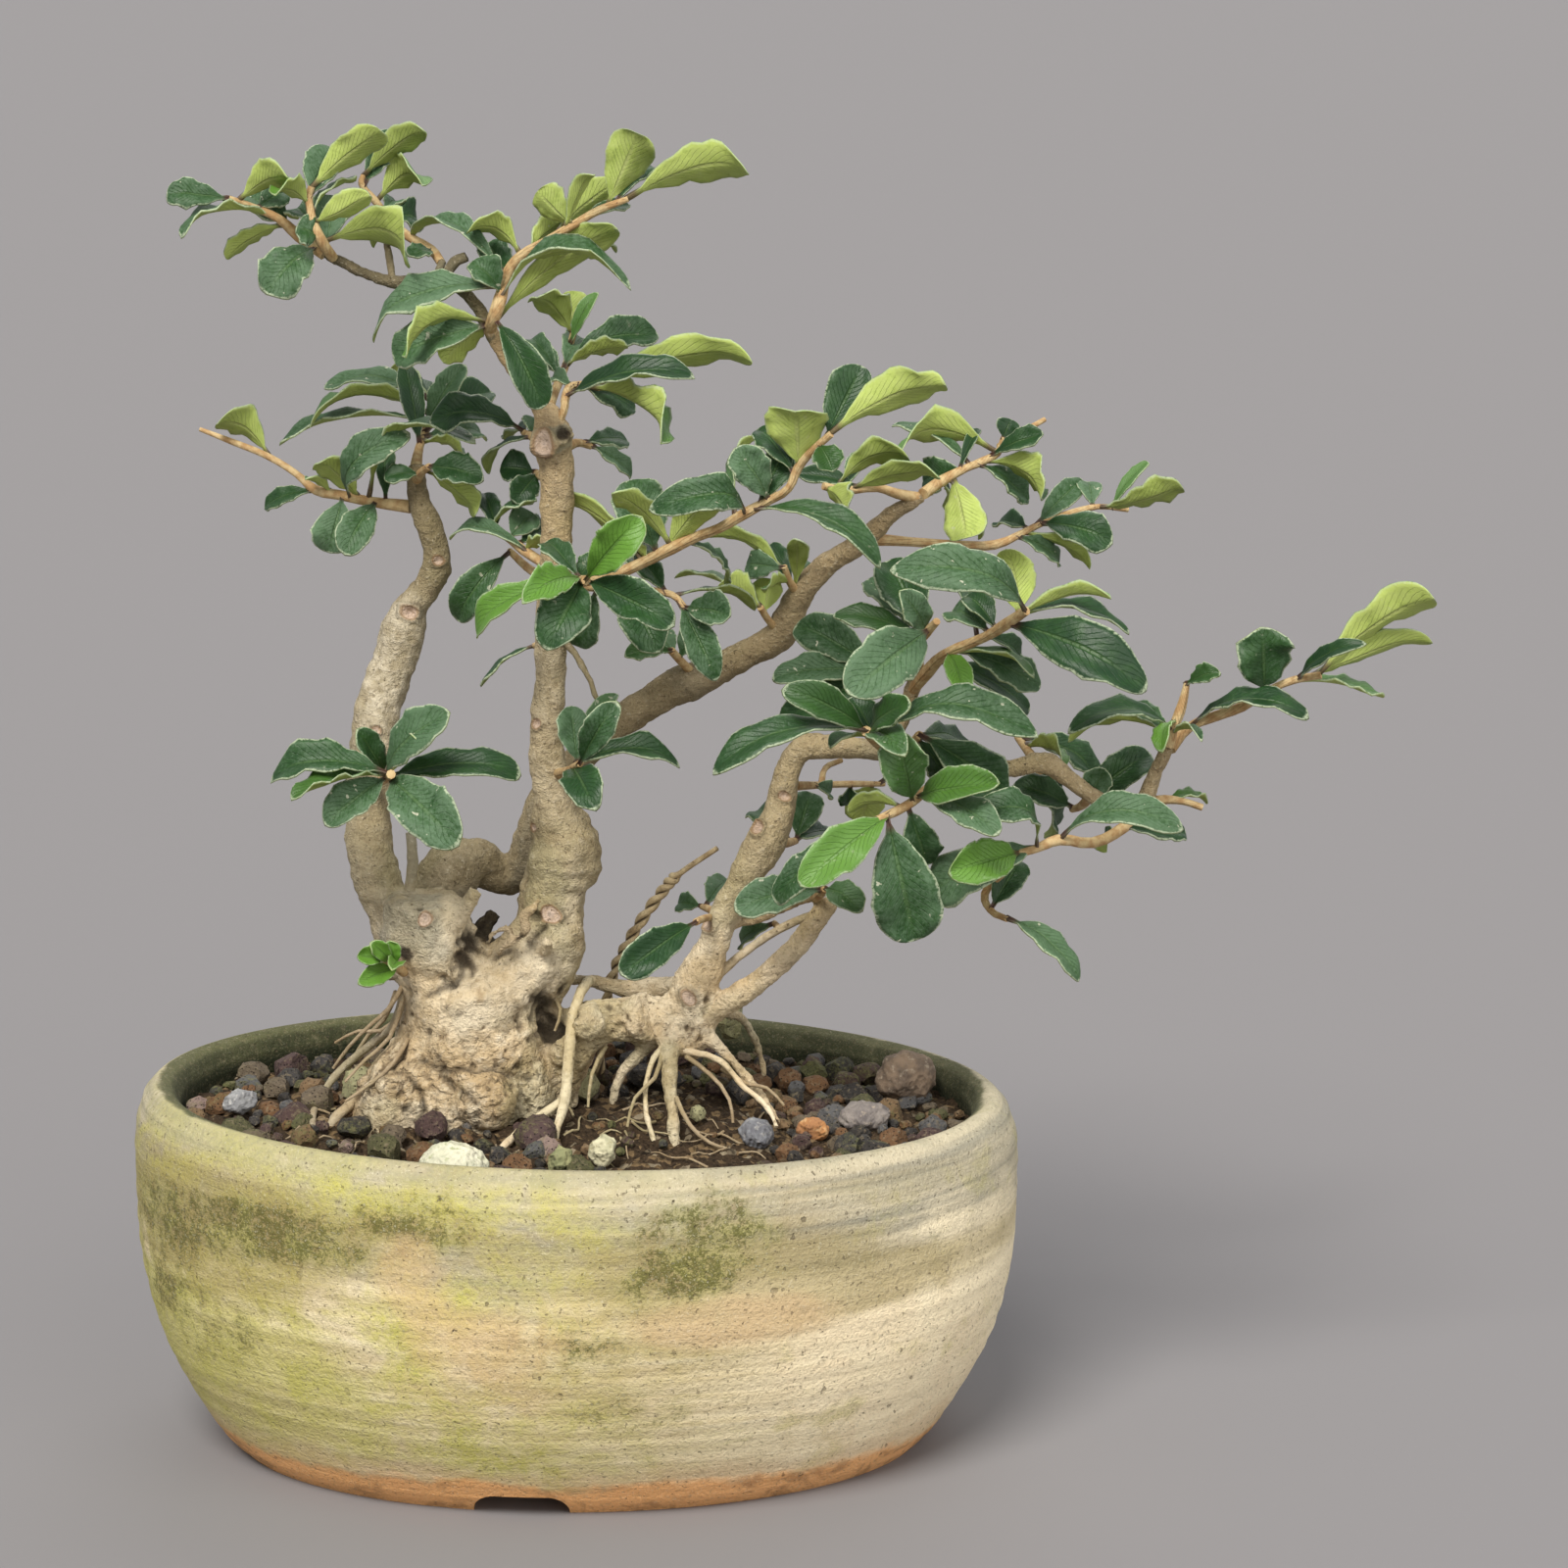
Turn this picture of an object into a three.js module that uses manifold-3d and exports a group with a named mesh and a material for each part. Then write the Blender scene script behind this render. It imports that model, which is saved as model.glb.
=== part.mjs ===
// A wild privet bonsai in a hand-made oval pot.
// Millimetres: X to the right, Y away from the front, Z up, the pot standing on Z = 0.
import * as THREE from 'three';
import { mergeVertices } from 'three/addons/utils/BufferGeometryUtils.js';
import Module from 'manifold-3d';

const wasm = await Module();
wasm.setup();

// Driving dimensions of the pot
const POT_HEIGHT = 74;
const RIM_FALL = 0.024; // the rim stands higher at the left, in mm for each mm along X
const OVAL = 22.6; // half the depth is this much less than half the width
const ROUND = 28; // flat sides round the pot
const FLOOR_TOP = 10.5;
const RECESS = 4.5; // how far the underside stands up inside the foot ring
const FOOT_INNER = 62;
const NOTCH = { x: -9, width: 22, height: 4.5 };
const DRAIN = { x: 30, diameter: 12, sides: 12 };
const SCREEN = { side: 24, thick: 1.2 };
const GAP = 0.3; // between pieces that touch

// Driving dimensions of the filling and of the leaves
const SOIL_LEVEL = 67;
const LARGE_STONE = 5; // a stone with a half length above this has more faces
const GRAIN_STEP = 26;
const GRAIN_RADIUS = [2.8, 4.4];
const RIB_THICK = 1.1;
const STALK_SUNK = 0.35; // a leaf's stalk starts this far past the middle of its twig
const TIP_ROOM = 0.4; // the last leaf springs this far before the twig's end
const LEAF_SPACE = 1.4; // from one leaf's stalk to the next along a twig
const SMALL_LEAF = 10.5; // a leaf narrower than this has one cross-section less
const CUP = 26; // each half of a blade rises from the rib by this angle, in degrees
const CENTRE_X = 41; // the crown reaches far to the right, so the model's middle isn't the pot's

// The tree is laid out as it looks from the front. A spot is [u, v, y]: its place in a square view 1600 wide,
// u to the right and v downwards, and its depth y in mm. The viewer stands at EYE and looks down by TILT
// degrees, and a thing as far off as SIGHT, in mm, looks one unit wide for each mm.
const EYE = [42.6, -870, 312];
const TILT = 11.4;
const SIGHT = 4500;

// Half widths along X and heights of the pot's wall, from the foot over the rim to the inside floor
const WALL_OUTSIDE = [
  [70.3, 0], [75, 5], [81.6, 16], [86.4, 27], [89.4, 40], [90, 52], [89.8, 65], [88.2, 71.5],
];
const WALL_RIM = [[85.5, POT_HEIGHT], [82.3, 73.2]];
const WALL_INSIDE = [[80.6, 70.5], [81, 55], [78, 30], [70, 14], [60, FLOOR_TOP]];

// Small tools

// A seeded draw between 0 and 1, so every build gives the same tree
function draws(seed) {
  let state = seed;
  return () => {
    state = (Math.imul(1664525, state) + 1013904223) >>> 0;
    return state / 2 ** 32;
  };
}

const SINE = Math.sin(THREE.MathUtils.degToRad(TILT));
const COSINE = Math.cos(THREE.MathUtils.degToRad(TILT));

// How far off a spot is along the line of sight, in mm
function sightDepth([, v, y]) {
  const ahead = y - EYE[1];
  return ahead / (COSINE - (SINE * (v - 800)) / SIGHT);
}

// The point in mm of a spot in the front view
function spot([u, v, y]) {
  const depth = sightDepth([u, v, y]);
  const down = depth * (SINE + (COSINE * (v - 800)) / SIGHT);
  return new THREE.Vector3(EYE[0] + (depth * (u - 800)) / SIGHT, y, EYE[2] - down);
}

function toSolid(points, triangles) {
  return new wasm.Manifold(new wasm.Mesh({
    numProp: 3,
    vertProperties: new Float32Array(points.flat()),
    triVerts: new Uint32Array(triangles.flat()),
  }));
}

function geometryToSolid(geometry) {
  geometry.deleteAttribute('normal');
  geometry.deleteAttribute('uv');
  const merged = mergeVertices(geometry, 1e-4);
  return new wasm.Manifold(new wasm.Mesh({
    numProp: 3,
    vertProperties: merged.attributes.position.array,
    triVerts: new Uint32Array(merged.index.array),
  }));
}

// The one body that matters: loose scraps left by a cut are dropped
function largest(solid) {
  return solid.decompose().sort((a, b) => b.volume() - a.volume())[0];
}

function toMesh(name, solid, material) {
  const { vertProperties, triVerts } = solid.getMesh();
  const geometry = new THREE.BufferGeometry();
  geometry.setAttribute('position', new THREE.BufferAttribute(vertProperties, 3));
  geometry.setIndex(new THREE.BufferAttribute(triVerts, 1));
  geometry.computeVertexNormals();
  const mesh = new THREE.Mesh(geometry, material);
  mesh.name = name;
  return mesh;
}

// Skin over a row of equal closed rings, with a flat lid at both ends
function skin(rings) {
  const count = rings[0].length;
  const triangles = [];
  for (let i = 0; i + 1 < rings.length; i += 1) {
    for (let j = 0; j < count; j += 1) {
      const a = i * count + j;
      const b = i * count + (j + 1) % count;
      triangles.push([a, b, b + count], [a, b + count, a + count]);
    }
  }
  const last = (rings.length - 1) * count;
  for (let j = 1; j + 1 < count; j += 1) {
    triangles.push([0, j + 1, j], [last, last + j, last + j + 1]);
  }
  return toSolid(rings.flat(), triangles);
}

// A limb, root or twig along route points, with its own radius at each and an uneven bark
function limb(points, { sides = 6, grow = 0, rough = 0, seed = 1 } = {}) {
  const draw = draws(seed);
  const centres = points.map(([x, y, z]) => new THREE.Vector3(x, y, z));
  const lastIndex = centres.length - 1;
  const tangents = centres.map((_, i) => {
    const ahead = centres[Math.min(i + 1, lastIndex)];
    return ahead.clone().sub(centres[Math.max(i - 1, 0)]).normalize();
  });
  if (grow > 0) {
    centres[0].addScaledVector(tangents[0], -grow);
    centres[lastIndex].addScaledVector(tangents[lastIndex], grow);
  }
  let side = new THREE.Vector3(0, 1, 0).cross(tangents[0]);
  const rings = centres.map((centre, i) => {
    const tangent = tangents[i];
    side = side.addScaledVector(tangent, -side.dot(tangent)).normalize();
    const other = tangent.clone().cross(side);
    return Array.from({ length: sides }, (_, j) => {
      const angle = (2 * Math.PI * j) / sides;
      const radius = points[i][3] * (1 + rough * (draw() - 0.5)) + grow;
      return centre.clone()
        .addScaledVector(side, radius * Math.cos(angle))
        .addScaledVector(other, radius * Math.sin(angle))
        .toArray();
    });
  });
  return skin(rings);
}

// Leaves and shoots

// Shares of the length and of the width at each cross-section of a blade
const BLADE = [[0.24, 0.42], [0.56, 1], [0.85, 0.8]];
const SMALL_BLADE = [[0.34, 0.8], [0.76, 0.92]];

// A leaf from its base on the twig to its tip. facing tilts its upper side from the sky (0) to the front (90),
// and arch lifts the middle of its rib. Its stalk starts inside the twig.
function leaf(base, tip, width, facing, arch, draw) {
  const along = tip.clone().sub(base);
  const length = along.length();
  along.normalize();
  const tilt = THREE.MathUtils.degToRad(facing);
  const upper = new THREE.Vector3(0.06, -Math.sin(tilt), Math.cos(tilt));
  upper.addScaledVector(along, -upper.dot(along)).normalize();
  const side = upper.clone().cross(along);
  const cup = THREE.MathUtils.degToRad(CUP * (0.6 + 0.8 * draw()));
  const wave = width * (0.08 + 0.1 * draw());
  const phase = draw() < 0.5 ? 1 : -1;
  const at = (share, across, lift) => base.clone()
    .addScaledVector(along, share * length)
    .addScaledVector(side, across)
    .addScaledVector(upper, lift + arch * length * 4 * share * (1 - share))
    .toArray();
  const sections = width < SMALL_LEAF ? SMALL_BLADE : BLADE;
  const points = [at(-STALK_SUNK / length, 0, 0)];
  sections.forEach(([share, wide], i) => {
    const across = (width / 2) * wide * Math.cos(cup);
    const rise = (width / 2) * wide * Math.sin(cup);
    const sway = i === 0 ? 0 : wave * phase * (i % 2 ? 1 : -1);
    points.push(at(share, -across, rise + sway), at(share, 0, -RIB_THICK / 2));
    points.push(at(share, across, rise - sway), at(share, 0, RIB_THICK / 2));
  });
  points.push(at(1, 0, 0));
  const triangles = [];
  for (let j = 0; j < 4; j += 1) {
    const k = (j + 1) % 4;
    const end = points.length - 1;
    triangles.push([0, 1 + k, 1 + j], [end - 4 + j, end - 4 + k, end]);
  }
  for (let a = 1; a + 8 < points.length; a += 4) {
    // both faces of a half blade are split along the same diagonal, from its edge
    const b = a + 4;
    triangles.push([a, a + 1, b], [a + 1, b + 1, b], [a + 3, a, b], [a + 3, b, b + 3]);
    triangles.push([a + 1, a + 2, b + 2], [a + 1, b + 2, b + 1], [a + 2, a + 3, b + 2], [a + 3, b + 3, b + 2]);
  }
  return toSolid(points, triangles);
}

// How far along its twig a leaf springs, in mm: at the place of the drawn route nearest to its drawn base
function springPlace(route, points, u, v) {
  let nearest = Infinity;
  let place = 0;
  let passed = 0;
  for (let i = 0; i + 1 < route.length; i += 1) {
    const [fromU, fromV] = route[i];
    const runU = route[i + 1][0] - fromU;
    const runV = route[i + 1][1] - fromV;
    const along = ((u - fromU) * runU + (v - fromV) * runV) / (runU ** 2 + runV ** 2);
    const share = THREE.MathUtils.clamp(along, 0, 1);
    const gap = Math.hypot(fromU + share * runU - u, fromV + share * runV - v);
    const step = points[i].distanceTo(points[i + 1]);
    if (gap < nearest) {
      nearest = gap;
      place = passed + share * step;
    }
    passed += step;
  }
  return Math.min(place, passed - TIP_ROOM);
}

// The point so many mm along a row of points
function pointAlong(points, place) {
  let left = place;
  let i = 0;
  while (i + 2 < points.length && left > points[i].distanceTo(points[i + 1])) {
    left -= points[i].distanceTo(points[i + 1]);
    i += 1;
  }
  return points[i].clone().lerp(points[i + 1], left / points[i].distanceTo(points[i + 1]));
}

// The leaves' spring points, each a little below any that another leaf has taken
function springPoints(route, points, leaves) {
  const taken = [];
  return leaves.map(([u, v]) => {
    let place = springPlace(route, points, u, v);
    while (place > LEAF_SPACE * 2 && taken.some((other) => Math.abs(other - place) < LEAF_SPACE)) {
      place -= LEAF_SPACE / 2;
    }
    taken.push(place);
    return pointAlong(points, place);
  });
}

// A twig narrows from one radius to another
function twig({ radii, route }, grow = 0) {
  const last = route.length - 1;
  const points = route.map((place, i) => [
    ...spot(place).toArray(),
    THREE.MathUtils.lerp(radii[0], radii[1], i / last),
  ]);
  return limb(points, { sides: 3, grow });
}

// A spray is a twig with its leaves
function spray({ radii, route, leaves }, seed) {
  const draw = draws(seed);
  const bases = springPoints(route, route.map(spot), leaves);
  return leaves.reduce((solid, [, , tipU, tipV, tipY, width, facing, arch], i) => (
    solid.add(leaf(bases[i], spot([tipU, tipV, tipY]), width, facing, arch, draw))
  ), twig({ radii, route }));
}

// The tree's limbs and roots: spots along each, with its drawn width there
const WOOD = {
  base: [[468, 1172, 2, 178], [466, 1135, 0, 176], [476, 1088, 0, 158], [486, 1042, 0, 154],
    [482, 1002, 0, 150], [478, 985, 0, 110]],
  flareLeft: [[432, 1075, -6, 60], [404, 1112, -9, 72], [398, 1150, -8, 80], [396, 1172, -8, 76]],
  flareRight: [[520, 1075, -4, 66], [536, 1112, -5, 62], [536, 1150, -4, 58]],
  lobe: [[470, 1012, 0, 120], [450, 975, -2, 98], [437, 945, -3, 90], [434, 920, -3, 84],
    [434, 912, -3, 56]],
  leftStem: [[428, 985, 0, 74], [402, 932, 3, 56], [380, 885, 6, 50], [375, 840, 10, 46],
    [378, 780, 14, 44], [384, 726, 18, 45], [401, 680, 21, 45], [413, 640, 22, 46],
    [419, 622, 22, 36], [435, 599, 23, 30], [446, 572, 23, 30], [440, 540, 23, 27],
    [427, 508, 24, 24], [424, 474, 24, 20]],
  rightLimb: [[500, 1035, 0, 120], [530, 1002, -1, 100], [556, 962, -1, 82], [562, 935, 0, 68],
    [566, 905, 0, 66], [574, 880, 0, 76], [577, 862, 0, 74], [568, 833, 0, 54], [564, 810, 0, 42],
    [558, 775, 0, 36], [558, 740, 0, 34], [561, 690, 0, 33], [563, 630, 0, 33], [568, 560, 0, 33],
    [568, 500, 0, 35], [566, 462, 0, 38], [562, 440, -1, 40], [558, 426, -1, 32], [548, 412, -1, 19],
    [522, 374, -2, 18], [500, 338, -3, 17]],
  thirdStem: [[436, 935, 9, 58], [464, 888, 12, 62], [490, 880, 14, 48], [508, 896, 15, 36],
    [526, 890, 15, 36], [541, 860, 15, 38], [553, 825, 16, 36], [575, 790, 18, 34],
    [605, 760, 20, 32], [640, 732, 22, 34], [680, 706, 25, 36], [718, 690, 27, 36],
    [761, 667, 28, 32], [794, 648, 28, 32], [804, 630, 28, 34], [816, 606, 27, 26],
    [844, 576, 26, 24], [870, 560, 25, 22], [892, 541, 24, 20], [918, 519, 22, 18], [942, 506, 22, 14]],
  topLeft: [[502, 344, -3, 15], [487, 312, -3, 14], [462, 291, -1, 14], [432, 287, 0, 14],
    [405, 288, 1, 15], [375, 280, 2, 13], [350, 268, 3, 12], [330, 260, 3, 10]],
  topLeftTwiglet: [[400, 284, 1, 8], [396, 256, 3, 8], [392, 238, 4, 6]],
  topLeftStub: [[452, 288, 0, 12], [464, 268, 1, 12], [476, 262, 1, 10]],
  topLeftRise: [[446, 288, 0, 9], [448, 276, 3, 9], [451, 268, 6, 8]],
  rightStem: [[688, 1066, 0, 56], [703, 1045, 0, 58], [706, 1019, 0, 50], [716, 990, 0, 42],
    [729, 963, 0, 34], [738, 935, 0, 30], [749, 912, 0, 28], [765, 885, 0, 34], [780, 860, 1, 44],
    [792, 835, 2, 34], [798, 812, 3, 30], [806, 785, 3, 28], [820, 764, 3, 28], [840, 762, 2, 26],
    [870, 763, 0, 24], [905, 768, -1, 22], [950, 778, -2, 20], [1000, 785, -2, 20],
    [1035, 783, -3, 20], [1068, 780, -3, 23], [1090, 795, -4, 20], [1115, 812, -5, 18],
    [1140, 827, -6, 17], [1163, 822, -7, 17], [1178, 790, -7, 17], [1192, 762, -7, 16]],
  rightRise: [[902, 768, -1, 18], [918, 740, 0, 16], [928, 712, 1, 16], [937, 688, 0, 18],
    [938, 680, 0, 14]],
  lowBranch: [[716, 1038, 0, 30], [745, 1022, -2, 26], [777, 999, -3, 24], [815, 963, -3, 24],
    [836, 935, -3, 22], [850, 920, -3, 18]],
  lowUpper: [[735, 945, 1, 14], [765, 939, 2, 12], [795, 928, 2, 13], [822, 917, 0, 12],
    [834, 914, -2, 9]],
  lowMiddle: [[718, 1008, 0, 11], [762, 970, 3, 9], [796, 948, 2, 9], [838, 930, -2, 9]],
  peg: [[458, 948, -6, 22], [474, 930, -8, 20], [486, 908, -9, 15]],
  ledge: [[506, 990, -6, 18], [520, 956, -5, 16], [536, 940, -5, 15], [548, 925, -6, 13]],
  deadTwig: [[418, 908, 0, 12], [421, 880, -2, 12], [419, 850, -2, 11]],
  hangTwig: [[572, 650, -1, 7], [590, 672, -5, 7], [600, 690, -6, 6], [609, 713, -7, 5]],
  rootLeftThin: [[412, 1010, -4, 8], [404, 1040, -6, 8], [383, 1062, 1, 9], [345, 1095, 4, 8],
    [328, 1118, 1, 8], [318, 1158, -19, 7], [316, 1172, -20, 6]],
  rootLeftThick: [[416, 1045, -6, 13], [396, 1090, -6, 12], [370, 1118, -8, 12], [345, 1138, -12, 11],
    [334, 1156, -13, 9]],
  rootHanging: [[604, 1000, 7, 10], [598, 1004, 2, 11], [590, 1020, -4, 11], [583, 1048, -8, 12],
    [580, 1085, -11, 12], [577, 1118, -14, 12], [566, 1160, -22, 8], [564, 1172, -23, 7]],
  rootForward: [[576, 1122, -14, 9], [535, 1150, -20, 9], [508, 1176, -27, 7]],
  rootThick: [[704, 1040, 0, 54], [660, 1041, 0, 48], [622, 1041, -2, 44], [592, 1052, -2, 52],
    [576, 1082, -1, 52], [572, 1112, 0, 46], [570, 1130, 0, 40]],
  rootBack: [[560, 1000, 4, 14], [596, 1000, 7, 13], [640, 1008, 9, 20], [680, 1008, 8, 24],
    [706, 1006, 3, 22]],
  rootDown: [[682, 1058, -4, 22], [682, 1085, -8, 18], [684, 1115, -12, 16], [688, 1152, -17, 15],
    [690, 1182, -20, 12]],
  rootDownLeft: [[668, 1060, -2, 18], [650, 1078, -2, 14], [632, 1100, -2, 12], [624, 1128, -3, 9]],
  rootDownRight: [[716, 1050, -2, 18], [740, 1075, -3, 12], [762, 1100, -4, 11], [786, 1130, -7, 8],
    [796, 1146, -9, 6]],
  rootPale: [[698, 1072, -5, 8], [735, 1083, -7, 7], [758, 1108, -9, 6], [775, 1122, -12, 6],
    [788, 1138, -15, 5], [792, 1150, -17, 5]],
  rootBackRight: [[716, 1032, 1, 14], [752, 1036, 7, 11], [768, 1056, 12, 10], [777, 1080, 14, 9],
    [780, 1100, 14, 8]],
  rootThread: [[690, 1054, -2, 7], [676, 1068, -6, 6], [663, 1090, -10, 6], [659, 1130, -14, 5],
    [666, 1160, -18, 5], [676, 1188, -22, 5]],
};

// The twisted dry stem that stands in the soil behind the second trunk
const TWISTED = {
  route: [[3, 24, 62], [6, 20, 88], [11, 16, 101], [18, 13, 112], [22, 12, 116], [29, 11, 121]],
  half: [1.8, 1.2],
  tipHalf: [0.7, 0.6],
  twistedShare: 0.72,
  halfTurns: 12,
  steps: 26,
};

// Every leafy shoot: the radii of its twig in mm, the spots along it, and its leaves. A leaf has its base
// u and v, the spot of its tip, its width in mm, its facing in degrees and its arch.
const SHOOTS = {
  shoot_top_left_outer: [
    {
      radii: [1.5, 0.8],
      route: [[331, 260, 4], [305, 241, 6], [284, 223, 4], [262, 213, 3], [233, 203, 0]],
      leaves: [
        [234, 204, 170, 197, -2, 7, 50, 0.05], [284, 222, 183, 230, -6, 9, -15, 0.12],
        [290, 230, 230, 263, 6, 6, -40, 0.1], [240, 202, 293, 182, -6, 9, -50, 0.2],
        [290, 223, 245, 198, 12, 9, 40, 0.1], [262, 213, 294, 195, 8, 6, 60, 0.1],
        [322, 254, 272, 300, -6, 12, 55, 0.18],
      ],
    },
  ],
  shoot_top_left_upright: [
    {
      radii: [1.3, 0.8],
      route: [[340, 263, 1], [328, 246, -4], [320, 228, -4], [316, 210, -3], [315, 200, -2],
        [318, 190, -2]],
      leaves: [
        [318, 190, 390, 132, -5, 9, -60, 0.15], [318, 192, 338, 147, 8, 9, 70, 0.1],
        [314, 203, 281, 196, -8, 9, -50, 0.25], [316, 198, 362, 182, 8, 6, -40, 0.1],
        [318, 200, 378, 197, -8, 8, -60, -0.1], [316, 206, 300, 214, 10, 7, 60, 0.1],
        [318, 218, 303, 232, -6, 8, 60, 0.1], [324, 248, 416, 258, -10, 14, -60, 0.35],
        [322, 240, 343, 200, 8, 9, 60, 0.1],
      ],
    },
  ],
  shoot_top_left_inner: [
    {
      radii: [1.2, 0.7],
      route: [[450, 268, 6], [440, 255, 10], [415, 240, 12], [396, 222, 14], [383, 205, 14],
        [369, 187, 14], [371, 178, 14]],
      leaves: [
        [371, 179, 433, 132, 5, 7, -55, 0.1], [371, 180, 403, 135, 20, 8, 60, 0.1],
        [385, 206, 432, 184, 8, 12, -50, 0.35], [384, 206, 406, 206, 20, 6, 50, 0.1],
        [396, 222, 427, 224, 20, 8, 60, 0.1], [442, 257, 417, 262, 4, 6, 40, 0.1],
      ],
    },
  ],
  shoot_crown_tip: [
    {
      radii: [1.7, 0.8],
      route: [[500, 336, -3], [504, 324, -8], [510, 306, -8], [514, 292, -6], [519, 276, -5],
        [531, 262, -5], [557, 246, -6], [586, 229, -6], [612, 214, -6], [641, 203, -6]],
      leaves: [
        [500, 331, 400, 365, -4, 11, 55, 0.1], [501, 330, 415, 366, -19, 9, -45, 0.25],
        [504, 325, 553, 418, -12, 9, 60, 0.2], [500, 330, 452, 368, -3, 9, -50, 0.1],
        [513, 294, 374, 337, 0, 11, 35, 0.15], [513, 292, 480, 268, -8, 8, 45, 0.2],
        [511, 312, 640, 282, -14, 11, 10, 0.3], [519, 276, 497, 244, 2, 8, 60, -0.2],
        [517, 280, 421, 240, 13, 8, 35, 0.25], [531, 261, 478, 235, -8, 9, -50, 0.35],
        [540, 256, 580, 224, 2, 8, -60, 0.1], [545, 253, 592, 256, -11, 6, -60, 0.1],
        [557, 247, 613, 258, 0, 6, -50, 0.1], [562, 243, 630, 250, 13, 5, 40, 0.1],
        [585, 229, 549, 194, -6, 8, -60, -0.1], [586, 229, 602, 173, -12, 4, 0, 0.05],
        [588, 228, 632, 184, 4, 8, -60, 0.1], [590, 226, 630, 234, -12, 8, -60, 0.2],
        [641, 203, 764, 165, -14, 10, -55, 0.12], [641, 203, 668, 166, 4, 5, 30, 0.1],
        [639, 203, 652, 135, -8, 13, -80, 0.05],
      ],
    },
  ],
  shoot_crown_back: [
    {
      radii: [1.2, 0.8],
      route: [[558, 434, 2], [563, 410, 11], [570, 390, 19], [578, 370, 28], [583, 348, 32],
        [588, 330, 32]],
      leaves: [
        [584, 342, 548, 304, 25, 10, -60, 0.2], [587, 334, 578, 298, 37, 9, -80, 0.1],
        [579, 367, 672, 345, 33, 9, 45, 0.2], [576, 374, 640, 356, 21, 6, -30, 0.1],
        [573, 384, 545, 366, 34, 7, 50, 0.1], [574, 380, 602, 352, 43, 8, 20, 0.15],
      ],
    },
  ],
  shoot_crown_right: [
    {
      radii: [1.1, 0.8],
      route: [[566, 438, -2], [575, 420, -2], [577, 406, 2], [585, 393, 6], [612, 396, 5]],
      leaves: [
        [612, 396, 767, 358, 2, 10, -60, 0.12], [573, 404, 704, 378, -7, 10, 40, 0.12],
        [610, 396, 682, 446, -14, 13, -50, 0.1], [600, 395, 648, 418, 12, 8, 50, 0.1],
        [582, 394, 560, 386, 12, 5, 40, 0.1],
      ],
    },
  ],
  shoot_left_high: [
    {
      radii: [1.4, 0.8],
      route: [[424, 478, 25], [428, 456, 34], [438, 428, 43], [441, 408, 46]],
      leaves: [
        [439, 424, 315, 424, 34, 9, -30, 0.18], [436, 432, 285, 453, 39, 8, -5, 0.12],
        [441, 408, 331, 398, 48, 9, 30, 0.2], [441, 409, 474, 372, 40, 8, 50, 0.1],
        [440, 412, 400, 377, 56, 8, -35, 0.15], [439, 420, 502, 398, 51, 9, 50, 0.1],
        [436, 438, 492, 442, 49, 9, 50, 0.1], [433, 448, 474, 462, 31, 6, -30, 0.1],
      ],
    },
  ],
  shoot_left_reach: [
    {
      radii: [1.5, 0.6],
      route: [[419, 517, 25], [379, 512, 27], [346, 505, 28], [322, 500, 30], [303, 484, 31],
        [272, 465, 33], [240, 452, 34], [204, 438, 36]],
      leaves: [
        [274, 467, 222, 431, 29, 9, -55, 0.3], [350, 506, 337, 563, 23, 11, 60, 0.1],
        [384, 513, 352, 562, 15, 8, 50, 0.1], [345, 504, 414, 441, 20, 9, 50, 0.35],
        [344, 503, 325, 470, 20, 8, -50, 0.1], [377, 512, 482, 447, 14, 10, 10, 0.3],
      ],
    },
  ],
  shoot_left_top: [
    {
      radii: [1.2, 0.9],
      route: [[424, 492, 24], [430, 482, 18], [438, 476, 14]],
      leaves: [
        [437, 477, 492, 488, 9, 9, 60, 0.1], [436, 478, 488, 524, 13, 9, -60, 0.1],
      ],
    },
  ],
  shoot_knob: [
    {
      radii: [1.3, 0.9],
      route: [[556, 452, 4], [544, 446, 12], [534, 441, 18]],
      leaves: [
        [535, 441, 438, 430, 16, 11, 45, 0.22], [538, 443, 520, 450, 29, 6, 40, 0.1],
        [540, 444, 548, 426, 22, 6, 50, 0.1],
      ],
    },
  ],
  shoot_stem_upper_left: [
    {
      radii: [1.1, 0.9],
      route: [[562, 490, 5], [552, 486, 14], [547, 482, 19]],
      leaves: [
        [547, 482, 510, 478, 19, 9, 60, 0.1], [549, 484, 527, 512, 11, 7, 55, 0.1],
      ],
    },
  ],
  shoot_stem_upper_right: [
    {
      radii: [1.3, 0.9],
      route: [[567, 459, 0], [580, 455, 6], [592, 452, 12], [603, 455, 14]],
      leaves: [
        [603, 455, 646, 486, 16, 6, 40, 0.1], [600, 454, 640, 452, 22, 6, 40, 0.1],
      ],
    },
  ],
  shoot_left_middle: [
    {
      radii: [1.3, 0.8],
      route: [[560, 578, 4], [535, 562, 9], [517, 548, 12], [500, 538, 14]],
      leaves: [
        [501, 537, 549, 514, 10, 7, 10, 0.15], [503, 538, 494, 503, 20, 6, 30, 0.1],
        [520, 550, 545, 524, 15, 8, 50, 0.1], [535, 562, 557, 553, 2, 5, -40, 0.1],
        [528, 556, 560, 540, 19, 8, 60, 0.1],
      ],
    },
  ],
  shoot_left_droop: [
    {
      radii: [1.2, 0.9],
      route: [[565, 592, 1], [552, 587, 9], [538, 579, 16], [520, 562, 22]],
      leaves: [
        [520, 562, 465, 632, 18, 9, 60, 0.25],
      ],
    },
  ],
  shoot_stem_narrow: [
    {
      radii: [1, 0.8],
      route: [[560, 655, 4], [552, 657, 12], [546, 659, 18]],
      leaves: [
        [548, 658, 560, 690, 21, 6, 40, 0.1],
      ],
    },
  ],
  shoot_centre: [
    {
      radii: [1.3, 1],
      route: [[574, 590, -3], [588, 592, -15], [598, 592, -27]],
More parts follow.
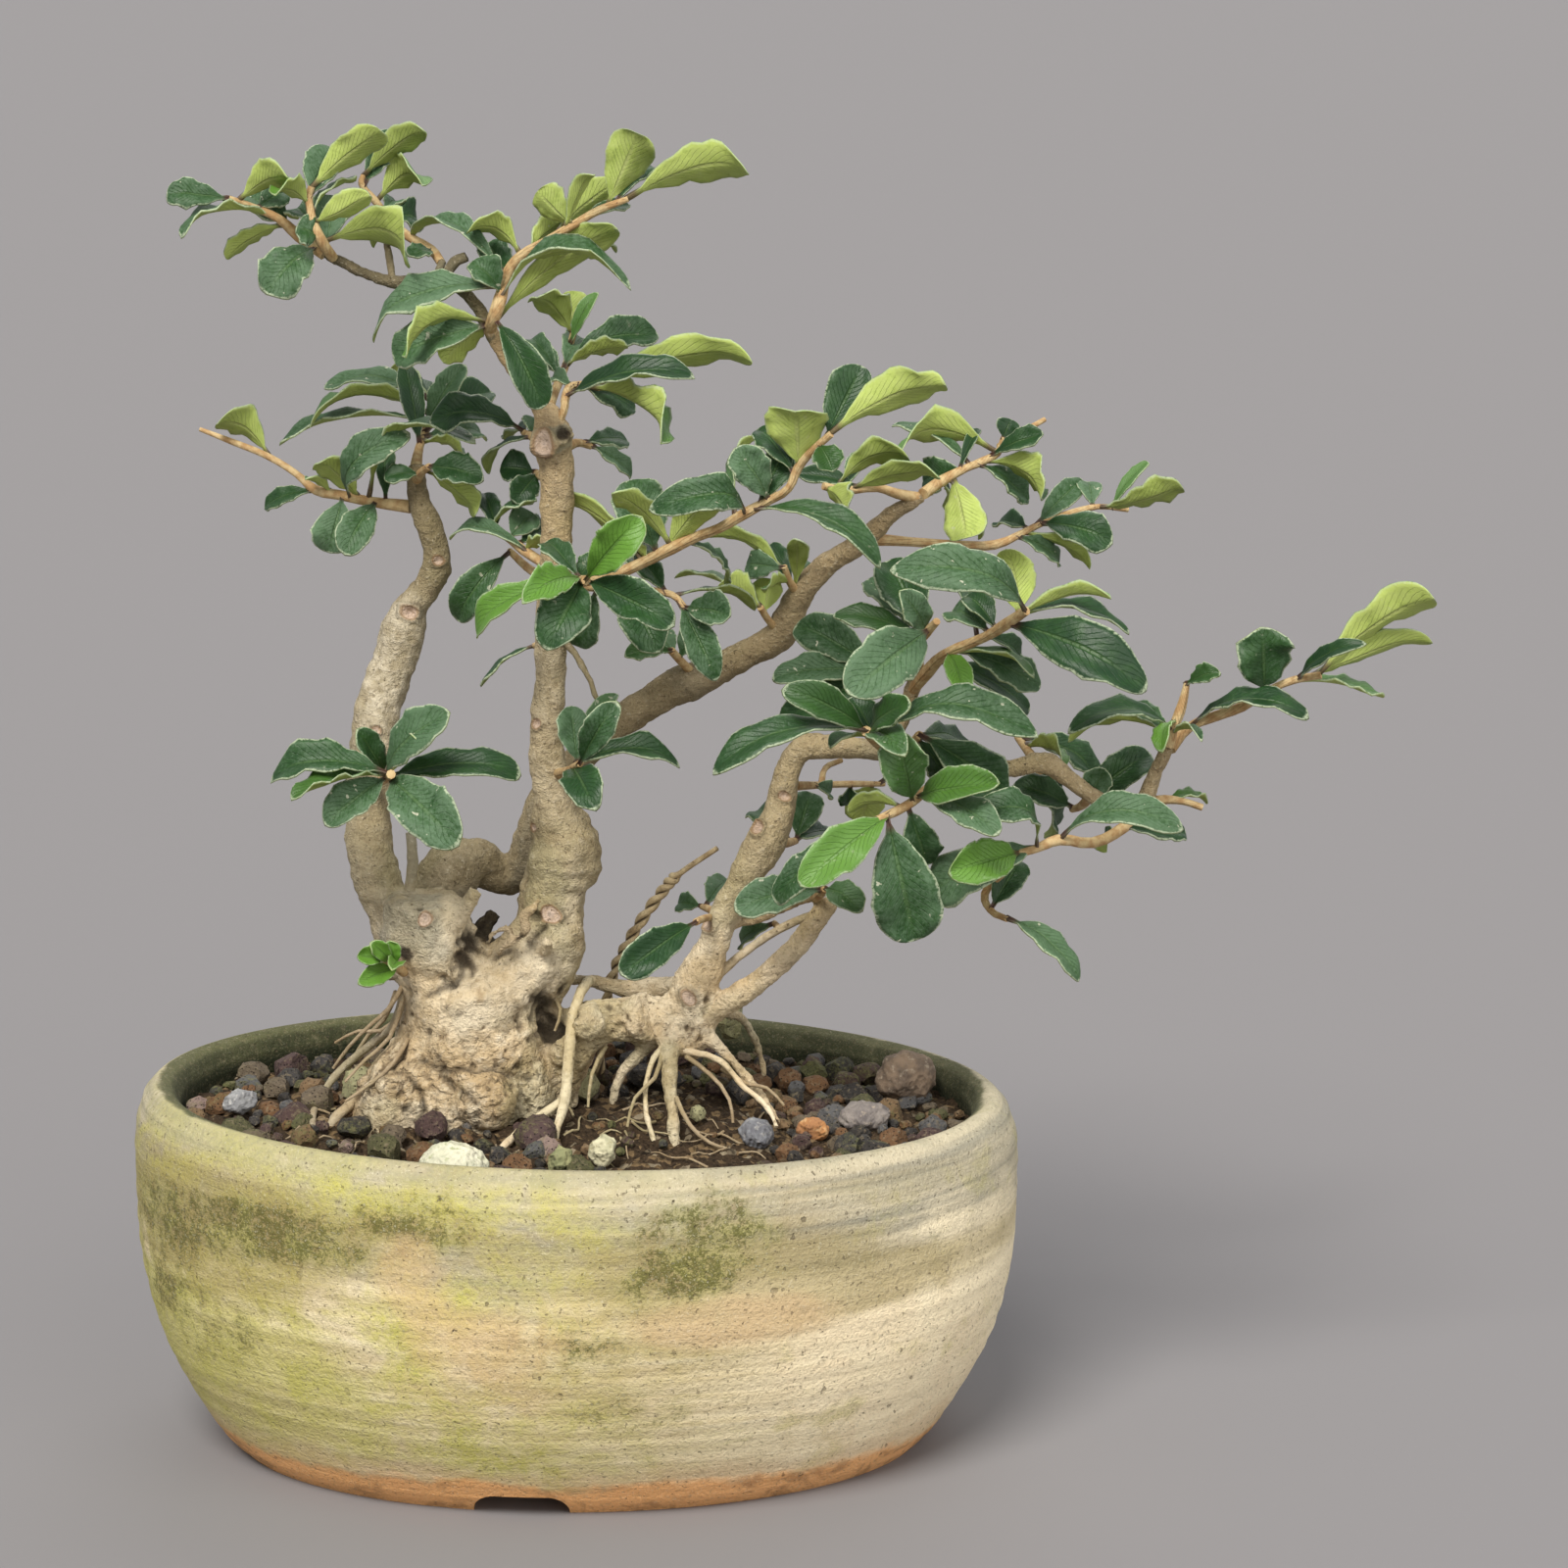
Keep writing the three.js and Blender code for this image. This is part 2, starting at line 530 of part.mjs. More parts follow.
      leaves: [
        [598, 592, 652, 530, -34, 11, 75, 0.1], [599, 592, 684, 634, -38, 11, 70, 0.1],
        [597, 593, 561, 656, -37, 12, 65, 0.1], [596, 592, 537, 610, -39, 8, 55, 0.1],
        [590, 591, 480, 643, -13, 7, 40, 0.12], [592, 590, 556, 552, -10, 7, 40, 0.1],
        [596, 591, 612, 568, -15, 6, 50, 0.1],
      ],
    },
  ],
  shoot_centre_right: [
    {
      radii: [1.1, 0.8],
      route: [[578, 598, 3], [612, 600, 1], [650, 603, -2], [686, 607, -6], [700, 622, -9]],
      leaves: [
        [700, 622, 747, 630, -15, 9, 60, 0.1], [700, 622, 731, 693, -15, 8, 65, 0.1],
        [688, 608, 771, 614, 0, 7, -8, 0.1], [680, 606, 642, 566, 4, 7, 40, 0.1],
        [640, 602, 672, 664, -12, 12, 65, 0.1], [610, 600, 590, 661, 1, 9, 50, 0.1],
        [660, 604, 668, 640, 7, 8, 50, 0.1],
      ],
    },
  ],
  shoot_third_low: [
    {
      radii: [1.5, 0.9],
      route: [[716, 694, 28], [700, 680, 24], [685, 664, 19]],
      leaves: [
        [686, 665, 638, 668, 15, 6, 50, 0.1], [690, 669, 668, 646, 24, 7, 50, 0.1],
        [688, 668, 712, 642, 23, 7, 50, 0.1],
      ],
    },
  ],
  shoot_third_mid: [
    {
      radii: [1.2, 0.8],
      route: [[797, 646, 28], [785, 634, 25], [776, 620, 22]],
      leaves: [
        [776, 620, 733, 596, 22, 8, -40, 0.1], [778, 622, 786, 590, 24, 8, -60, 0.1],
        [782, 630, 692, 583, 37, 7, -20, 0.1],
      ],
    },
  ],
  shoot_third_upper: [
    {
      radii: [1.2, 0.8],
      route: [[815, 606, 27], [806, 594, 24], [800, 578, 22]],
      leaves: [
        [800, 580, 760, 576, 26, 7, 70, 0.1], [800, 578, 704, 551, 19, 7, -40, 0.2],
        [802, 584, 782, 602, 19, 6, -40, 0.1], [804, 588, 832, 576, 40, 7, 40, 0.1],
      ],
    },
  ],
  shoot_A: [
    {
      radii: [1.5, 0.9],
      route: [[580, 594, -1], [630, 585, -7], [660, 572, -9], [686, 559, -11], [710, 548, -11],
        [734, 539, -13], [760, 524, -13], [784, 511, -13], [805, 498, -15], [814, 478, -15],
        [830, 459, -17], [848, 443, -19]],
      leaves: [
        [686, 559, 626, 506, -22, 6, -50, 0.15], [690, 556, 725, 511, -19, 9, -70, 0.1],
        [757, 522, 663, 520, -24, 10, 60, 0.42], [682, 560, 640, 490, -5, 13, 60, 0.1],
        [655, 573, 556, 501, 5, 8, -50, 0.1], [686, 560, 640, 555, -9, 5, -40, 0.1],
        [690, 557, 660, 552, 3, 7, 40, 0.1], [700, 552, 746, 592, -1, 6, 30, 0.1],
        [766, 520, 900, 572, -22, 9, 20, 0.15], [784, 511, 750, 458, -16, 9, 60, 0.1],
        [784, 511, 803, 458, -8, 8, 60, 0.1], [784, 511, 766, 446, 0, 7, -40, 0.1],
        [813, 476, 812, 416, -21, 15, -75, 0.02], [812, 478, 772, 436, -7, 7, 40, 0.1],
        [848, 443, 965, 396, -25, 11, -60, 0.2], [848, 443, 880, 372, -10, 10, 50, -0.1],
        [838, 452, 850, 482, -22, 8, 60, 0.1],
      ],
    },
  ],
  shoot_C: [
    {
      radii: [1.3, 0.9],
      route: [[936, 508, 22], [916, 504, 20], [896, 498, 18], [861, 500, 16], [840, 496, 14]],
      leaves: [
        [853, 499, 926, 464, 12, 8, -45, 0.25], [868, 500, 959, 484, 6, 8, -50, 0.1],
        [842, 496, 862, 524, 8, 10, -60, 0.1],
      ],
    },
  ],
  shoot_upper_right: [
    {
      radii: [1.4, 0.8],
      route: [[942, 504, 22], [962, 490, 28], [985, 478, 31], [1002, 471, 34], [1018, 462, 34],
        [1024, 446, 34]],
      leaves: [
        [1018, 463, 914, 456, 26, 11, -50, 0.25], [1003, 471, 1063, 508, 26, 12, -50, 0.2],
        [1002, 472, 1046, 514, 40, 8, 40, 0.1], [1020, 456, 1066, 444, 30, 6, 45, 0.1],
        [1024, 447, 1032, 428, 35, 6, 60, 0.1], [985, 478, 944, 492, 38, 9, 60, 0.1],
        [972, 485, 986, 553, 21, 10, -60, 0.1], [960, 492, 974, 539, 40, 8, 40, 0.1],
      ],
    },
    {
      radii: [0.9, 0.7],
      route: [[1020, 456, 34], [1045, 440, 40], [1066, 428, 43]],
      leaves: [],
    },
  ],
  shoot_far_right_upper: [
    {
      radii: [1.4, 0.7],
      route: [[880, 552, 25], [895, 551, 27], [930, 553, 29], [975, 556, 34], [1015, 556, 38],
        [1045, 543, 43], [1065, 533, 45], [1095, 523, 47], [1121, 517, 49], [1151, 520, 51]],
      leaves: [
        [1122, 517, 1206, 490, 43, 8, -35, -0.1], [1062, 534, 1133, 550, 35, 11, 55, 0.1],
        [1050, 541, 1017, 534, 52, 7, 40, 0.1], [1036, 547, 1084, 574, 47, 7, 50, 0.1],
      ],
    },
  ],
  shoot_right_front: [
    {
      radii: [1.5, 1.2],
      route: [[932, 703, 0], [946, 686, -6], [964, 668, -12], [1005, 650, -18], [1028, 636, -23],
        [1047, 623, -27]],
      leaves: [
        [1045, 624, 911, 580, -37, 12, 55, 0.3], [1048, 623, 1028, 561, -22, 9, -60, 0.3],
        [1047, 623, 1133, 606, -29, 6, -20, 0.1], [1040, 628, 1168, 698, -38, 13, 60, 0.12],
        [1044, 625, 1152, 650, -21, 7, 10, 0.2], [1036, 631, 985, 606, -15, 7, 40, 0.1],
        [1030, 635, 970, 622, -9, 9, 50, 0.1], [1012, 646, 1042, 674, -11, 6, 40, 0.1],
        [1000, 652, 978, 585, 14, 6, 60, 0.1], [968, 667, 986, 712, -25, 6, 70, 0.1],
        [975, 664, 1060, 703, -10, 8, 50, 0.1], [980, 662, 1055, 680, -21, 5, 10, 0.1],
        [970, 666, 1049, 727, -1, 8, 45, 0.1],
      ],
    },
  ],
  shoot_mid_right: [
    {
      radii: [1.4, 1],
      route: [[938, 684, 0], [936, 662, -4], [946, 645, -16], [956, 634, -20]],
      leaves: [
        [948, 643, 864, 710, -32, 14, 65, 0.15], [950, 640, 918, 603, -21, 8, 60, 0.1],
        [940, 652, 851, 626, -11, 6, 40, 0.1], [945, 646, 905, 570, -4, 14, 60, 0.1],
        [942, 650, 886, 596, 4, 9, 40, 0.1],
      ],
    },
  ],
  shoot_mid_right_back: [
    {
      radii: [1.2, 0.8],
      route: [[936, 692, 1], [920, 690, 9], [906, 689, 14], [890, 688, 14]],
      leaves: [
        [890, 688, 788, 692, 10, 9, 45, 0.1], [894, 688, 812, 636, 18, 10, 55, 0.1],
        [900, 689, 796, 738, 12, 9, 45, 0.1], [892, 688, 868, 664, 24, 8, 40, 0.1],
      ],
    },
  ],
  shoot_front_low: [
    {
      radii: [1.4, 1.1],
      route: [[908, 768, -3], [894, 757, -17], [884, 746, -29]],
      leaves: [
        [884, 746, 727, 784, -37, 9, 25, 0.15], [884, 745, 805, 703, -37, 8, 60, 0.1],
        [885, 746, 930, 718, -38, 7, 55, 0.1], [886, 748, 920, 764, -40, 8, 60, 0.1],
        [884, 747, 847, 762, -29, 5, -20, 0.1], [890, 752, 1060, 757, -28, 10, 35, 0.28],
        [886, 748, 868, 712, -18, 8, 50, 0.1],
      ],
    },
  ],
  shoot_hanging_mid: [
    {
      radii: [1.3, 0.9],
      route: [[925, 765, 0], [932, 757, -7], [938, 750, -14]],
      leaves: [
        [938, 750, 1027, 816, -18, 13, 55, 0.1], [936, 752, 988, 764, 3, 8, 40, 0.1],
        [937, 751, 962, 790, -10, 7, 50, 0.1],
      ],
    },
  ],
  shoot_right_tip: [
    {
      radii: [1.5, 0.8],
      route: [[1192, 762, -8], [1197, 744, -8], [1204, 726, -8], [1208, 712, -8], [1211, 697, -8]],
      leaves: [
        [1196, 746, 1092, 742, -16, 9, 25, 0.2], [1194, 752, 1092, 746, 2, 7, -30, 0.15],
        [1200, 736, 1183, 761, -18, 5, -40, 0.1], [1198, 742, 1226, 749, -18, 4, 0, 0.1],
        [1199, 740, 1155, 720, 0, 6, 40, 0.1], [1210, 699, 1244, 686, -12, 5, 50, 0.1],
      ],
    },
  ],
  shoot_right_reach: [
    {
      radii: [1.4, 0.8],
      route: [[1194, 764, -5], [1214, 742, -1], [1240, 731, -3], [1268, 721, -4], [1292, 706, -5],
        [1320, 694, -6], [1348, 689, -8]],
      leaves: [
        [1216, 741, 1334, 728, -14, 9, 30, 0.2], [1290, 707, 1288, 642, -10, 14, 60, 0.05],
        [1310, 698, 1412, 717, 0, 6, 0, 0.1], [1347, 689, 1468, 610, -14, 12, -55, 0.15],
        [1348, 689, 1460, 646, -3, 8, -60, 0.05], [1347, 689, 1386, 654, -18, 5, 50, 0.1],
      ],
    },
  ],
  shoot_right_low: [
    {
      radii: [1.6, 1],
      route: [[1160, 830, -8], [1147, 844, -13], [1115, 860, -16], [1080, 857, -18], [1057, 866, -20],
        [1038, 871, -20]],
      leaves: [
        [1082, 857, 1207, 845, -26, 9, 40, 0.3], [1145, 845, 1210, 850, -7, 9, 45, 0.1],
        [1138, 849, 1126, 866, -6, 6, 50, 0.1], [1056, 866, 985, 835, -29, 9, 35, 0.4],
        [1039, 871, 967, 892, -31, 11, 70, 0.1], [1040, 871, 946, 912, -19, 13, 50, 0.1],
      ],
    },
    {
      radii: [1, 0.8],
      route: [[1040, 871, -20], [1022, 893, -13], [1005, 912, -10], [1010, 928, -13], [1028, 938, -18]],
      leaves: [
        [1011, 928, 1042, 876, -7, 8, 55, 0.1], [1027, 938, 1102, 1000, -22, 8, 30, 0.15],
      ],
    },
  ],
  shoot_right_mid: [
    {
      radii: [1.4, 0.9],
      route: [[1062, 784, -3], [1050, 768, 12], [1038, 752, 17]],
      leaves: [
        [1040, 754, 1122, 798, 18, 10, 40, 0.2], [1045, 762, 1088, 776, 2, 7, -50, 0.1],
        [1042, 756, 1075, 852, 23, 10, 40, 0.1],
      ],
    },
  ],
  shoot_right_mid_low: [
    {
      radii: [1.2, 0.9],
      route: [[1112, 812, -5], [1104, 822, 3], [1094, 826, 9]],
      leaves: [
        [1096, 826, 1034, 801, 7, 9, 50, 0.1], [1108, 817, 1128, 784, -3, 7, 60, 0.1],
        [1100, 823, 1174, 768, 7, 10, 60, 0.1],
      ],
    },
  ],
  shoot_right_pale: [
    {
      radii: [1.2, 0.8],
      route: [[1166, 820, -7], [1188, 816, -5], [1208, 818, -5], [1227, 824, -5]],
      leaves: [
        [1190, 816, 1232, 816, -1, 5, 20, 0.1],
      ],
    },
  ],
  shoot_lower_right: [
    {
      radii: [1.5, 0.9],
      route: [[1000, 783, -4], [965, 795, -14], [945, 806, -19], [930, 819, -24], [912, 829, -26],
        [895, 836, -29]],
      leaves: [
        [931, 818, 915, 752, -32, 12, 75, 0.1], [932, 818, 1022, 800, -36, 10, 60, 0.1],
        [928, 820, 1019, 850, -39, 8, 40, 0.1], [911, 829, 817, 903, -39, 11, 60, 0.1],
        [897, 835, 788, 917, -32, 8, 45, 0.1], [905, 832, 934, 960, -26, 17, 80, 0.1],
        [926, 822, 946, 883, -20, 9, 70, 0.1], [920, 825, 868, 822, -17, 6, -50, 0.1],
      ],
    },
  ],
  shoot_low_branch_end: [
    {
      radii: [1.3, 0.9],
      route: [[832, 916, -3], [838, 911, -8], [842, 907, -13]],
      leaves: [
        [842, 908, 881, 930, -20, 8, 60, 0.2], [840, 909, 752, 926, -21, 9, 50, 0.12],
        [840, 908, 806, 898, -5, 6, -40, 0.1],
      ],
    },
  ],
  shoot_low_branch_leaf: [
    {
      radii: [0.9, 0.7],
      route: [[796, 948, 2], [790, 942, 7]],
      leaves: [
        [790, 943, 754, 963, 12, 7, 50, 0.1],
      ],
    },
  ],
  shoot_right_stem_front: [
    {
      radii: [1, 0.8],
      route: [[724, 936, -2], [716, 938, -9], [710, 941, -14]],
      leaves: [
        [710, 941, 633, 996, -27, 9, 65, 0.1],
      ],
    },
  ],
  shoot_right_stem_back: [
    {
      radii: [1, 0.8],
      route: [[740, 932, 1], [728, 930, 8], [722, 927, 14], [716, 925, 18]],
      leaves: [
        [716, 925, 690, 922, 21, 6, 60, 0.1], [718, 926, 742, 900, 28, 8, 40, 0.1],
      ],
    },
  ],
  shoot_right_joint_back: [
    {
      radii: [1.3, 0.9],
      route: [[782, 862, 2], [796, 861, 10], [804, 860, 18], [812, 858, 28]],
      leaves: [
        [812, 858, 828, 808, 33, 9, 60, 0.1], [806, 860, 770, 822, 33, 9, 50, 0.1],
        [811, 858, 850, 852, 36, 8, 40, 0.1],
      ],
    },
  ],
  shoot_right_twigs_back: [
    {
      radii: [1.1, 0.6],
      route: [[812, 802, 6], [840, 801, 16], [870, 800, 24], [902, 800, 30]],
      leaves: [
        [868, 800, 866, 822, 27, 6, 50, 0.1], [890, 800, 878, 842, 35, 9, -50, 0.1],
        [898, 800, 930, 780, 36, 8, 40, 0.1],
      ],
    },
    {
      radii: [0.9, 0.6],
      route: [[838, 801, 16], [842, 784, 22], [858, 776, 28]],
      leaves: [],
    },
  ],
  shoot_left_low: [
    {
      radii: [1.4, 1],
      route: [[379, 803, 11], [387, 798, 0], [393, 795, -12], [399, 790, -22]],
      leaves: [
        [398, 790, 275, 788, -21, 10, 35, 0.15], [397, 791, 297, 817, -30, 9, 10, 0.1],
        [396, 792, 332, 840, -27, 10, 60, 0.1], [399, 791, 462, 855, -35, 14, 70, 0.1],
        [399, 790, 462, 728, -25, 10, 45, 0.15], [399, 789, 432, 753, -24, 7, -50, 0.1],
        [400, 790, 527, 782, -17, 9, 45, 0.12], [396, 791, 364, 744, -16, 7, 50, 0.1],
      ],
    },
  ],
  shoot_centre_low: [
    {
      radii: [1.2, 0.9],
      route: [[568, 790, -1], [580, 786, -13], [592, 779, -21]],
      leaves: [
        [592, 779, 626, 720, -28, 8, 65, 0.1], [590, 780, 582, 720, -16, 8, 50, 0.1],
        [592, 779, 628, 704, -10, 5, 30, 0.1], [592, 780, 605, 820, -32, 9, 70, 0.1],
        [592, 779, 692, 772, -14, 7, 25, 0.15],
      ],
    },
  ],
  basal_shoot: [
    {
      radii: [1.1, 0.8],
      route: [[412, 992, -8], [402, 985, -13], [393, 980, -16]],
      leaves: [
        [394, 980, 364, 976, -18, 5, 60, 0.1], [395, 981, 378, 962, -19, 4, 60, 0.1],
        [396, 982, 397, 960, -15, 4, 60, 0.1], [394, 981, 366, 1004, -20, 5, 60, 0.1],
        [398, 983, 400, 990, -24, 4, 60, 0.1],
      ],
    },
  ],
};

// The pot

// A ring of the oval, with the slight wobble of a pot made by hand
function ovalRing(halfWidth, z, inset = 0) {
  return Array.from({ length: ROUND }, (_, j) => {
    const angle = (2 * Math.PI * j) / ROUND;
    const halfX = halfWidth - inset;
    const halfY = halfX - OVAL * Math.min(1, halfWidth / 60);
    const wobble = 1 + 0.004 * Math.sin(3 * angle + 1);
    const x = halfX * wobble * Math.cos(angle);
    const y = halfY * wobble * Math.sin(angle);
    return [x, y, z - (RIM_FALL * x * z) / POT_HEIGHT];
  });
}

function drainHole(x) {
  const radius = DRAIN.diameter / 2;
  const cutter = new THREE.CylinderGeometry(radius, radius, 3 * FLOOR_TOP, DRAIN.sides);
  cutter.rotateX(Math.PI / 2);
  cutter.translate(x, 0, 0);
  return geometryToSolid(cutter);
}

// A low arch through the foot ring at the front and at the back, to let water run off
function footNotch() {
  const radius = (NOTCH.width ** 2 / 4 + NOTCH.height ** 2) / (2 * NOTCH.height);
  const cutter = new THREE.CylinderGeometry(radius, radius, 4 * FOOT_INNER, 32);
  cutter.translate(NOTCH.x, 0, NOTCH.height - radius);
  return geometryToSolid(cutter);
}

function pot() {
  const rings = [
    ovalRing(1, RECESS),
    ovalRing(FOOT_INNER - 1, RECESS),
    ovalRing(FOOT_INNER, 0),
    ...[...WALL_OUTSIDE, ...WALL_RIM, ...WALL_INSIDE].map(([halfWidth, z]) => ovalRing(halfWidth, z)),
    ovalRing(1, FLOOR_TOP),
  ];
  return skin(rings)
    .subtract(drainHole(-DRAIN.x))
    .subtract(drainHole(DRAIN.x))
    .subtract(footNotch());
}

function screen(x, grow = 0) {
  const side = SCREEN.side + 2 * grow;
  const pad = new THREE.BoxGeometry(side, side, SCREEN.thick + 2 * grow);
  pad.translate(x, 0, FLOOR_TOP + GAP + RIM_FALL + SCREEN.thick / 2);
  return geometryToSolid(pad);
}

// The filling

// The surface is mounded at the trunk and knobbly with half-buried grains
function soilTop(x, y) {
  const mound = 3 * Math.exp(-((x + 15) ** 2) / 1600 - (y / 28) ** 2);
  const across = Math.sin(0.62 * x + 0.9 * Math.sin(0.4 * y));
  const knobs = 0.9 * across * Math.cos(0.55 * y + 0.7 * Math.sin(0.5 * x));
  return SOIL_LEVEL + mound + knobs - RIM_FALL * x * 0.6;
}

function soilRing(share) {
  const halfWidth = WALL_INSIDE[0][0];
  return ovalRing(halfWidth, SOIL_LEVEL, GAP + 0.1).map(([x, y]) => (
    [x * share, y * share, soilTop(x * share, y * share)]
  ));
}

function soilBody() {
  const wall = WALL_INSIDE.slice(1).reverse();
  return skin([
    ovalRing(1, FLOOR_TOP + GAP),
    ...wall.map(([halfWidth, z]) => ovalRing(halfWidth, z + GAP, GAP + 0.1)),
    ...[1, 0.84, 0.66, 0.46, 0.24, 0.01].map(soilRing),
  ]);
}

// An angular stone: a rounded lump with its corners drawn in and out
function pebble([x, y, z], [rx, ry, rz], turn, detail, seed, grow = 0) {
  const draw = draws(seed);
  const shape = new THREE.IcosahedronGeometry(1, detail);
  shape.deleteAttribute('normal');
  shape.deleteAttribute('uv');
  const merged = mergeVertices(shape, 1e-4);
  const place = merged.attributes.position;
  for (let i = 0; i < place.count; i += 1) {
    const size = 1 + 0.22 * (draw() - 0.5);
    place.setXYZ(i, place.getX(i) * size, place.getY(i) * size, place.getZ(i) * size);
  }
  merged.scale(rx + grow, ry + grow, rz + grow);
  merged.rotateX(turn * 0.4);
  merged.rotateZ(turn);
  merged.translate(x, y, z);
  return geometryToSolid(merged);
}

// Coarse grit lies all over the pot but for the trunk's foot and the fine peat before the second trunk
function isBare(x, y) {
  const trunk = Math.hypot((x + 22) / 24, y / 22) < 1;
  const peat = Math.hypot((x - 20) / 24, (y + 16) / 30) < 1;
  return trunk || peat;
}

function grit() {
  const draw = draws(7);
  const grains = [];
  const [halfX, halfY] = [WALL_INSIDE[0][0], WALL_INSIDE[0][0] - OVAL];
  for (let row = -6; row <= 6; row += 1) {
    for (let column = -9; column <= 9; column += 1) {
      const x = (column + (row % 2 ? 0.5 : 0) + 0.5 * (draw() - 0.5)) * GRAIN_STEP;
      const y = (row + 0.5 * (draw() - 0.5)) * GRAIN_STEP * 0.87;
      const radius = GRAIN_RADIUS[0] + (GRAIN_RADIUS[1] - GRAIN_RADIUS[0]) * draw();
      const flat = 0.7 + 0.3 * draw();
      const turn = 6.28 * draw();
      const room = Math.hypot(x / (halfX - radius), y / (halfY - radius)) < 0.99;
      if (room && !isBare(x, y)) {
        const centre = [x, y, soilTop(x, y) + radius * 0.35];
        const half = [radius, radius * flat, radius * 0.8];
        grains.push(pebble(centre, half, turn, 0, grains.length + 11));
      }
    }
  }
  return grains;
}

// Larger stones, each a piece of its own: centre, half sizes, turn
const STONES = {
  stone_white_front: { centre: [-22, -45, 70], half: [7, 5.5, 5], turn: 0.2, colour: 0xd9d8c4 },
  stone_mossy_front: { centre: [-1, -41, 70], half: [3.3, 3.2, 3.7], turn: 0.7, colour: 0x8b8a60 },
  stone_pale_front: { centre: [7, -36, 70.5], half: [3.5, 3.2, 3.8], turn: 0.1, colour: 0xcdc9a6 },
  stone_orange_right: { centre: [48.5, -14, 68.5], half: [4.2, 3, 2.6], turn: 2.9, colour: 0xb9793f },
  stone_grey_right: { centre: [59, -5, 68.5], half: [5.6, 4, 3.4], turn: 0.3, colour: 0x8d857c },
  stone_blue_right: { centre: [37, -19, 69], half: [4.5, 4, 3.8], turn: 1, colour: 0x7f8590 },
  stone_brown_back_right: { centre: [68, 17, 71], half: [7.4, 5, 5.4], turn: 0.5, colour: 0x9c8468 },
  stone_grey_left: { centre: [-68, -4, 71.5], half: [4.2, 3.6, 3.4], turn: 0.4, colour: 0x9a9a94 },
};

function stone({ centre, half, turn }, seed, grow = 0) {
  return pebble(centre, half, turn, half[0] > LARGE_STONE ? 1 : 0, seed, grow);
}

// The wood of the tree: every limb and root of WOOD joined in one solid

function wood(grow = 0) {
  return Object.values(WOOD).map((drawn, i) => {
    const points = drawn.map((place) => (
      [...spot(place).toArray(), (place[3] / 2 / SIGHT) * sightDepth(place)]
    ));
    const widest = Math.max(...points.map((point) => point[3]));
    const sides = widest > 8 ? 8 : widest > 3.2 ? 6 : widest > 1.5 ? 5 : 3;
    return limb(points, { sides, grow, rough: widest > 3.2 ? 0.14 : 0.05, seed: i + 3 });
  }).reduce((all, one) => all.add(one));
}

// The dry stem: an oval section that turns as it climbs, ending in a plain thin tip
const stemPath = new THREE.CatmullRomCurve3(TWISTED.route.map((point) => new THREE.Vector3(...point)));

function twistedStem() {
  const rings = [];
  for (let i = 0; i <= TWISTED.steps; i += 1) {
    const share = i / TWISTED.steps;
    const centre = stemPath.getPointAt(share);
    const tangent = stemPath.getTangentAt(share);
    const side = new THREE.Vector3(0, 1, 0).cross(tangent).normalize();
    const other = tangent.clone().cross(side);
    const [wide, thin] = share > TWISTED.twistedShare ? TWISTED.tipHalf : TWISTED.half;
    const turn = Math.PI * TWISTED.halfTurns * Math.min(share, TWISTED.twistedShare);
    rings.push(Array.from({ length: 6 }, (_, j) => {
      const angle = (Math.PI * j) / 3;
      const u = wide * Math.cos(angle);
      const v = thin * Math.sin(angle);
      return centre.clone()
        .addScaledVector(side, u * Math.cos(turn) - v * Math.sin(turn))
        .addScaledVector(other, u * Math.sin(turn) + v * Math.cos(turn))
        .toArray();
    }));
  }
  return skin(rings);
}

// The plain hole in the soil that its foot stands in
function stemHole() {
  const foot = [0, 0.05, 0.1, 0.15, 0.2].map((share) => (
    [...stemPath.getPointAt(share).toArray(), TWISTED.half[0] + 2 * GAP]
  ));
  return limb(foot, { sides: 8, grow: GAP });
}

// Colours and finishes
const matt = (color, roughness = 0.85) => new THREE.MeshStandardMaterial({ color, roughness, metalness: 0 });
const CLAY = matt(0xb5a888, 0.9);
const SCREEN_PLASTIC = matt(0x23282a, 0.6);
const SOIL = matt(0x4a3f36, 0.95);
const BARK = matt(0xa48e6c, 0.9);
const DRY_STEM = matt(0x8a7347, 0.9);
const LEAF = matt(0x4d7a3a, 0.55);

// Putting it together

const treeWood = wood();
const grownWood = wood(GAP);
const stoneEntries = Object.entries(STONES);

function soil() {
  let solid = grit().reduce((all, grain) => all.add(grain), soilBody());
  solid = solid.subtract(grownWood).subtract(stemHole());
  solid = solid.subtract(screen(-DRAIN.x, GAP)).subtract(screen(DRAIN.x, GAP));
  stoneEntries.forEach(([, spec], i) => {
    solid = solid.subtract(stone(spec, i + 1, 1.4 * GAP));
  });
  return largest(solid);
}

const tree = new THREE.Group();
tree.position.x = -CENTRE_X;
tree.add(toMesh('pot', pot(), CLAY));
tree.add(toMesh('drain_screen_left', screen(-DRAIN.x), SCREEN_PLASTIC));
tree.add(toMesh('drain_screen_right', screen(DRAIN.x), SCREEN_PLASTIC));
tree.add(toMesh('soil_with_grit', soil(), SOIL));
tree.add(toMesh('tree_wood', treeWood, BARK));
tree.add(toMesh('twisted_dry_stem', twistedStem(), DRY_STEM));
stoneEntries.forEach(([name, spec], i) => {
  tree.add(toMesh(name, largest(stone(spec, i + 1).subtract(grownWood)), matt(spec.colour)));
});
Object.entries(SHOOTS).forEach(([name, sprays], i) => {
  const solids = sprays.map((one, k) => spray(one, 100 * (i + 1) + k));
  const joined = solids.reduce((all, one) => all.add(one));
  tree.add(toMesh(name, largest(joined.subtract(grownWood)), LEAF));
});

const model = new THREE.Group();
model.add(tree);

export default model;
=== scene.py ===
"""A wild privet bonsai in a hand-made oval pot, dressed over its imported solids."""

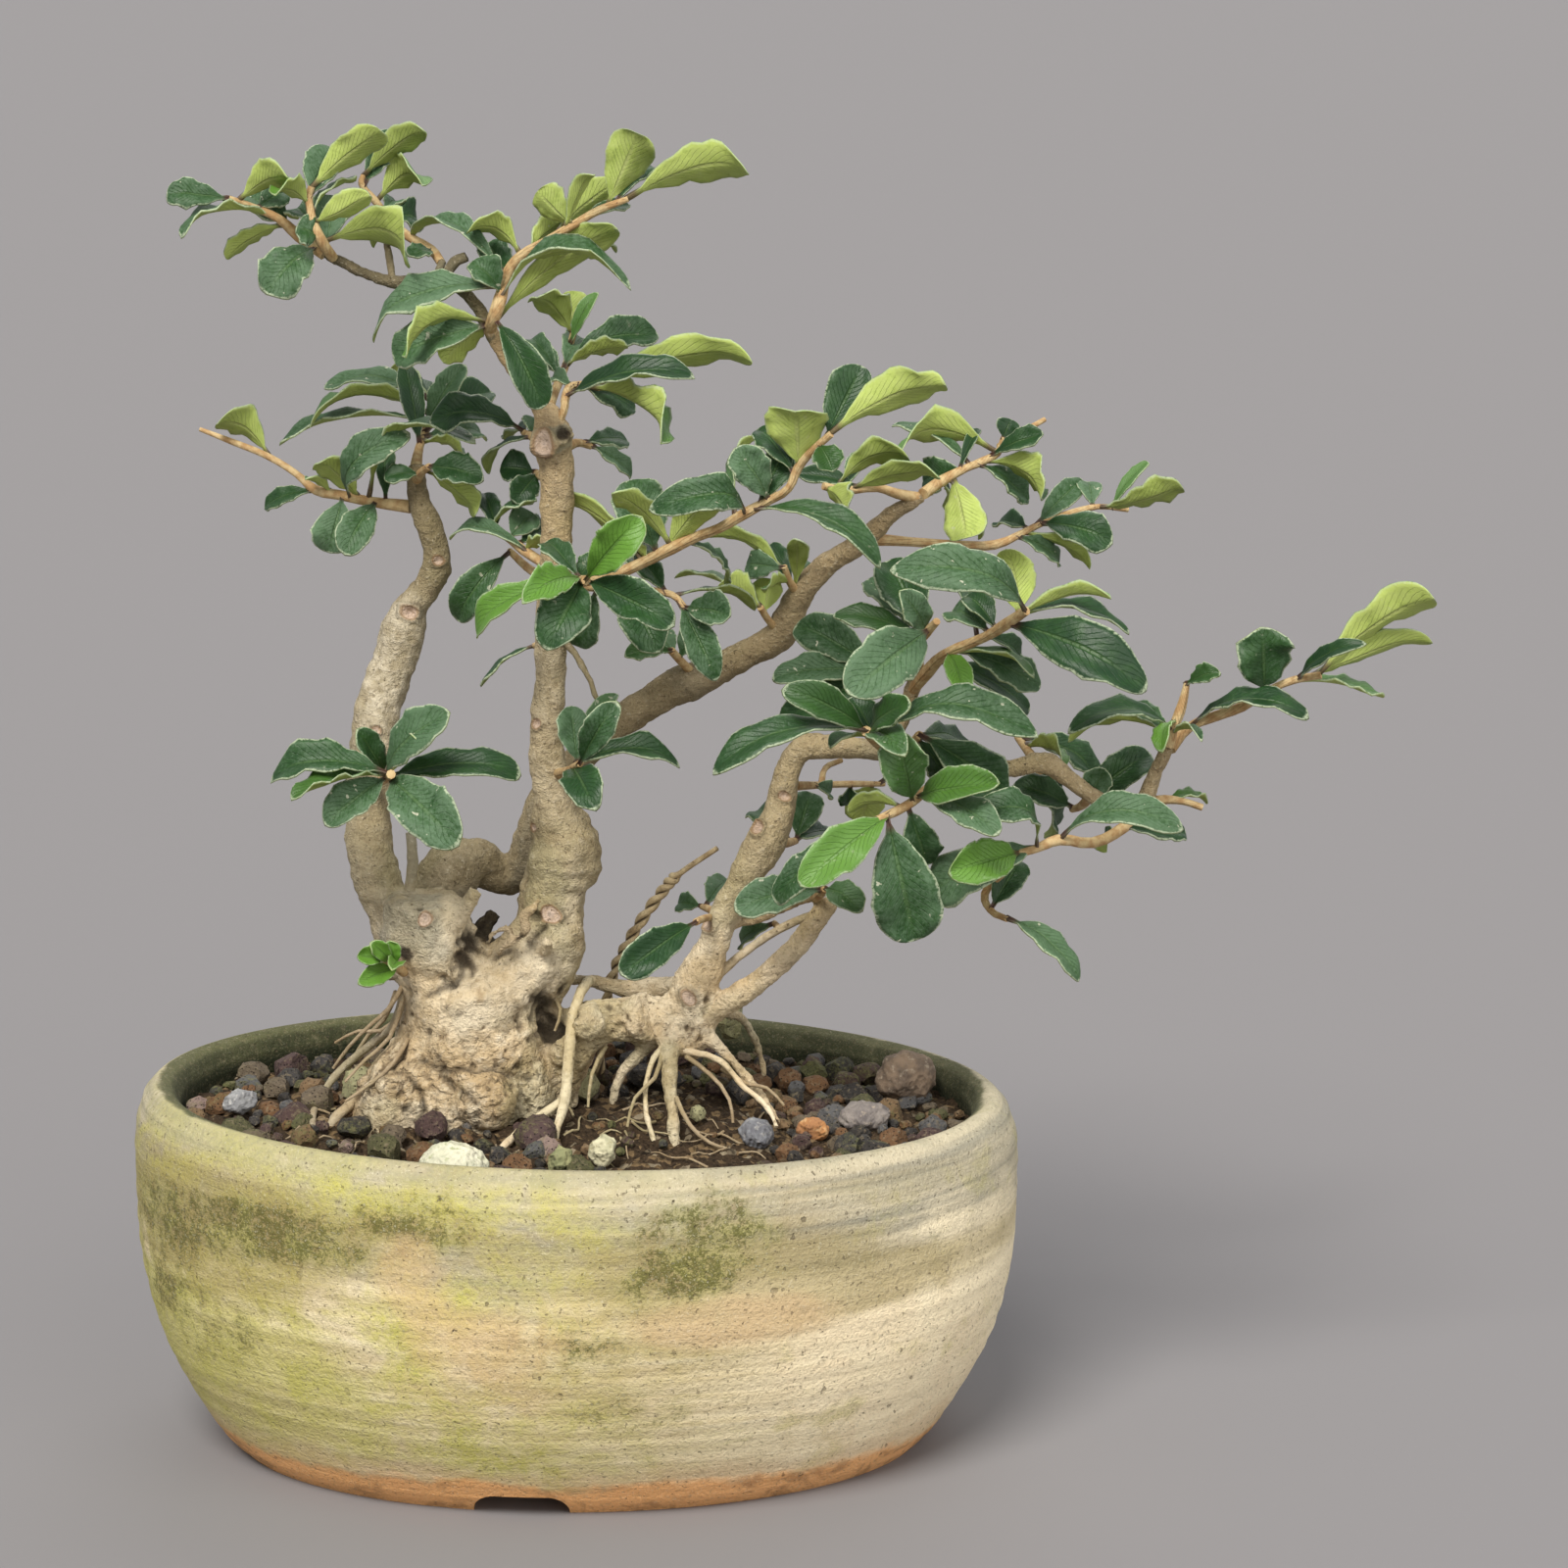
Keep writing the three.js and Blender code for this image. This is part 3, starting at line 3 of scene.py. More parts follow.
import math
import random
from contextlib import contextmanager

import bmesh
import bpy
import numpy as np
from bpy.props import (
    FloatProperty,
    FloatVectorProperty,
    IntProperty,
    PointerProperty,
)
from mathutils import Matrix, Vector, noise
from mathutils.kdtree import KDTree


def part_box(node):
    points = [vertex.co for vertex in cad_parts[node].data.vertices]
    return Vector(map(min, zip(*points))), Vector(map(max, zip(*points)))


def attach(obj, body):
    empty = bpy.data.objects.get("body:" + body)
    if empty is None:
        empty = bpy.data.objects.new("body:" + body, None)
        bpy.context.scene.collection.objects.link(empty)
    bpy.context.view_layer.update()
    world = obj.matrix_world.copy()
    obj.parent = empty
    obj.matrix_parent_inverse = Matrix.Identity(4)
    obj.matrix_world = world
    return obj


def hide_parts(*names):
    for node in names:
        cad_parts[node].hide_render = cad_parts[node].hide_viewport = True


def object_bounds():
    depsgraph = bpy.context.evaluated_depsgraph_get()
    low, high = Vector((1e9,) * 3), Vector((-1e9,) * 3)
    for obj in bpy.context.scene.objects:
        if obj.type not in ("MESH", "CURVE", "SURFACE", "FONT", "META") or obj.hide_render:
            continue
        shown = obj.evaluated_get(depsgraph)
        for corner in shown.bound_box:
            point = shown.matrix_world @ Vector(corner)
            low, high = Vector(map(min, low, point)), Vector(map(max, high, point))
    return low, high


bl_info = {
    "name": "Privet Bonsai",
    "version": (1, 0, 0),
    "blender": (4, 5, 0),
    "location": "View3D > Sidebar > Bonsai",
    "description": "Builds a wild privet bonsai in its oval clay pot",
    "category": "Add Mesh",
}

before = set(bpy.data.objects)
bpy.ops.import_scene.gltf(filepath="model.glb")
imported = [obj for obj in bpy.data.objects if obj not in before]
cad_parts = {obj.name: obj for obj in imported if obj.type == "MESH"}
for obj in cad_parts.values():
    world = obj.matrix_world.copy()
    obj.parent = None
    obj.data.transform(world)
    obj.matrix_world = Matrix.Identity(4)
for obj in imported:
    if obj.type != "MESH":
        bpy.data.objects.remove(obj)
CAD_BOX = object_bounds()

MM = 0.001
CENTRE_X = 41  # the model's middle, in millimetres of the pot's own frame
EYE = (42.6, -870, 312)  # where the viewer stands, in the pot's own millimetres
EYE_PLACE = Vector(((EYE[0] - CENTRE_X) * MM, EYE[1] * MM, EYE[2] * MM))
TILT = math.radians(11.4)  # how far down the viewer looks
SIGHT = 4500  # so many mm off, a millimetre looks one unit wide
FRAME_WIDE = 1600  # the front view's width in units
MIDDLE = FRAME_WIDE / 2
SENSOR = 36

# The pot, in millimetres
POT_HEIGHT = 74
RIM_FALL = 0.024  # the rim stands higher at the left, in mm for each mm along X
OVAL = 22.6  # half the depth is this much less than half the width
FLOOR_TOP = 10.5
RECESS = 4.5  # how far the underside stands up inside the foot ring
FOOT_INNER = 62
NOTCH_X, NOTCH_WIDE, NOTCH_HIGH = -9, 22, 4.5
DRAIN_X, DRAIN_WIDE = 30, 12
SCREEN_SIDE = 24
GAP = 0.3  # between pieces that touch
ROUND = 180  # points round the pot
# Half widths along X of the wall, each with its height
WALL_OUTSIDE = [
    (70.3, 0), (75, 5), (81.6, 16), (86.4, 27), (89.4, 40), (90, 52), (89.8, 65), (88.2, 71.5),
]
WALL_RIM = [(85.5, POT_HEIGHT), (82.3, 73.2)]
WALL_INSIDE = [(80.6, 70.5), (81, 55), (78, 30), (70, 14), (60, FLOOR_TOP)]
BRIM = WALL_INSIDE[0][0]

# The filling, in millimetres
SOIL_LEVEL = 67
GRAIN_STEP = 26
GRAIN_SMALL, GRAIN_LARGE = 2.8, 4.4

# Leaves, in millimetres
STALK_SUNK = 0.35  # a leaf's stalk starts this far past the middle of its twig
TIP_ROOM = 0.4  # the last leaf springs this far before the twig's end
LEAF_SPACE = 1.4  # from one leaf's stalk to the next along a twig
SMALL_LEAF = 10.5  # a leaf narrower than this waves less
CUP = 26  # each half of a blade rises from the rib by about this angle, in degrees

# Limbs and roots: spots along each as seen from the front (u, v, depth in mm), with the width seen there
LIMBS = {
    "base": [(468, 1172, 2, 178), (466, 1135, 0, 176), (476, 1088, 0, 158), (486, 1042, 0, 154),
        (482, 1002, 0, 150), (478, 985, 0, 110)],
    "flareLeft": [(432, 1075, -6, 60), (404, 1112, -9, 72), (398, 1150, -8, 80), (396, 1172, -8, 76)],
    "flareRight": [(520, 1075, -4, 66), (536, 1112, -5, 62), (536, 1150, -4, 58)],
    "lobe": [(470, 1012, 0, 120), (450, 975, -2, 98), (437, 945, -3, 90), (434, 920, -3, 84),
        (434, 912, -3, 56)],
    "leftStem": [(428, 985, 0, 74), (402, 932, 3, 56), (380, 885, 6, 50), (375, 840, 10, 46),
        (378, 780, 14, 44), (384, 726, 18, 45), (401, 680, 21, 45), (413, 640, 22, 46), (419, 622, 22, 36),
        (435, 599, 23, 30), (446, 572, 23, 30), (440, 540, 23, 27), (427, 508, 24, 24), (424, 474, 24, 20)],
    "rightLimb": [(500, 1035, 0, 120), (530, 1002, -1, 100), (556, 962, -1, 82), (562, 935, 0, 68),
        (566, 905, 0, 66), (574, 880, 0, 76), (577, 862, 0, 74), (568, 833, 0, 54), (564, 810, 0, 42),
        (558, 775, 0, 36), (558, 740, 0, 34), (561, 690, 0, 33), (563, 630, 0, 33), (568, 560, 0, 33),
        (568, 500, 0, 35), (566, 462, 0, 38), (562, 440, -1, 40), (558, 426, -1, 32), (548, 412, -1, 19),
        (522, 374, -2, 18), (500, 338, -3, 17)],
    "thirdStem": [(436, 935, 9, 58), (464, 888, 12, 62), (490, 880, 14, 48), (508, 896, 15, 36),
        (526, 890, 15, 36), (541, 860, 15, 38), (553, 825, 16, 36), (575, 790, 18, 34), (605, 760, 20, 32),
        (640, 732, 22, 34), (680, 706, 25, 36), (718, 690, 27, 36), (761, 667, 28, 32), (794, 648, 28, 32),
        (804, 630, 28, 34), (816, 606, 27, 26), (844, 576, 26, 24), (870, 560, 25, 22), (892, 541, 24, 20),
        (918, 519, 22, 18), (942, 506, 22, 14)],
    "topLeft": [(502, 344, -3, 15), (487, 312, -3, 14), (462, 291, -1, 14), (432, 287, 0, 14),
        (405, 288, 1, 15), (375, 280, 2, 13), (350, 268, 3, 12), (330, 260, 3, 10)],
    "topLeftTwiglet": [(400, 284, 1, 8), (396, 256, 3, 8), (392, 238, 4, 6)],
    "topLeftStub": [(452, 288, 0, 12), (464, 268, 1, 12), (476, 262, 1, 10)],
    "topLeftRise": [(446, 288, 0, 9), (448, 276, 3, 9), (451, 268, 6, 8)],
    "rightStem": [(688, 1066, 0, 56), (703, 1045, 0, 58), (706, 1019, 0, 50), (716, 990, 0, 42),
        (729, 963, 0, 34), (738, 935, 0, 30), (749, 912, 0, 28), (765, 885, 0, 34), (780, 860, 1, 44),
        (792, 835, 2, 34), (798, 812, 3, 30), (806, 785, 3, 28), (820, 764, 3, 28), (840, 762, 2, 26),
        (870, 763, 0, 24), (905, 768, -1, 22), (950, 778, -2, 20), (1000, 785, -2, 20), (1035, 783, -3, 20),
        (1068, 780, -3, 23), (1090, 795, -4, 20), (1115, 812, -5, 18), (1140, 827, -6, 17),
        (1163, 822, -7, 17), (1178, 790, -7, 17), (1192, 762, -7, 16)],
    "rightRise": [(902, 768, -1, 18), (918, 740, 0, 16), (928, 712, 1, 16), (937, 688, 0, 18),
        (938, 680, 0, 14)],
    "lowBranch": [(716, 1038, 0, 30), (745, 1022, -2, 26), (777, 999, -3, 24), (815, 963, -3, 24),
        (836, 935, -3, 22), (850, 920, -3, 18)],
    "lowUpper": [(735, 945, 1, 14), (765, 939, 2, 12), (795, 928, 2, 13), (822, 917, 0, 12),
        (834, 914, -2, 9)],
    "lowMiddle": [(718, 1008, 0, 11), (762, 970, 3, 9), (796, 948, 2, 9), (838, 930, -2, 9)],
    "peg": [(458, 948, -6, 22), (474, 930, -8, 20), (486, 908, -9, 15)],
    "ledge": [(506, 990, -6, 18), (520, 956, -5, 16), (536, 940, -5, 15), (548, 925, -6, 13)],
    "deadTwig": [(418, 908, 0, 12), (421, 880, -2, 12), (419, 850, -2, 11)],
    "hangTwig": [(572, 650, -1, 7), (590, 672, -5, 7), (600, 690, -6, 6), (609, 713, -7, 5)],
    "rootLeftThin": [(412, 1010, -4, 8), (404, 1040, -6, 8), (383, 1062, 1, 9), (345, 1095, 4, 8),
        (328, 1118, 1, 8), (318, 1158, -19, 7), (316, 1172, -20, 6)],
    "rootLeftThick": [(416, 1045, -6, 13), (396, 1090, -6, 12), (370, 1118, -8, 12), (345, 1138, -12, 11),
        (334, 1156, -13, 9)],
    "rootHanging": [(604, 1000, 7, 10), (598, 1004, 2, 11), (590, 1020, -4, 11), (583, 1048, -8, 12),
        (580, 1085, -11, 12), (577, 1118, -14, 12), (566, 1160, -22, 8), (564, 1172, -23, 7)],
    "rootForward": [(576, 1122, -14, 9), (535, 1150, -20, 9), (508, 1176, -27, 7)],
    "rootThick": [(704, 1040, 0, 54), (660, 1041, 0, 48), (622, 1041, -2, 44), (592, 1052, -2, 52),
        (576, 1082, -1, 52), (572, 1112, 0, 46), (570, 1130, 0, 40)],
    "rootBack": [(560, 1000, 4, 14), (596, 1000, 7, 13), (640, 1008, 9, 20), (680, 1008, 8, 24),
        (706, 1006, 3, 22)],
    "rootDown": [(682, 1058, -4, 22), (682, 1085, -8, 18), (684, 1115, -12, 16), (688, 1152, -17, 15),
        (690, 1182, -20, 12)],
    "rootDownLeft": [(668, 1060, -2, 18), (650, 1078, -2, 14), (632, 1100, -2, 12), (624, 1128, -3, 9)],
    "rootDownRight": [(716, 1050, -2, 18), (740, 1075, -3, 12), (762, 1100, -4, 11), (786, 1130, -7, 8),
        (796, 1146, -9, 6)],
    "rootPale": [(698, 1072, -5, 8), (735, 1083, -7, 7), (758, 1108, -9, 6), (775, 1122, -12, 6),
        (788, 1138, -15, 5), (792, 1150, -17, 5)],
    "rootBackRight": [(716, 1032, 1, 14), (752, 1036, 7, 11), (768, 1056, 12, 10), (777, 1080, 14, 9),
        (780, 1100, 14, 8)],
    "rootThread": [(690, 1054, -2, 7), (676, 1068, -6, 6), (663, 1090, -10, 6), (659, 1130, -14, 5),
        (666, 1160, -18, 5), (676, 1188, -22, 5)],
}

# Every leafy shoot has twigs: two radii in mm, the spots along it, and its leaves. A leaf has its base u
# and v, the spot of its tip, its width in mm, its facing in degrees, how young it is, from 0 to 1, and its
# arch. Left out at the end, the last two are 0 and 0.1.
SHOOTS = {
    "shoot_top_left_outer": [
        ((1.5, .8), [(331, 260, 4), (305, 241, 6), (284, 223, 4), (262, 213, 3), (233, 203, 0)], [
            (234, 204, 170, 197, -2, 7, 50, 0, .05), (284, 222, 183, 230, -6, 9, -15, .2, .12),
            (290, 230, 230, 263, 6, 6, -40, .5), (240, 202, 293, 182, -6, 9, -50, .7, .2),
            (290, 223, 245, 198, 12, 9, 40), (262, 213, 294, 195, 8, 6, 60),
            (322, 254, 272, 300, -6, 12, 55, .1, .18),
        ]),
    ],
    "shoot_top_left_upright": [
        ((1.3, .8), [(340, 263, 1), (328, 246, -4), (320, 228, -4), (316, 210, -3), (315, 200, -2),
            (318, 190, -2)], [
            (318, 190, 390, 132, -5, 9, -60, .7, .15), (318, 192, 338, 147, 8, 9, 70, .1),
            (314, 203, 281, 196, -8, 9, -50, .8, .25), (316, 198, 362, 182, 8, 6, -40, .4),
            (318, 200, 378, 197, -8, 8, -60, .5, -.1), (316, 206, 300, 214, 10, 7, 60),
            (318, 218, 303, 232, -6, 8, 60), (324, 248, 416, 258, -10, 14, -60, .8, .35),
            (322, 240, 343, 200, 8, 9, 60),
        ]),
    ],
    "shoot_top_left_inner": [
        ((1.2, .7), [(450, 268, 6), (440, 255, 10), (415, 240, 12), (396, 222, 14), (383, 205, 14),
            (369, 187, 14), (371, 178, 14)], [
            (371, 179, 433, 132, 5, 7, -55, .6), (371, 180, 403, 135, 20, 8, 60, .2),
            (385, 206, 432, 184, 8, 12, -50, .7, .35), (384, 206, 406, 206, 20, 6, 50, .1),
            (396, 222, 427, 224, 20, 8, 60), (442, 257, 417, 262, 4, 6, 40, .1),
            (410, 238, 380, 249, 19, 4, 20, .1),
        ]),
    ],
    "shoot_crown_tip": [
        ((1.7, .8), [(500, 336, -3), (504, 324, -8), (510, 306, -8), (514, 292, -6), (519, 276, -5),
            (531, 262, -5), (557, 246, -6), (586, 229, -6), (612, 214, -6), (641, 203, -6)], [
            (500, 331, 400, 365, -4, 11, 55, .3), (501, 330, 415, 366, -19, 9, -45, .9, .25),
            (504, 325, 553, 418, -12, 9, 60, .3, .2), (500, 330, 452, 368, -3, 9, -50, .5),
            (513, 294, 374, 337, 0, 11, 35, 0, .15), (513, 292, 480, 268, -8, 8, 45, .3, .2),
            (511, 312, 640, 282, -14, 11, 10, .2, .3), (519, 276, 497, 244, 2, 8, 60, 0, -.2),
            (517, 280, 421, 240, 13, 8, 35, 0, .25), (531, 261, 478, 235, -8, 9, -50, .6, .35),
            (540, 256, 580, 224, 2, 8, -60, .4), (545, 253, 592, 256, -11, 6, -60, .7),
            (557, 247, 613, 258, 0, 6, -50, .5), (562, 243, 630, 250, 13, 5, 40, .1),
            (585, 229, 549, 194, -6, 8, -60, .6, -.1), (586, 229, 602, 173, -12, 4, 0, .6, .05),
            (588, 228, 632, 184, 4, 8, -60, .4), (590, 226, 630, 234, -12, 8, -60, .6, .2),
            (641, 203, 764, 165, -14, 10, -55, .8, .12), (641, 203, 668, 166, 4, 5, 30),
            (639, 203, 652, 135, -8, 13, -80, .7, .05), (592, 226, 641, 213, 6, 4, 40, .3),
        ]),
    ],
    "shoot_crown_back": [
        ((1.2, .8), [(558, 434, 2), (563, 410, 11), (570, 390, 19), (578, 370, 28), (583, 348, 32),
            (588, 330, 32)], [
            (584, 342, 548, 304, 25, 10, -60, .4, .2), (587, 334, 578, 298, 37, 9, -80, .4),
            (579, 367, 672, 345, 33, 9, 45, 0, .2), (576, 374, 640, 356, 21, 6, -30, .4),
            (573, 384, 545, 366, 34, 7, 50, .1), (574, 380, 602, 352, 43, 8, 20, .1, .15),
            (588, 331, 608, 298, 31, 4, 40, .6), (580, 362, 538, 343, 32, 5, 40),
        ]),
    ],
    "shoot_crown_right": [
        ((1.1, .8), [(566, 438, -2), (575, 420, -2), (577, 406, 2), (585, 393, 6), (612, 396, 5)], [
            (612, 396, 767, 358, 2, 10, -60, .7, .12), (573, 404, 704, 378, -7, 10, 40, 0, .12),
            (610, 396, 682, 446, -14, 13, -50, .6), (600, 395, 648, 418, 12, 8, 50),
            (582, 394, 560, 386, 12, 5, 40, .1),
        ]),
    ],
    "shoot_left_high": [
        ((1.4, .8), [(424, 478, 25), (428, 456, 34), (438, 428, 43), (441, 408, 46)], [
            (439, 424, 315, 424, 34, 9, -30, .5, .18), (436, 432, 285, 453, 39, 8, -5, .1, .12),
            (441, 408, 331, 398, 48, 9, 30, .1, .2), (441, 409, 474, 372, 40, 8, 50, .2),
            (440, 412, 400, 377, 56, 8, -35, .3, .15), (439, 420, 502, 398, 51, 9, 50, .1),
            (436, 438, 492, 442, 49, 9, 50, .1), (433, 448, 474, 462, 31, 6, -30, .4),
            (440, 414, 412, 370, 41, 6, 40, .2),
        ]),
    ],
    "shoot_left_reach": [
        ((1.5, .6), [(419, 517, 25), (379, 512, 27), (346, 505, 28), (322, 500, 30), (303, 484, 31),
            (272, 465, 33), (240, 452, 34), (204, 438, 36)], [
            (274, 467, 222, 431, 29, 9, -55, .6, .3), (350, 506, 337, 563, 23, 11, 60),
            (384, 513, 352, 562, 15, 8, 50, .1), (345, 504, 414, 441, 20, 9, 50, 0, .35),
            (344, 503, 325, 470, 20, 8, -50, .5), (377, 512, 482, 447, 14, 10, 10, .1, .3),
            (322, 501, 269, 518, 35, 5, 50, .1), (370, 511, 390, 450, 34, 6, 50, .1),
            (338, 503, 312, 489, 24, 4, -40, .5),
        ]),
    ],
    "shoot_left_top": [
        ((1.2, .9), [(424, 492, 24), (430, 482, 18), (438, 476, 14)], [
            (437, 477, 492, 488, 9, 9, 60, .2), (436, 478, 488, 524, 13, 9, -60, .5),
            (428, 484, 392, 488, 18, 5, 40, .2),
        ]),
    ],
    "shoot_knob": [
        ((1.3, .9), [(556, 452, 4), (544, 446, 12), (534, 441, 18)], [
            (535, 441, 438, 430, 16, 11, 45, 0, .22), (538, 443, 520, 450, 29, 6, 40),
            (540, 444, 548, 426, 22, 6, 50), (536, 442, 493, 474, 23, 5, 30),
        ]),
    ],
    "shoot_stem_upper_left": [
        ((1.1, .9), [(562, 490, 5), (552, 486, 14), (547, 482, 19)], [
            (547, 482, 510, 478, 19, 9, 60, .2), (549, 484, 527, 512, 11, 7, 55),
        ]),
    ],
    "shoot_stem_upper_right": [
        ((1.3, .9), [(567, 459, 0), (580, 455, 6), (592, 452, 12), (603, 455, 14)], [
            (603, 455, 646, 486, 16, 6, 40), (600, 454, 640, 452, 22, 6, 40, .1),
        ]),
    ],
    "shoot_left_middle": [
        ((1.3, .8), [(560, 578, 4), (535, 562, 9), (517, 548, 12), (500, 538, 14)], [
            (501, 537, 549, 514, 10, 7, 10, 0, .15), (503, 538, 494, 503, 20, 6, 30),
            (520, 550, 545, 524, 15, 8, 50, .3), (535, 562, 557, 553, 2, 5, -40, .5),
            (528, 556, 560, 540, 19, 8, 60, .2), (500, 538, 459, 541, 18, 5, 20, .1, .15),
        ]),
    ],
    "shoot_left_droop": [
        ((1.2, .9), [(565, 592, 1), (552, 587, 9), (538, 579, 16), (520, 562, 22)], [
            (520, 562, 465, 632, 18, 9, 60, .3, .25),
        ]),
    ],
    "shoot_stem_narrow": [
        ((1, .8), [(560, 655, 4), (552, 657, 12), (546, 659, 18)], [
            (548, 658, 560, 690, 21, 6, 40, .1), (546, 659, 492, 702, 22, 5, 10, .1),
        ]),
    ],
    "shoot_centre": [
        ((1.3, 1), [(574, 590, -3), (588, 592, -15), (598, 592, -27)], [
            (598, 592, 652, 530, -34, 11, 75, .9), (599, 592, 684, 634, -38, 11, 70, .1),
            (597, 593, 561, 656, -37, 12, 65, .2), (596, 592, 537, 610, -39, 8, 55, .8),
            (590, 591, 480, 643, -13, 7, 40, .9, .12), (592, 590, 556, 552, -10, 7, 40, .1),
            (596, 591, 612, 568, -15, 6, 50, .3),
        ]),
    ],
    "shoot_centre_right": [
        ((1.1, .8), [(578, 598, 3), (612, 600, 1), (650, 603, -2), (686, 607, -6), (700, 622, -9)], [
            (700, 622, 747, 630, -15, 9, 60, .1), (700, 622, 731, 693, -15, 8, 65),
            (688, 608, 771, 614, 0, 7, -8, .3), (680, 606, 642, 566, 4, 7, 40, .2),
            (640, 602, 672, 664, -12, 12, 65, .1), (610, 600, 590, 661, 1, 9, 50),
            (660, 604, 668, 640, 7, 8, 50, .2),
        ]),
    ],
    "shoot_third_low": [
        ((1.5, .9), [(716, 694, 28), (700, 680, 24), (685, 664, 19)], [
            (686, 665, 638, 668, 15, 6, 50, .4), (690, 669, 668, 646, 24, 7, 50, .1),
            (688, 668, 712, 642, 23, 7, 50),
        ]),
    ],
    "shoot_third_mid": [
        ((1.2, .8), [(797, 646, 28), (785, 634, 25), (776, 620, 22)], [
            (776, 620, 733, 596, 22, 8, -40, .6), (778, 622, 786, 590, 24, 8, -60, .6),
            (782, 630, 692, 583, 37, 7, -20, .4),
        ]),
    ],
    "shoot_third_upper": [
        ((1.2, .8), [(815, 606, 27), (806, 594, 24), (800, 578, 22)], [
            (800, 580, 760, 576, 26, 7, 70), (800, 578, 704, 551, 19, 7, -40, .5, .2),
            (802, 584, 782, 602, 19, 6, -40, .6), (804, 588, 832, 576, 40, 7, 40, .1),
            (801, 577, 813, 552, 18, 5, 30), (801, 580, 785, 556, 32, 6, 50),
        ]),
    ],
    "shoot_A": [
        ((1.5, .9), [(580, 594, -1), (630, 585, -7), (660, 572, -9), (686, 559, -11), (710, 548, -11),
            (734, 539, -13), (760, 524, -13), (784, 511, -13), (805, 498, -15), (814, 478, -15),
            (830, 459, -17), (848, 443, -19)], [
            (686, 559, 626, 506, -22, 6, -50, .7, .15), (690, 556, 725, 511, -19, 9, -70, .7),
            (757, 522, 663, 520, -24, 10, 60, 0, .42), (682, 560, 640, 490, -5, 13, 60, .3),
            (655, 573, 556, 501, 5, 8, -50, .7), (686, 560, 640, 555, -9, 5, -40, .6),
            (690, 557, 660, 552, 3, 7, 40), (700, 552, 746, 592, -1, 6, 30, .1),
            (766, 520, 900, 572, -22, 9, 20, .3, .15), (784, 511, 750, 458, -16, 9, 60),
            (784, 511, 803, 458, -8, 8, 60), (784, 511, 766, 446, 0, 7, -40, .4),
            (813, 476, 812, 416, -21, 15, -75, .8, .02), (812, 478, 772, 436, -7, 7, 40, .3),
            (848, 443, 965, 396, -25, 11, -60, .8, .2), (848, 443, 880, 372, -10, 10, 50, .2, -.1),
            (838, 452, 850, 482, -22, 8, 60, .4),
        ]),
    ],
    "shoot_C": [
        ((1.3, .9), [(936, 508, 22), (916, 504, 20), (896, 498, 18), (861, 500, 16), (840, 496, 14)], [
            (853, 499, 926, 464, 12, 8, -45, .6, .25), (868, 500, 959, 484, 6, 8, -50, .7),
            (842, 496, 862, 524, 8, 10, -60, .4), (858, 500, 886, 462, 28, 6, 30, .1),
            (842, 496, 812, 486, 18, 5, 40, .2),
        ]),
    ],
    "shoot_upper_right": [
        ((1.4, .8), [(942, 504, 22), (962, 490, 28), (985, 478, 31), (1002, 471, 34), (1018, 462, 34),
            (1024, 446, 34)], [
            (1018, 463, 914, 456, 26, 11, -50, .8, .25), (1003, 471, 1063, 508, 26, 12, -50, .4, .2),
            (1002, 472, 1046, 514, 40, 8, 40, .1), (1020, 456, 1066, 444, 30, 6, 45, .2),
            (1024, 447, 1032, 428, 35, 6, 60, .3), (985, 478, 944, 492, 38, 9, 60),
            (972, 485, 986, 553, 21, 10, -60, .5), (960, 492, 974, 539, 40, 8, 40, .1),
            (1000, 471, 911, 436, 44, 6, 10, .1, .15), (1023, 450, 1000, 436, 38, 3, 20, .3),
            (990, 477, 1001, 549, 35, 5, 20, .3),
        ]),
        ((.9, .7), [(1020, 456, 34), (1045, 440, 40), (1066, 428, 43)], []),
    ],
    "shoot_far_right_upper": [
        ((1.4, .7), [(880, 552, 25), (895, 551, 27), (930, 553, 29), (975, 556, 34), (1015, 556, 38),
            (1045, 543, 43), (1065, 533, 45), (1095, 523, 47), (1121, 517, 49), (1151, 520, 51)], [
            (1122, 517, 1206, 490, 43, 8, -35, .5, -.1), (1062, 534, 1133, 550, 35, 11, 55),
            (1050, 541, 1017, 534, 52, 7, 40), (1036, 547, 1084, 574, 47, 7, 50, .2),
            (1068, 532, 1104, 490, 55, 6, 50, .1), (1118, 518, 1110, 492, 55, 6, 50),
            (1066, 533, 1114, 576, 43, 5, -40, .6), (1135, 518, 1172, 472, 53, 4, 20, .6),
        ]),
    ],
    "shoot_right_front": [
        ((1.5, 1.2), [(932, 703, 0), (946, 686, -6), (964, 668, -12), (1005, 650, -18), (1028, 636, -23),
            (1047, 623, -27)], [
            (1045, 624, 911, 580, -37, 12, 55, .1, .3), (1048, 623, 1028, 561, -22, 9, -60, .8, .3),
            (1047, 623, 1133, 606, -29, 6, -20, .7), (1040, 628, 1168, 698, -38, 13, 60, 0, .12),
            (1044, 625, 1152, 650, -21, 7, 10, .1, .2), (1036, 631, 985, 606, -15, 7, 40, .3),
            (1030, 635, 970, 622, -9, 9, 50, .1), (1012, 646, 1042, 674, -11, 6, 40, .1),
            (1000, 652, 978, 585, 14, 6, 60), (968, 667, 986, 712, -25, 6, 70, .8),
            (975, 664, 1060, 703, -10, 8, 50, .3), (980, 662, 1055, 680, -21, 5, 10, .5),
            (970, 666, 1049, 727, -1, 8, 45, .2),
        ]),
    ],
    "shoot_mid_right": [
        ((1.4, 1), [(938, 684, 0), (936, 662, -4), (946, 645, -16), (956, 634, -20)], [
            (948, 643, 864, 710, -32, 14, 65, .1, .15), (950, 640, 918, 603, -21, 8, 60),
            (940, 652, 851, 626, -11, 6, 40, .4), (945, 646, 905, 570, -4, 14, 60),
            (942, 650, 886, 596, 4, 9, 40),
        ]),
    ],
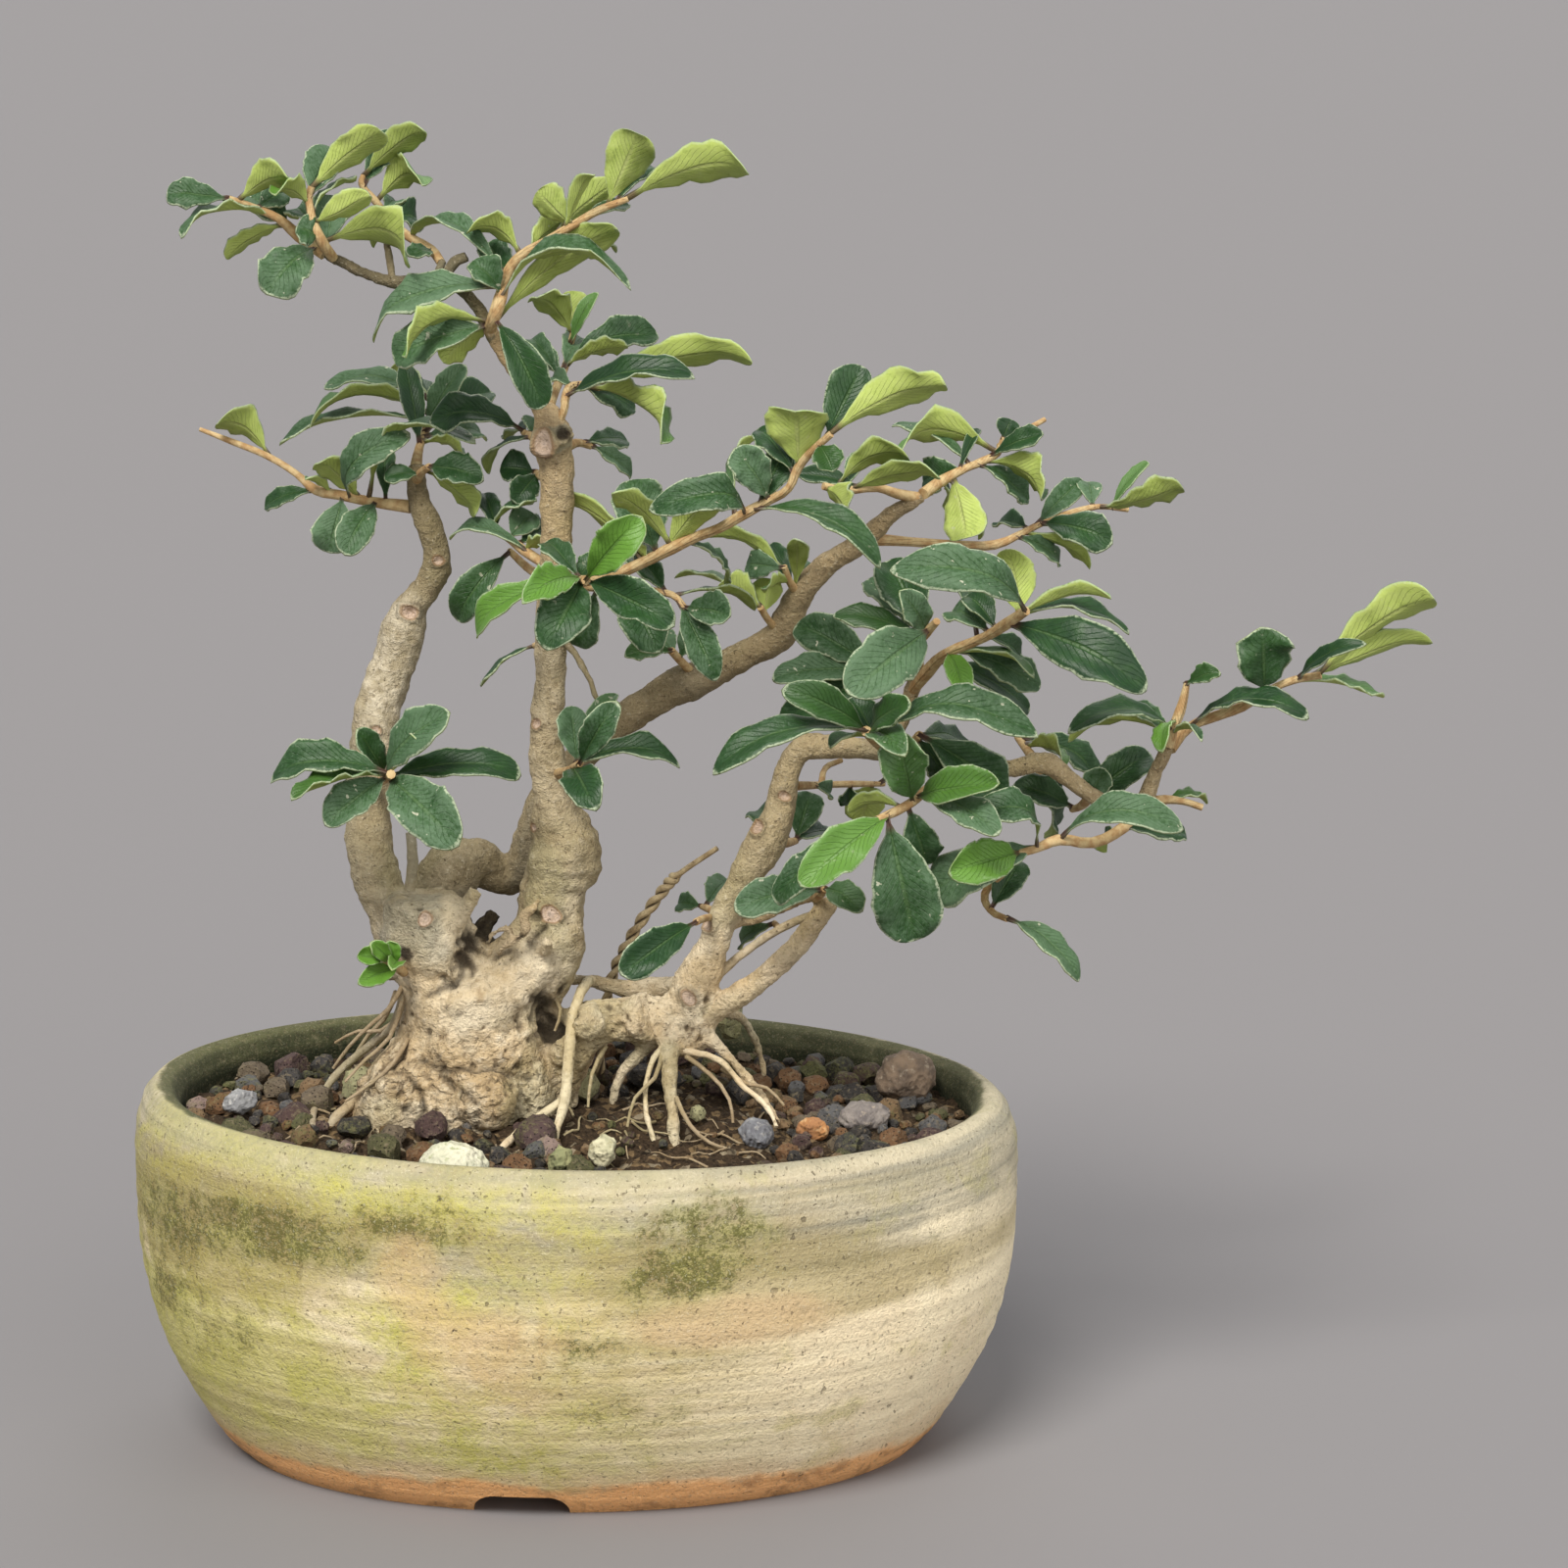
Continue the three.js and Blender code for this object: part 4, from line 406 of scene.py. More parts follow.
    "shoot_mid_right_back": [
        ((1.2, .8), [(936, 692, 1), (920, 690, 9), (906, 689, 14), (890, 688, 14)], [
            (890, 688, 788, 692, 10, 9, 45, .1), (894, 688, 812, 636, 18, 10, 55),
            (900, 689, 796, 738, 12, 9, 45), (892, 688, 868, 664, 24, 8, 40, .1),
        ]),
    ],
    "shoot_front_low": [
        ((1.4, 1.1), [(908, 768, -3), (894, 757, -17), (884, 746, -29)], [
            (884, 746, 727, 784, -37, 9, 25, .1, .15), (884, 745, 805, 703, -37, 8, 60, .4),
            (885, 746, 930, 718, -38, 7, 55, .4), (886, 748, 920, 764, -40, 8, 60, .4),
            (884, 747, 847, 762, -29, 5, -20, .3), (890, 752, 1060, 757, -28, 10, 35, 0, .28),
            (886, 748, 868, 712, -18, 8, 50),
        ]),
    ],
    "shoot_hanging_mid": [
        ((1.3, .9), [(925, 765, 0), (932, 757, -7), (938, 750, -14)], [
            (938, 750, 1027, 816, -18, 13, 55, .1), (936, 752, 988, 764, 3, 8, 40),
            (937, 751, 962, 790, -10, 7, 50, .1),
        ]),
    ],
    "shoot_right_tip": [
        ((1.5, .8), [(1192, 762, -8), (1197, 744, -8), (1204, 726, -8), (1208, 712, -8), (1211, 697, -8)], [
            (1196, 746, 1092, 742, -16, 9, 25, .2, .2), (1194, 752, 1092, 746, 2, 7, -30, .4, .15),
            (1200, 736, 1183, 761, -18, 5, -40, .8), (1198, 742, 1226, 749, -18, 4, 0, .1),
            (1199, 740, 1155, 720, 0, 6, 40, .3), (1210, 699, 1244, 686, -12, 5, 50, .4),
        ]),
    ],
    "shoot_right_reach": [
        ((1.4, .8), [(1194, 764, -5), (1214, 742, -1), (1240, 731, -3), (1268, 721, -4), (1292, 706, -5),
            (1320, 694, -6), (1348, 689, -8)], [
            (1216, 741, 1334, 728, -14, 9, 30, .1, .2), (1290, 707, 1288, 642, -10, 14, 60, .3, .05),
            (1310, 698, 1412, 717, 0, 6, 0, .5), (1347, 689, 1468, 610, -14, 12, -55, .8, .15),
            (1348, 689, 1460, 646, -3, 8, -60, .8, .05), (1347, 689, 1386, 654, -18, 5, 50, .2),
        ]),
    ],
    "shoot_right_low": [
        ((1.6, 1), [(1160, 830, -8), (1147, 844, -13), (1115, 860, -16), (1080, 857, -18),
            (1057, 866, -20), (1038, 871, -20)], [
            (1082, 857, 1207, 845, -26, 9, 40, .1, .3), (1145, 845, 1210, 850, -7, 9, 45),
            (1138, 849, 1126, 866, -6, 6, 50, .1), (1056, 866, 985, 835, -29, 9, 35, .1, .4),
            (1039, 871, 967, 892, -31, 11, 70, .9), (1040, 871, 946, 912, -19, 13, 50),
        ]),
        ((1, .8), [(1040, 871, -20), (1022, 893, -13), (1005, 912, -10), (1010, 928, -13),
            (1028, 938, -18)], [
            (1011, 928, 1042, 876, -7, 8, 55, .2), (1027, 938, 1102, 1000, -22, 8, 30, .2, .15),
        ]),
    ],
    "shoot_right_mid": [
        ((1.4, .9), [(1062, 784, -3), (1050, 768, 12), (1038, 752, 17)], [
            (1040, 754, 1122, 798, 18, 10, 40, 0, .2), (1045, 762, 1088, 776, 2, 7, -50, .6),
            (1042, 756, 1075, 852, 23, 10, 40),
        ]),
    ],
    "shoot_right_mid_low": [
        ((1.2, .9), [(1112, 812, -5), (1104, 822, 3), (1094, 826, 9)], [
            (1096, 826, 1034, 801, 7, 9, 50), (1108, 817, 1128, 784, -3, 7, 60),
            (1100, 823, 1174, 768, 7, 10, 60, .1),
        ]),
    ],
    "shoot_right_pale": [
        ((1.2, .8), [(1166, 820, -7), (1188, 816, -5), (1208, 818, -5), (1227, 824, -5)], [
            (1190, 816, 1232, 816, -1, 5, 20, .5),
        ]),
    ],
    "shoot_lower_right": [
        ((1.5, .9), [(1000, 783, -4), (965, 795, -14), (945, 806, -19), (930, 819, -24), (912, 829, -26),
            (895, 836, -29)], [
            (931, 818, 915, 752, -32, 12, 75, .5), (932, 818, 1022, 800, -36, 10, 60, .6),
            (928, 820, 1019, 850, -39, 8, 40, .2), (911, 829, 817, 903, -39, 11, 60, .8),
            (897, 835, 788, 917, -32, 8, 45), (905, 832, 934, 960, -26, 17, 80, .1),
            (926, 822, 946, 883, -20, 9, 70, .2), (920, 825, 868, 822, -17, 6, -50, .5),
        ]),
    ],
    "shoot_low_branch_end": [
        ((1.3, .9), [(832, 916, -3), (838, 911, -8), (842, 907, -13)], [
            (842, 908, 881, 930, -20, 8, 60, .4, .2), (840, 909, 752, 926, -21, 9, 50, 0, .12),
            (840, 908, 806, 898, -5, 6, -40, .5),
        ]),
    ],
    "shoot_low_branch_leaf": [
        ((.9, .7), [(796, 948, 2), (790, 942, 7)], [
            (790, 943, 754, 963, 12, 7, 50, .2),
        ]),
    ],
    "shoot_right_stem_front": [
        ((1, .8), [(724, 936, -2), (716, 938, -9), (710, 941, -14)], [
            (710, 941, 633, 996, -27, 9, 65),
        ]),
    ],
    "shoot_right_stem_back": [
        ((1, .8), [(740, 932, 1), (728, 930, 8), (722, 927, 14), (716, 925, 18)], [
            (716, 925, 690, 922, 21, 6, 60, .1), (718, 926, 742, 900, 28, 8, 40, .1),
        ]),
    ],
    "shoot_right_joint_back": [
        ((1.3, .9), [(782, 862, 2), (796, 861, 10), (804, 860, 18), (812, 858, 28)], [
            (812, 858, 828, 808, 33, 9, 60, .3), (806, 860, 770, 822, 33, 9, 50, .3),
            (811, 858, 850, 852, 36, 8, 40, .2),
        ]),
    ],
    "shoot_right_twigs_back": [
        ((1.1, .6), [(812, 802, 6), (840, 801, 16), (870, 800, 24), (902, 800, 30)], [
            (868, 800, 866, 822, 27, 6, 50), (890, 800, 878, 842, 35, 9, -50, .5),
            (898, 800, 930, 780, 36, 8, 40, .1), (830, 801, 848, 812, 17, 5, 50),
        ]),
        ((.9, .6), [(838, 801, 16), (842, 784, 22), (858, 776, 28)], []),
    ],
    "shoot_left_low": [
        ((1.4, 1), [(379, 803, 11), (387, 798, 0), (393, 795, -12), (399, 790, -22)], [
            (398, 790, 275, 788, -21, 10, 35, .1, .15), (397, 791, 297, 817, -30, 9, 10, .5),
            (396, 792, 332, 840, -27, 10, 60, .1), (399, 791, 462, 855, -35, 14, 70),
            (399, 790, 462, 728, -25, 10, 45, .2, .15), (399, 789, 432, 753, -24, 7, -50, .5),
            (400, 790, 527, 782, -17, 9, 45, .3, .12), (396, 791, 364, 744, -16, 7, 50, .3),
        ]),
    ],
    "shoot_centre_low": [
        ((1.2, .9), [(568, 790, -1), (580, 786, -13), (592, 779, -21)], [
            (592, 779, 626, 720, -28, 8, 65, .2), (590, 780, 582, 720, -16, 8, 50, .1),
            (592, 779, 628, 704, -10, 5, 30, .4), (592, 780, 605, 820, -32, 9, 70, .2),
            (592, 779, 692, 772, -14, 7, 25, 0, .15),
        ]),
    ],
    "basal_shoot": [
        ((1.1, .8), [(412, 992, -8), (402, 985, -13), (393, 980, -16)], [
            (394, 980, 364, 976, -18, 5, 60, 1), (395, 981, 378, 962, -19, 4, 60, 1),
            (396, 982, 397, 960, -15, 4, 60, 1), (394, 981, 366, 1004, -20, 5, 60, 1),
            (398, 983, 400, 990, -24, 4, 60, 1),
        ]),
    ],
}


# Places and seeded draws


def draws(seed):
    """Seeded draws between 0 and 1, the same ones that shape the solids."""
    state = seed
    while True:
        state = (1664525 * state + 1013904223) % 2**32
        yield state / 2**32


def sight_depth(v, y):
    """How far off a spot is along the line of sight, in mm."""
    return (y - EYE[1]) / (math.cos(TILT) - math.sin(TILT) * (v - MIDDLE) / SIGHT)


def spot(u, v, y):
    """The point in metres, in the model's frame, of a spot in the front view."""
    far = sight_depth(v, y)
    down = far * (math.sin(TILT) + math.cos(TILT) * (v - MIDDLE) / SIGHT)
    return Vector((EYE[0] - CENTRE_X + far * (u - MIDDLE) / SIGHT, y, EYE[2] - down)) * MM


def oval(half_wide, z, angle, inset=0.0):
    """A point of the pot's oval ring in metres."""
    half_x = half_wide - inset
    half_y = half_x - OVAL * min(1, half_wide / 60)
    wobble = 1 + 0.004 * math.sin(3 * angle + 1)
    x = half_x * wobble * math.cos(angle)
    y = half_y * wobble * math.sin(angle)
    return Vector((x - CENTRE_X, y, z - RIM_FALL * x * z / POT_HEIGHT)) * MM


def soil_top(x, y):
    """Height of the filling at x, y of the pot's own millimetres."""
    mound = 3 * math.exp(-((x + 15) ** 2) / 1600 - (y / 28) ** 2)
    across = math.sin(0.62 * x + 0.9 * math.sin(0.4 * y))
    knobs = 0.9 * across * math.cos(0.55 * y + 0.7 * math.sin(0.5 * x))
    return SOIL_LEVEL + mound + knobs - RIM_FALL * x * 0.6


def is_bare(x, y):
    """True where peat or the trunk's foot leaves no room for coarse grit."""
    trunk = math.hypot((x + 22) / 24, y / 22) < 1
    return trunk or math.hypot((x - 20) / 24, (y + 16) / 30) < 1


def smooth_row(rows, steps):
    """Points of a smooth curve through all rows of numbers, with so many steps between two."""
    rows = [np.array(row, float) for row in rows]
    ends = [2 * rows[0] - rows[1], *rows, 2 * rows[-1] - rows[-2]]
    found = []
    for i in range(1, len(ends) - 2):
        a, b, c, d = ends[i - 1 : i + 3]
        for k in range(steps):
            t = k / steps
            found.append(
                0.5 * (2 * b + (c - a) * t + (2 * a - 5 * b + 4 * c - d) * t**2
                       + (3 * b - a - 3 * c + d) * t**3)
            )
    return [*found, rows[-1]]


# Modelling


def only(*pieces):
    """Selects these objects alone and makes the first one active."""
    bpy.ops.object.select_all(action="DESELECT")
    for piece in pieces:
        piece.select_set(True)
    bpy.context.view_layer.objects.active = pieces[0]


def start(kind, name, **sizes):
    """Adds a primitive with nothing else selected."""
    bpy.ops.object.select_all(action="DESELECT")
    getattr(bpy.ops.mesh, f"primitive_{kind}_add")(**sizes)
    piece = bpy.context.object
    piece.name = name
    return piece


def copy_of(piece):
    """A copy with its own mesh."""
    copy = piece.copy()
    copy.data = piece.data.copy()
    bpy.context.scene.collection.objects.link(copy)
    return copy


@contextmanager
def editing(piece, chosen="SELECT"):
    """Edit mode on one piece, with all or none of it selected."""
    only(piece)
    bpy.ops.object.mode_set(mode="EDIT")
    bpy.ops.mesh.select_all(action=chosen)
    yield
    bpy.ops.object.mode_set(mode="OBJECT")


def choose_faces(piece, wanted):
    """Selects the faces whose middle is wanted, in edit mode."""
    mesh = bmesh.from_edit_mesh(piece.data)
    for face in mesh.faces:
        face.select = wanted(face.calc_center_median())
    bmesh.update_edit_mesh(piece.data)


def turn_outwards():
    """Turns all faces of the piece in edit mode outwards."""
    bpy.ops.mesh.select_all(action="SELECT")
    bpy.ops.mesh.normals_make_consistent(inside=False)


def points_of(piece, kind="co"):
    """The places of a piece's points, or their normals."""
    found = np.zeros(len(piece.data.vertices) * 3)
    piece.data.vertices.foreach_get(kind, found)
    return found.reshape(-1, 3)


def move_points(piece, places):
    piece.data.vertices.foreach_set("co", np.asarray(places, np.float32).ravel())
    piece.data.update()


def note(piece, name, values):
    """Keeps one number for each point of a piece."""
    kept = piece.data.attributes.get(name) or piece.data.attributes.new(name, "FLOAT", "POINT")
    kept.data.foreach_set("value", np.asarray(values, np.float32))


def finish_with(piece, kind, **settings):
    """Adds a modifier to a piece and applies it."""
    only(piece)
    modifier = piece.modifiers.new(kind.title(), kind)
    for name, value in settings.items():
        setattr(modifier, name, value)
    bpy.ops.object.modifier_apply(modifier=modifier.name)


def place_in_mesh(piece):
    only(piece)
    bpy.ops.object.transform_apply(location=True, rotation=True, scale=True)


def joined(name, pieces):
    only(*pieces)
    bpy.ops.object.join()
    whole = bpy.context.view_layer.objects.active
    whole.name = name
    whole.data.name = name
    return whole


def shade(piece, degrees=None):
    only(piece)
    if degrees is None:
        bpy.ops.object.shade_smooth()
    else:
        bpy.ops.object.shade_smooth_by_angle(angle=math.radians(degrees))


EASED = 20  # mm over which a piece is drawn in at the solids' box


def ease_inside(piece):
    """Draws in the outermost part of a piece where it would reach past the solids' box."""
    places = points_of(piece)
    for axis in range(3):
        for side, limit in ((-1, CAD_BOX[0][axis]), (1, CAD_BOX[1][axis])):
            reach = places[:, axis] * side
            past = reach.max() - limit * side
            if past > 0:
                share = np.clip((reach - reach.max()) / (EASED * MM) + 1, 0, 1)
                places[:, axis] -= side * past * share**2
    move_points(piece, places)


def hand_over(piece, finish, slot, *nodes):
    """Gives a finished piece its material and its body, and hides the solids that it stands for; the slot is
    not used.
    """
    ease_inside(piece)
    piece.data.materials.clear()
    piece.data.materials.append(finish)
    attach(piece, "root")
    if nodes:
        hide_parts(*nodes)


def loft(name, rings):
    """A closed skin over rings of points: the first is extruded on and on, and each is set in its place."""
    piece = start("circle", name, vertices=len(rings[0]), radius=0.01, fill_type="NGON")
    with editing(piece):
        for i, ring in enumerate(rings):
            if i:
                bpy.ops.mesh.extrude_region_move()
            mesh = bmesh.from_edit_mesh(piece.data)
            chosen = [v for v in mesh.verts if v.select]
            for v, place in zip(sorted(chosen, key=lambda v: v.index), ring):
                v.co = place
            bmesh.update_edit_mesh(piece.data)
        turn_outwards()
    return piece


def tubes(name, routes, sides, steps):
    """Round limbs along smooth curves. A route is a row of points, each with its radius, in metres."""
    bpy.ops.object.select_all(action="DESELECT")
    bpy.ops.curve.primitive_bezier_curve_add()
    drawn = bpy.context.object
    drawn.name = name
    curve = drawn.data
    curve.splines.clear()
    curve.dimensions = "3D"
    curve.resolution_u = steps
    curve.bevel_depth = 1
    curve.bevel_resolution = sides // 2 - 2
    curve.use_fill_caps = True
    for route in routes:
        line = curve.splines.new("BEZIER")
        line.bezier_points.add(len(route) - 1)
        for knot, (place, radius) in zip(line.bezier_points, route):
            knot.co = place
            knot.radius = radius
            knot.handle_left_type = knot.handle_right_type = "AUTO"
    only(drawn)
    bpy.ops.object.convert(target="MESH")
    return bpy.context.object


def carve(piece, cutter):
    """Cuts one piece with another, which is then removed."""
    finish_with(piece, "BOOLEAN", operation="DIFFERENCE", object=cutter, solver="EXACT")
    bpy.data.objects.remove(cutter)


# Finishes


class Value:
    """A socket's value that takes part in sums."""

    def __init__(self, finish, socket):
        self.finish, self.socket = finish, socket

    def _sum(self, operation, first, second):
        return self.finish.node("Math", {"operation": operation}, {0: first, 1: second})

    def __add__(self, other):
        return self._sum("ADD", self, other)

    def __radd__(self, other):
        return self._sum("ADD", other, self)

    def __sub__(self, other):
        return self._sum("SUBTRACT", self, other)

    def __rsub__(self, other):
        return self._sum("SUBTRACT", other, self)

    def __mul__(self, other):
        return self._sum("MULTIPLY", self, other)

    def __rmul__(self, other):
        return self._sum("MULTIPLY", other, self)

    def __pow__(self, other):
        return self._sum("POWER", self, other)

    def __abs__(self):
        return self.finish.node("Math", {"operation": "ABSOLUTE"}, {0: self})


class Finish:
    """A material whose nodes are made one by one. Its coat is the colour so far."""

    def __init__(self, name):
        self.material = bpy.data.materials.new(name)
        self.material.use_nodes = True
        self.tree = self.material.node_tree
        self.shader = self.tree.nodes["Principled BSDF"]
        self.place = self.node("TexCoord", {}, {}, "Object")

    def node(self, kind, settings, sockets, output=0):
        """One node: its settings come first, then the values or links of its sockets."""
        made = self.tree.nodes.new("ShaderNode" + kind)
        for name, value in settings.items():
            setattr(made, name, value)
        for name, value in sockets.items():
            self.set(made.inputs[name], value)
        return Value(self, made.outputs[output])

    def set(self, socket, value):
        if isinstance(value, Value):
            self.tree.links.new(value.socket, socket)
        elif socket.type == "RGBA":
            socket.default_value = (*value[:3], 1)
        else:
            socket.default_value = value

    def kept(self, name):
        """A number that the piece's points carry."""
        return self.node("Attribute", {"attribute_name": name}, {}, "Fac")

    def stretched(self, size_mm, stretch=(1, 1, 1), place=None):
        """The place, with so many mm made one unit."""
        scale = tuple(s / (size_mm * MM) for s in stretch)
        return self.node("Mapping", {}, {"Vector": place or self.place, "Scale": scale})

    def cloud(self, size_mm, detail=3.0, rough=0.55, stretch=(1, 1, 1), twist=0.0):
        """Soft random patches about so many mm across, from 0 to 1."""
        sockets = {"Vector": self.stretched(size_mm, stretch), "Scale": 1.0, "Detail": detail}
        return self.node("TexNoise", {}, {**sockets, "Roughness": rough, "Distortion": twist})

    def vectors(self, operation, sockets):
        return self.node("VectorMath", {"operation": operation}, sockets)

    def bent(self, size_mm, by_mm):
        """The place, pushed about at random by up to so many mm."""
        drift = self.node("TexNoise", {}, {"Vector": self.stretched(size_mm), "Scale": 1.0}, 1)
        centred = self.vectors("SUBTRACT", {0: drift, 1: (0.5, 0.5, 0.5)})
        push = self.vectors("SCALE", {0: centred, "Scale": by_mm * MM})
        return self.vectors("ADD", {0: self.place, 1: push})

    def cells(self, size_mm, output=0, place=None):
        """The distance to the middle of the nearest cell, about so many mm across, or that cell's colour."""
        place = self.stretched(size_mm, place=place)
        return self.node("TexVoronoi", {}, {"Vector": place, "Scale": 1.0}, output)

    def step(self, value, low, high, to_low=0.0, to_high=1.0):
        """Rises smoothly from to_low to to_high while value goes from low to high."""
        ends = {0: value, 1: low, 2: high, 3: to_low, 4: to_high}
        return self.node("MapRange", {"interpolation_type": "SMOOTHSTEP"}, ends)

    def mix(self, share, first, second):
        return self.node("Mix", {"data_type": "RGBA"}, {0: share, 6: first, 7: second}, 2)

    def paint(self, share, colour):
        """One more coat of colour over those before."""
        self.coat = self.mix(share, self.coat, colour)

    def choice(self, value, stops):
        """The colour of the last stop that a value has passed."""
        chosen = self.node("ValToRGB", {}, {0: value})
        ramp = chosen.socket.node.color_ramp
        while len(ramp.elements) < len(stops):
            ramp.elements.new(1)
        for stop, (position, colour) in zip(ramp.elements, stops):
            stop.position, stop.color = position, (*colour, 1)
        ramp.interpolation = "CONSTANT"
        return chosen

    def parts(self, value, names):
        """The parts X, Y or Z of a place."""
        return [self.node("SeparateXYZ", {}, {0: value}, name) for name in names]

    def axes(self):
        """The place along X, Y and Z in millimetres."""
        return [part * (1 / MM) for part in self.parts(self.place, "XYZ")]

    def patch(self, x, z, centre, half):
        """1 at a centre in millimetres, fading to 0 at the half sizes."""
        away = ((x - centre[0]) * (1 / half[0])) ** 2 + ((z - centre[1]) * (1 / half[1])) ** 2
        return self.step(away, 1.0, 0.0)

    def spread(self, x, z, stains):
        """All stains of a list together."""
        total = 0.0
        for middle, half, strength in stains:
            total = self.patch(x, z, middle, half) * strength + total
        return total

    def relief(self, height, mm, strength):
        return self.node("Bump", {}, {"Height": height, "Distance": mm * MM, "Strength": strength})

    def wear(self, rough, normal=None, shine=0.5):
        """Feeds the shader with the coat, the roughness and the relief."""
        self.set(self.shader.inputs["Base Color"], self.coat)
        self.set(self.shader.inputs["Roughness"], rough)
        if normal:
            self.set(self.shader.inputs["Normal"], normal)
        self.set(self.shader.inputs["Specular IOR Level"], shine)
        return self.material


# Stains on the pot: the middle of each along X and up, its half sizes, both in mm, and its strength
FRONT_HAZE = [
    ((-6, 51), (44, 15), 0.85), ((24, 48), (44, 7), 0.6), ((-108, 56), (40, 20), 0.7),
    ((-60, 60), (44, 8), 0.4), ((-30, 34), (44, 10), 0.4), ((-26, 15), (60, 5), 0.3),
    ((10, 66), (50, 5), 0.35),
]
FRONT_MOSS = [
    ((-13, 61), (20, 14), 1.0), ((-21, 52), (16, 9), 0.75), ((-107, 57), (26, 11), 0.85),
    ((-84, 60), (34, 8), 0.85), ((-124, 50), (12, 18), 0.55), ((-42, 40), (20, 7), 0.7),
    ((-112, 36), (22, 14), 0.55), ((-24, 26), (28, 8), 0.5), ((-66, 66), (20, 7), 0.6),
]
BACK_HAZE = [((-70, 52), (44, 16), 0.8), ((4, 46), (40, 10), 0.6), ((-100, 22), (40, 12), 0.4)]
BACK_MOSS = [
    ((-72, 60), (26, 12), 0.95), ((-110, 50), (24, 16), 0.8), ((-20, 56), (26, 9), 0.7),
    ((28, 50), (16, 14), 0.7), ((-50, 34), (30, 8), 0.6),
]


def clay_finish(looks):
    """Unglazed clay: pale streaks, a bare foot, algae, moss and specks, with painted light on its right side
    and painted shade inside its rim.
    """
    f = Finish("pot_clay")
    x, y, z = f.axes()
    fine = f.cloud(1.5, 4, 0.7)
    dust = f.cloud(0.6, 2, 0.7)
    streaks = f.cloud(26, 5, 0.62, stretch=(0.34, 0.34, 4.5), twist=0.25)
    thin = f.cloud(10, 4, 0.6, stretch=(0.16, 0.16, 5.0))
    broad = f.cloud(42, 4, 0.55)
    blotch = f.cloud(11, 4, 0.65, twist=0.6)
    patchy = f.cloud(19, 5, 0.6, stretch=(0.7, 0.7, 1.5), twist=0.5)
    f.coat = f.mix(f.step(streaks, 0.36, 0.64), looks.cream, looks.buff)
    f.paint(f.step(patchy, 0.44, 0.60) * 0.75, looks.cream)
    f.paint(f.step(broad, 0.46, 0.64) * f.step(blotch, 0.38, 0.6) * 0.55, looks.peach)
    f.paint(f.step(thin, 0.54, 0.68) * 0.30, (0.80, 0.72, 0.54))
    f.paint(f.step(thin, 0.44, 0.34) * 0.20, (0.33, 0.27, 0.16))
    # painted light: the right half of the pot is painted paler, standing in for light that falls on that
    # side
    painted_light_right = f.step(x + (broad - 0.5) * 70, -30.0, 30.0)
    f.paint(painted_light_right * 0.65, (0.94, 0.815, 0.575))
    # a weathered grey-green band under the rim, ragged at its lower edge
    uneven = (broad - 0.5) * 34 + (streaks - 0.5) * 20
    band = f.step(z + uneven, 47.0, 60.0) * f.step(z, 78.0, 68.0, 0.45, 1.0)
    f.paint(band * f.step(thin, 0.30, 0.66, 0.90, 0.50), looks.band)
    # algae: a yellow-green film on the left half, dark green where it is thick
    growth = blotch * 0.5 + patchy * 0.5
    left = f.step(x + (broad - 0.5) * 60, -2.0, -60.0)
    film = f.step(growth, 0.36, 0.56) * left + f.step(growth, 0.51, 0.66) * 0.55
    f.paint(film * f.step(dust * 0.5 + fine * 0.5, 0.32, 0.6, 0.45, 0.9), looks.film)
    low_left = f.patch(x, z, (-106, 24), (46, 30)) * f.step(y, 30.0, -10.0)
    f.paint(f.step(low_left * (0.3 + growth), 0.2, 0.65) * 0.5, looks.film)
    front = f.step(y + (patchy - 0.5) * 60, 18.0, -12.0)
    haze = f.spread(x, z, FRONT_HAZE) * front + f.spread(x, z, BACK_HAZE) * (1 - front)
    haze = f.step(haze * (0.2 + growth * 1.6) + (streaks - 0.5) * 0.5, 0.05, 0.75)
    f.paint(haze * 0.66, looks.damp)
    moss = f.spread(x, z, FRONT_MOSS) * front + f.spread(x, z, BACK_MOSS) * (1 - front)
    ragged = blotch * 0.35 + f.cloud(4.5, 3, 0.7) * 0.65
    cover = f.step(moss * 0.6 + (ragged - 0.5) * 1.9 + (streaks - 0.5) * 0.6, -0.02, 0.95)
    sprinkled = f.step(dust * 0.5 + fine * 0.5 + cover * 0.12, 0.52, 0.64) * f.step(moss, 0.0, 0.6)
    under_moss = f.mix(f.step(blotch, 0.4, 0.6), (0.33, 0.32, 0.080), (0.26, 0.19, 0.085))
    f.paint(cover * f.step(moss, 0.0, 0.6) * 0.65, under_moss)
    f.paint(sprinkled * f.step(cover, 0.0, 0.75) * 0.78, looks.moss)
    loose = f.step(dust * 0.7 + growth * 0.3, 0.56, 0.62) * f.step(growth, 0.42, 0.6)
    f.paint(loose * 0.45, (0.20, 0.185, 0.075))
    # the foot stays bare terracotta, with rusty places above it
    edge = z + (f.cloud(16, 3, 0.6) - 0.5) * 11 + (streaks - 0.5) * 5
    foot = f.step(edge, 8.5, 5.5)
    f.paint(f.step(edge, 14.0, 8.0) * 0.5, looks.peach)
    f.paint(foot * 0.92, looks.foot)
    f.paint(foot * f.step(blotch, 0.5, 0.64) * 0.5, (0.235, 0.115, 0.05))
    rust = f.patch(x, z, (-56, 40), (22, 12)) * 0.8 + f.patch(x, z, (-8, 44), (30, 8)) * 0.8
    rust = rust * front + f.patch(x, z, (-70, 54), (12, 12)) * 0.7
    rust = rust + f.patch(x, z, (30, 14), (60, 8)) * 0.4
    f.paint(f.step(rust * (0.3 + blotch * 1.3), 0.2, 0.8) * 0.55, looks.peach)
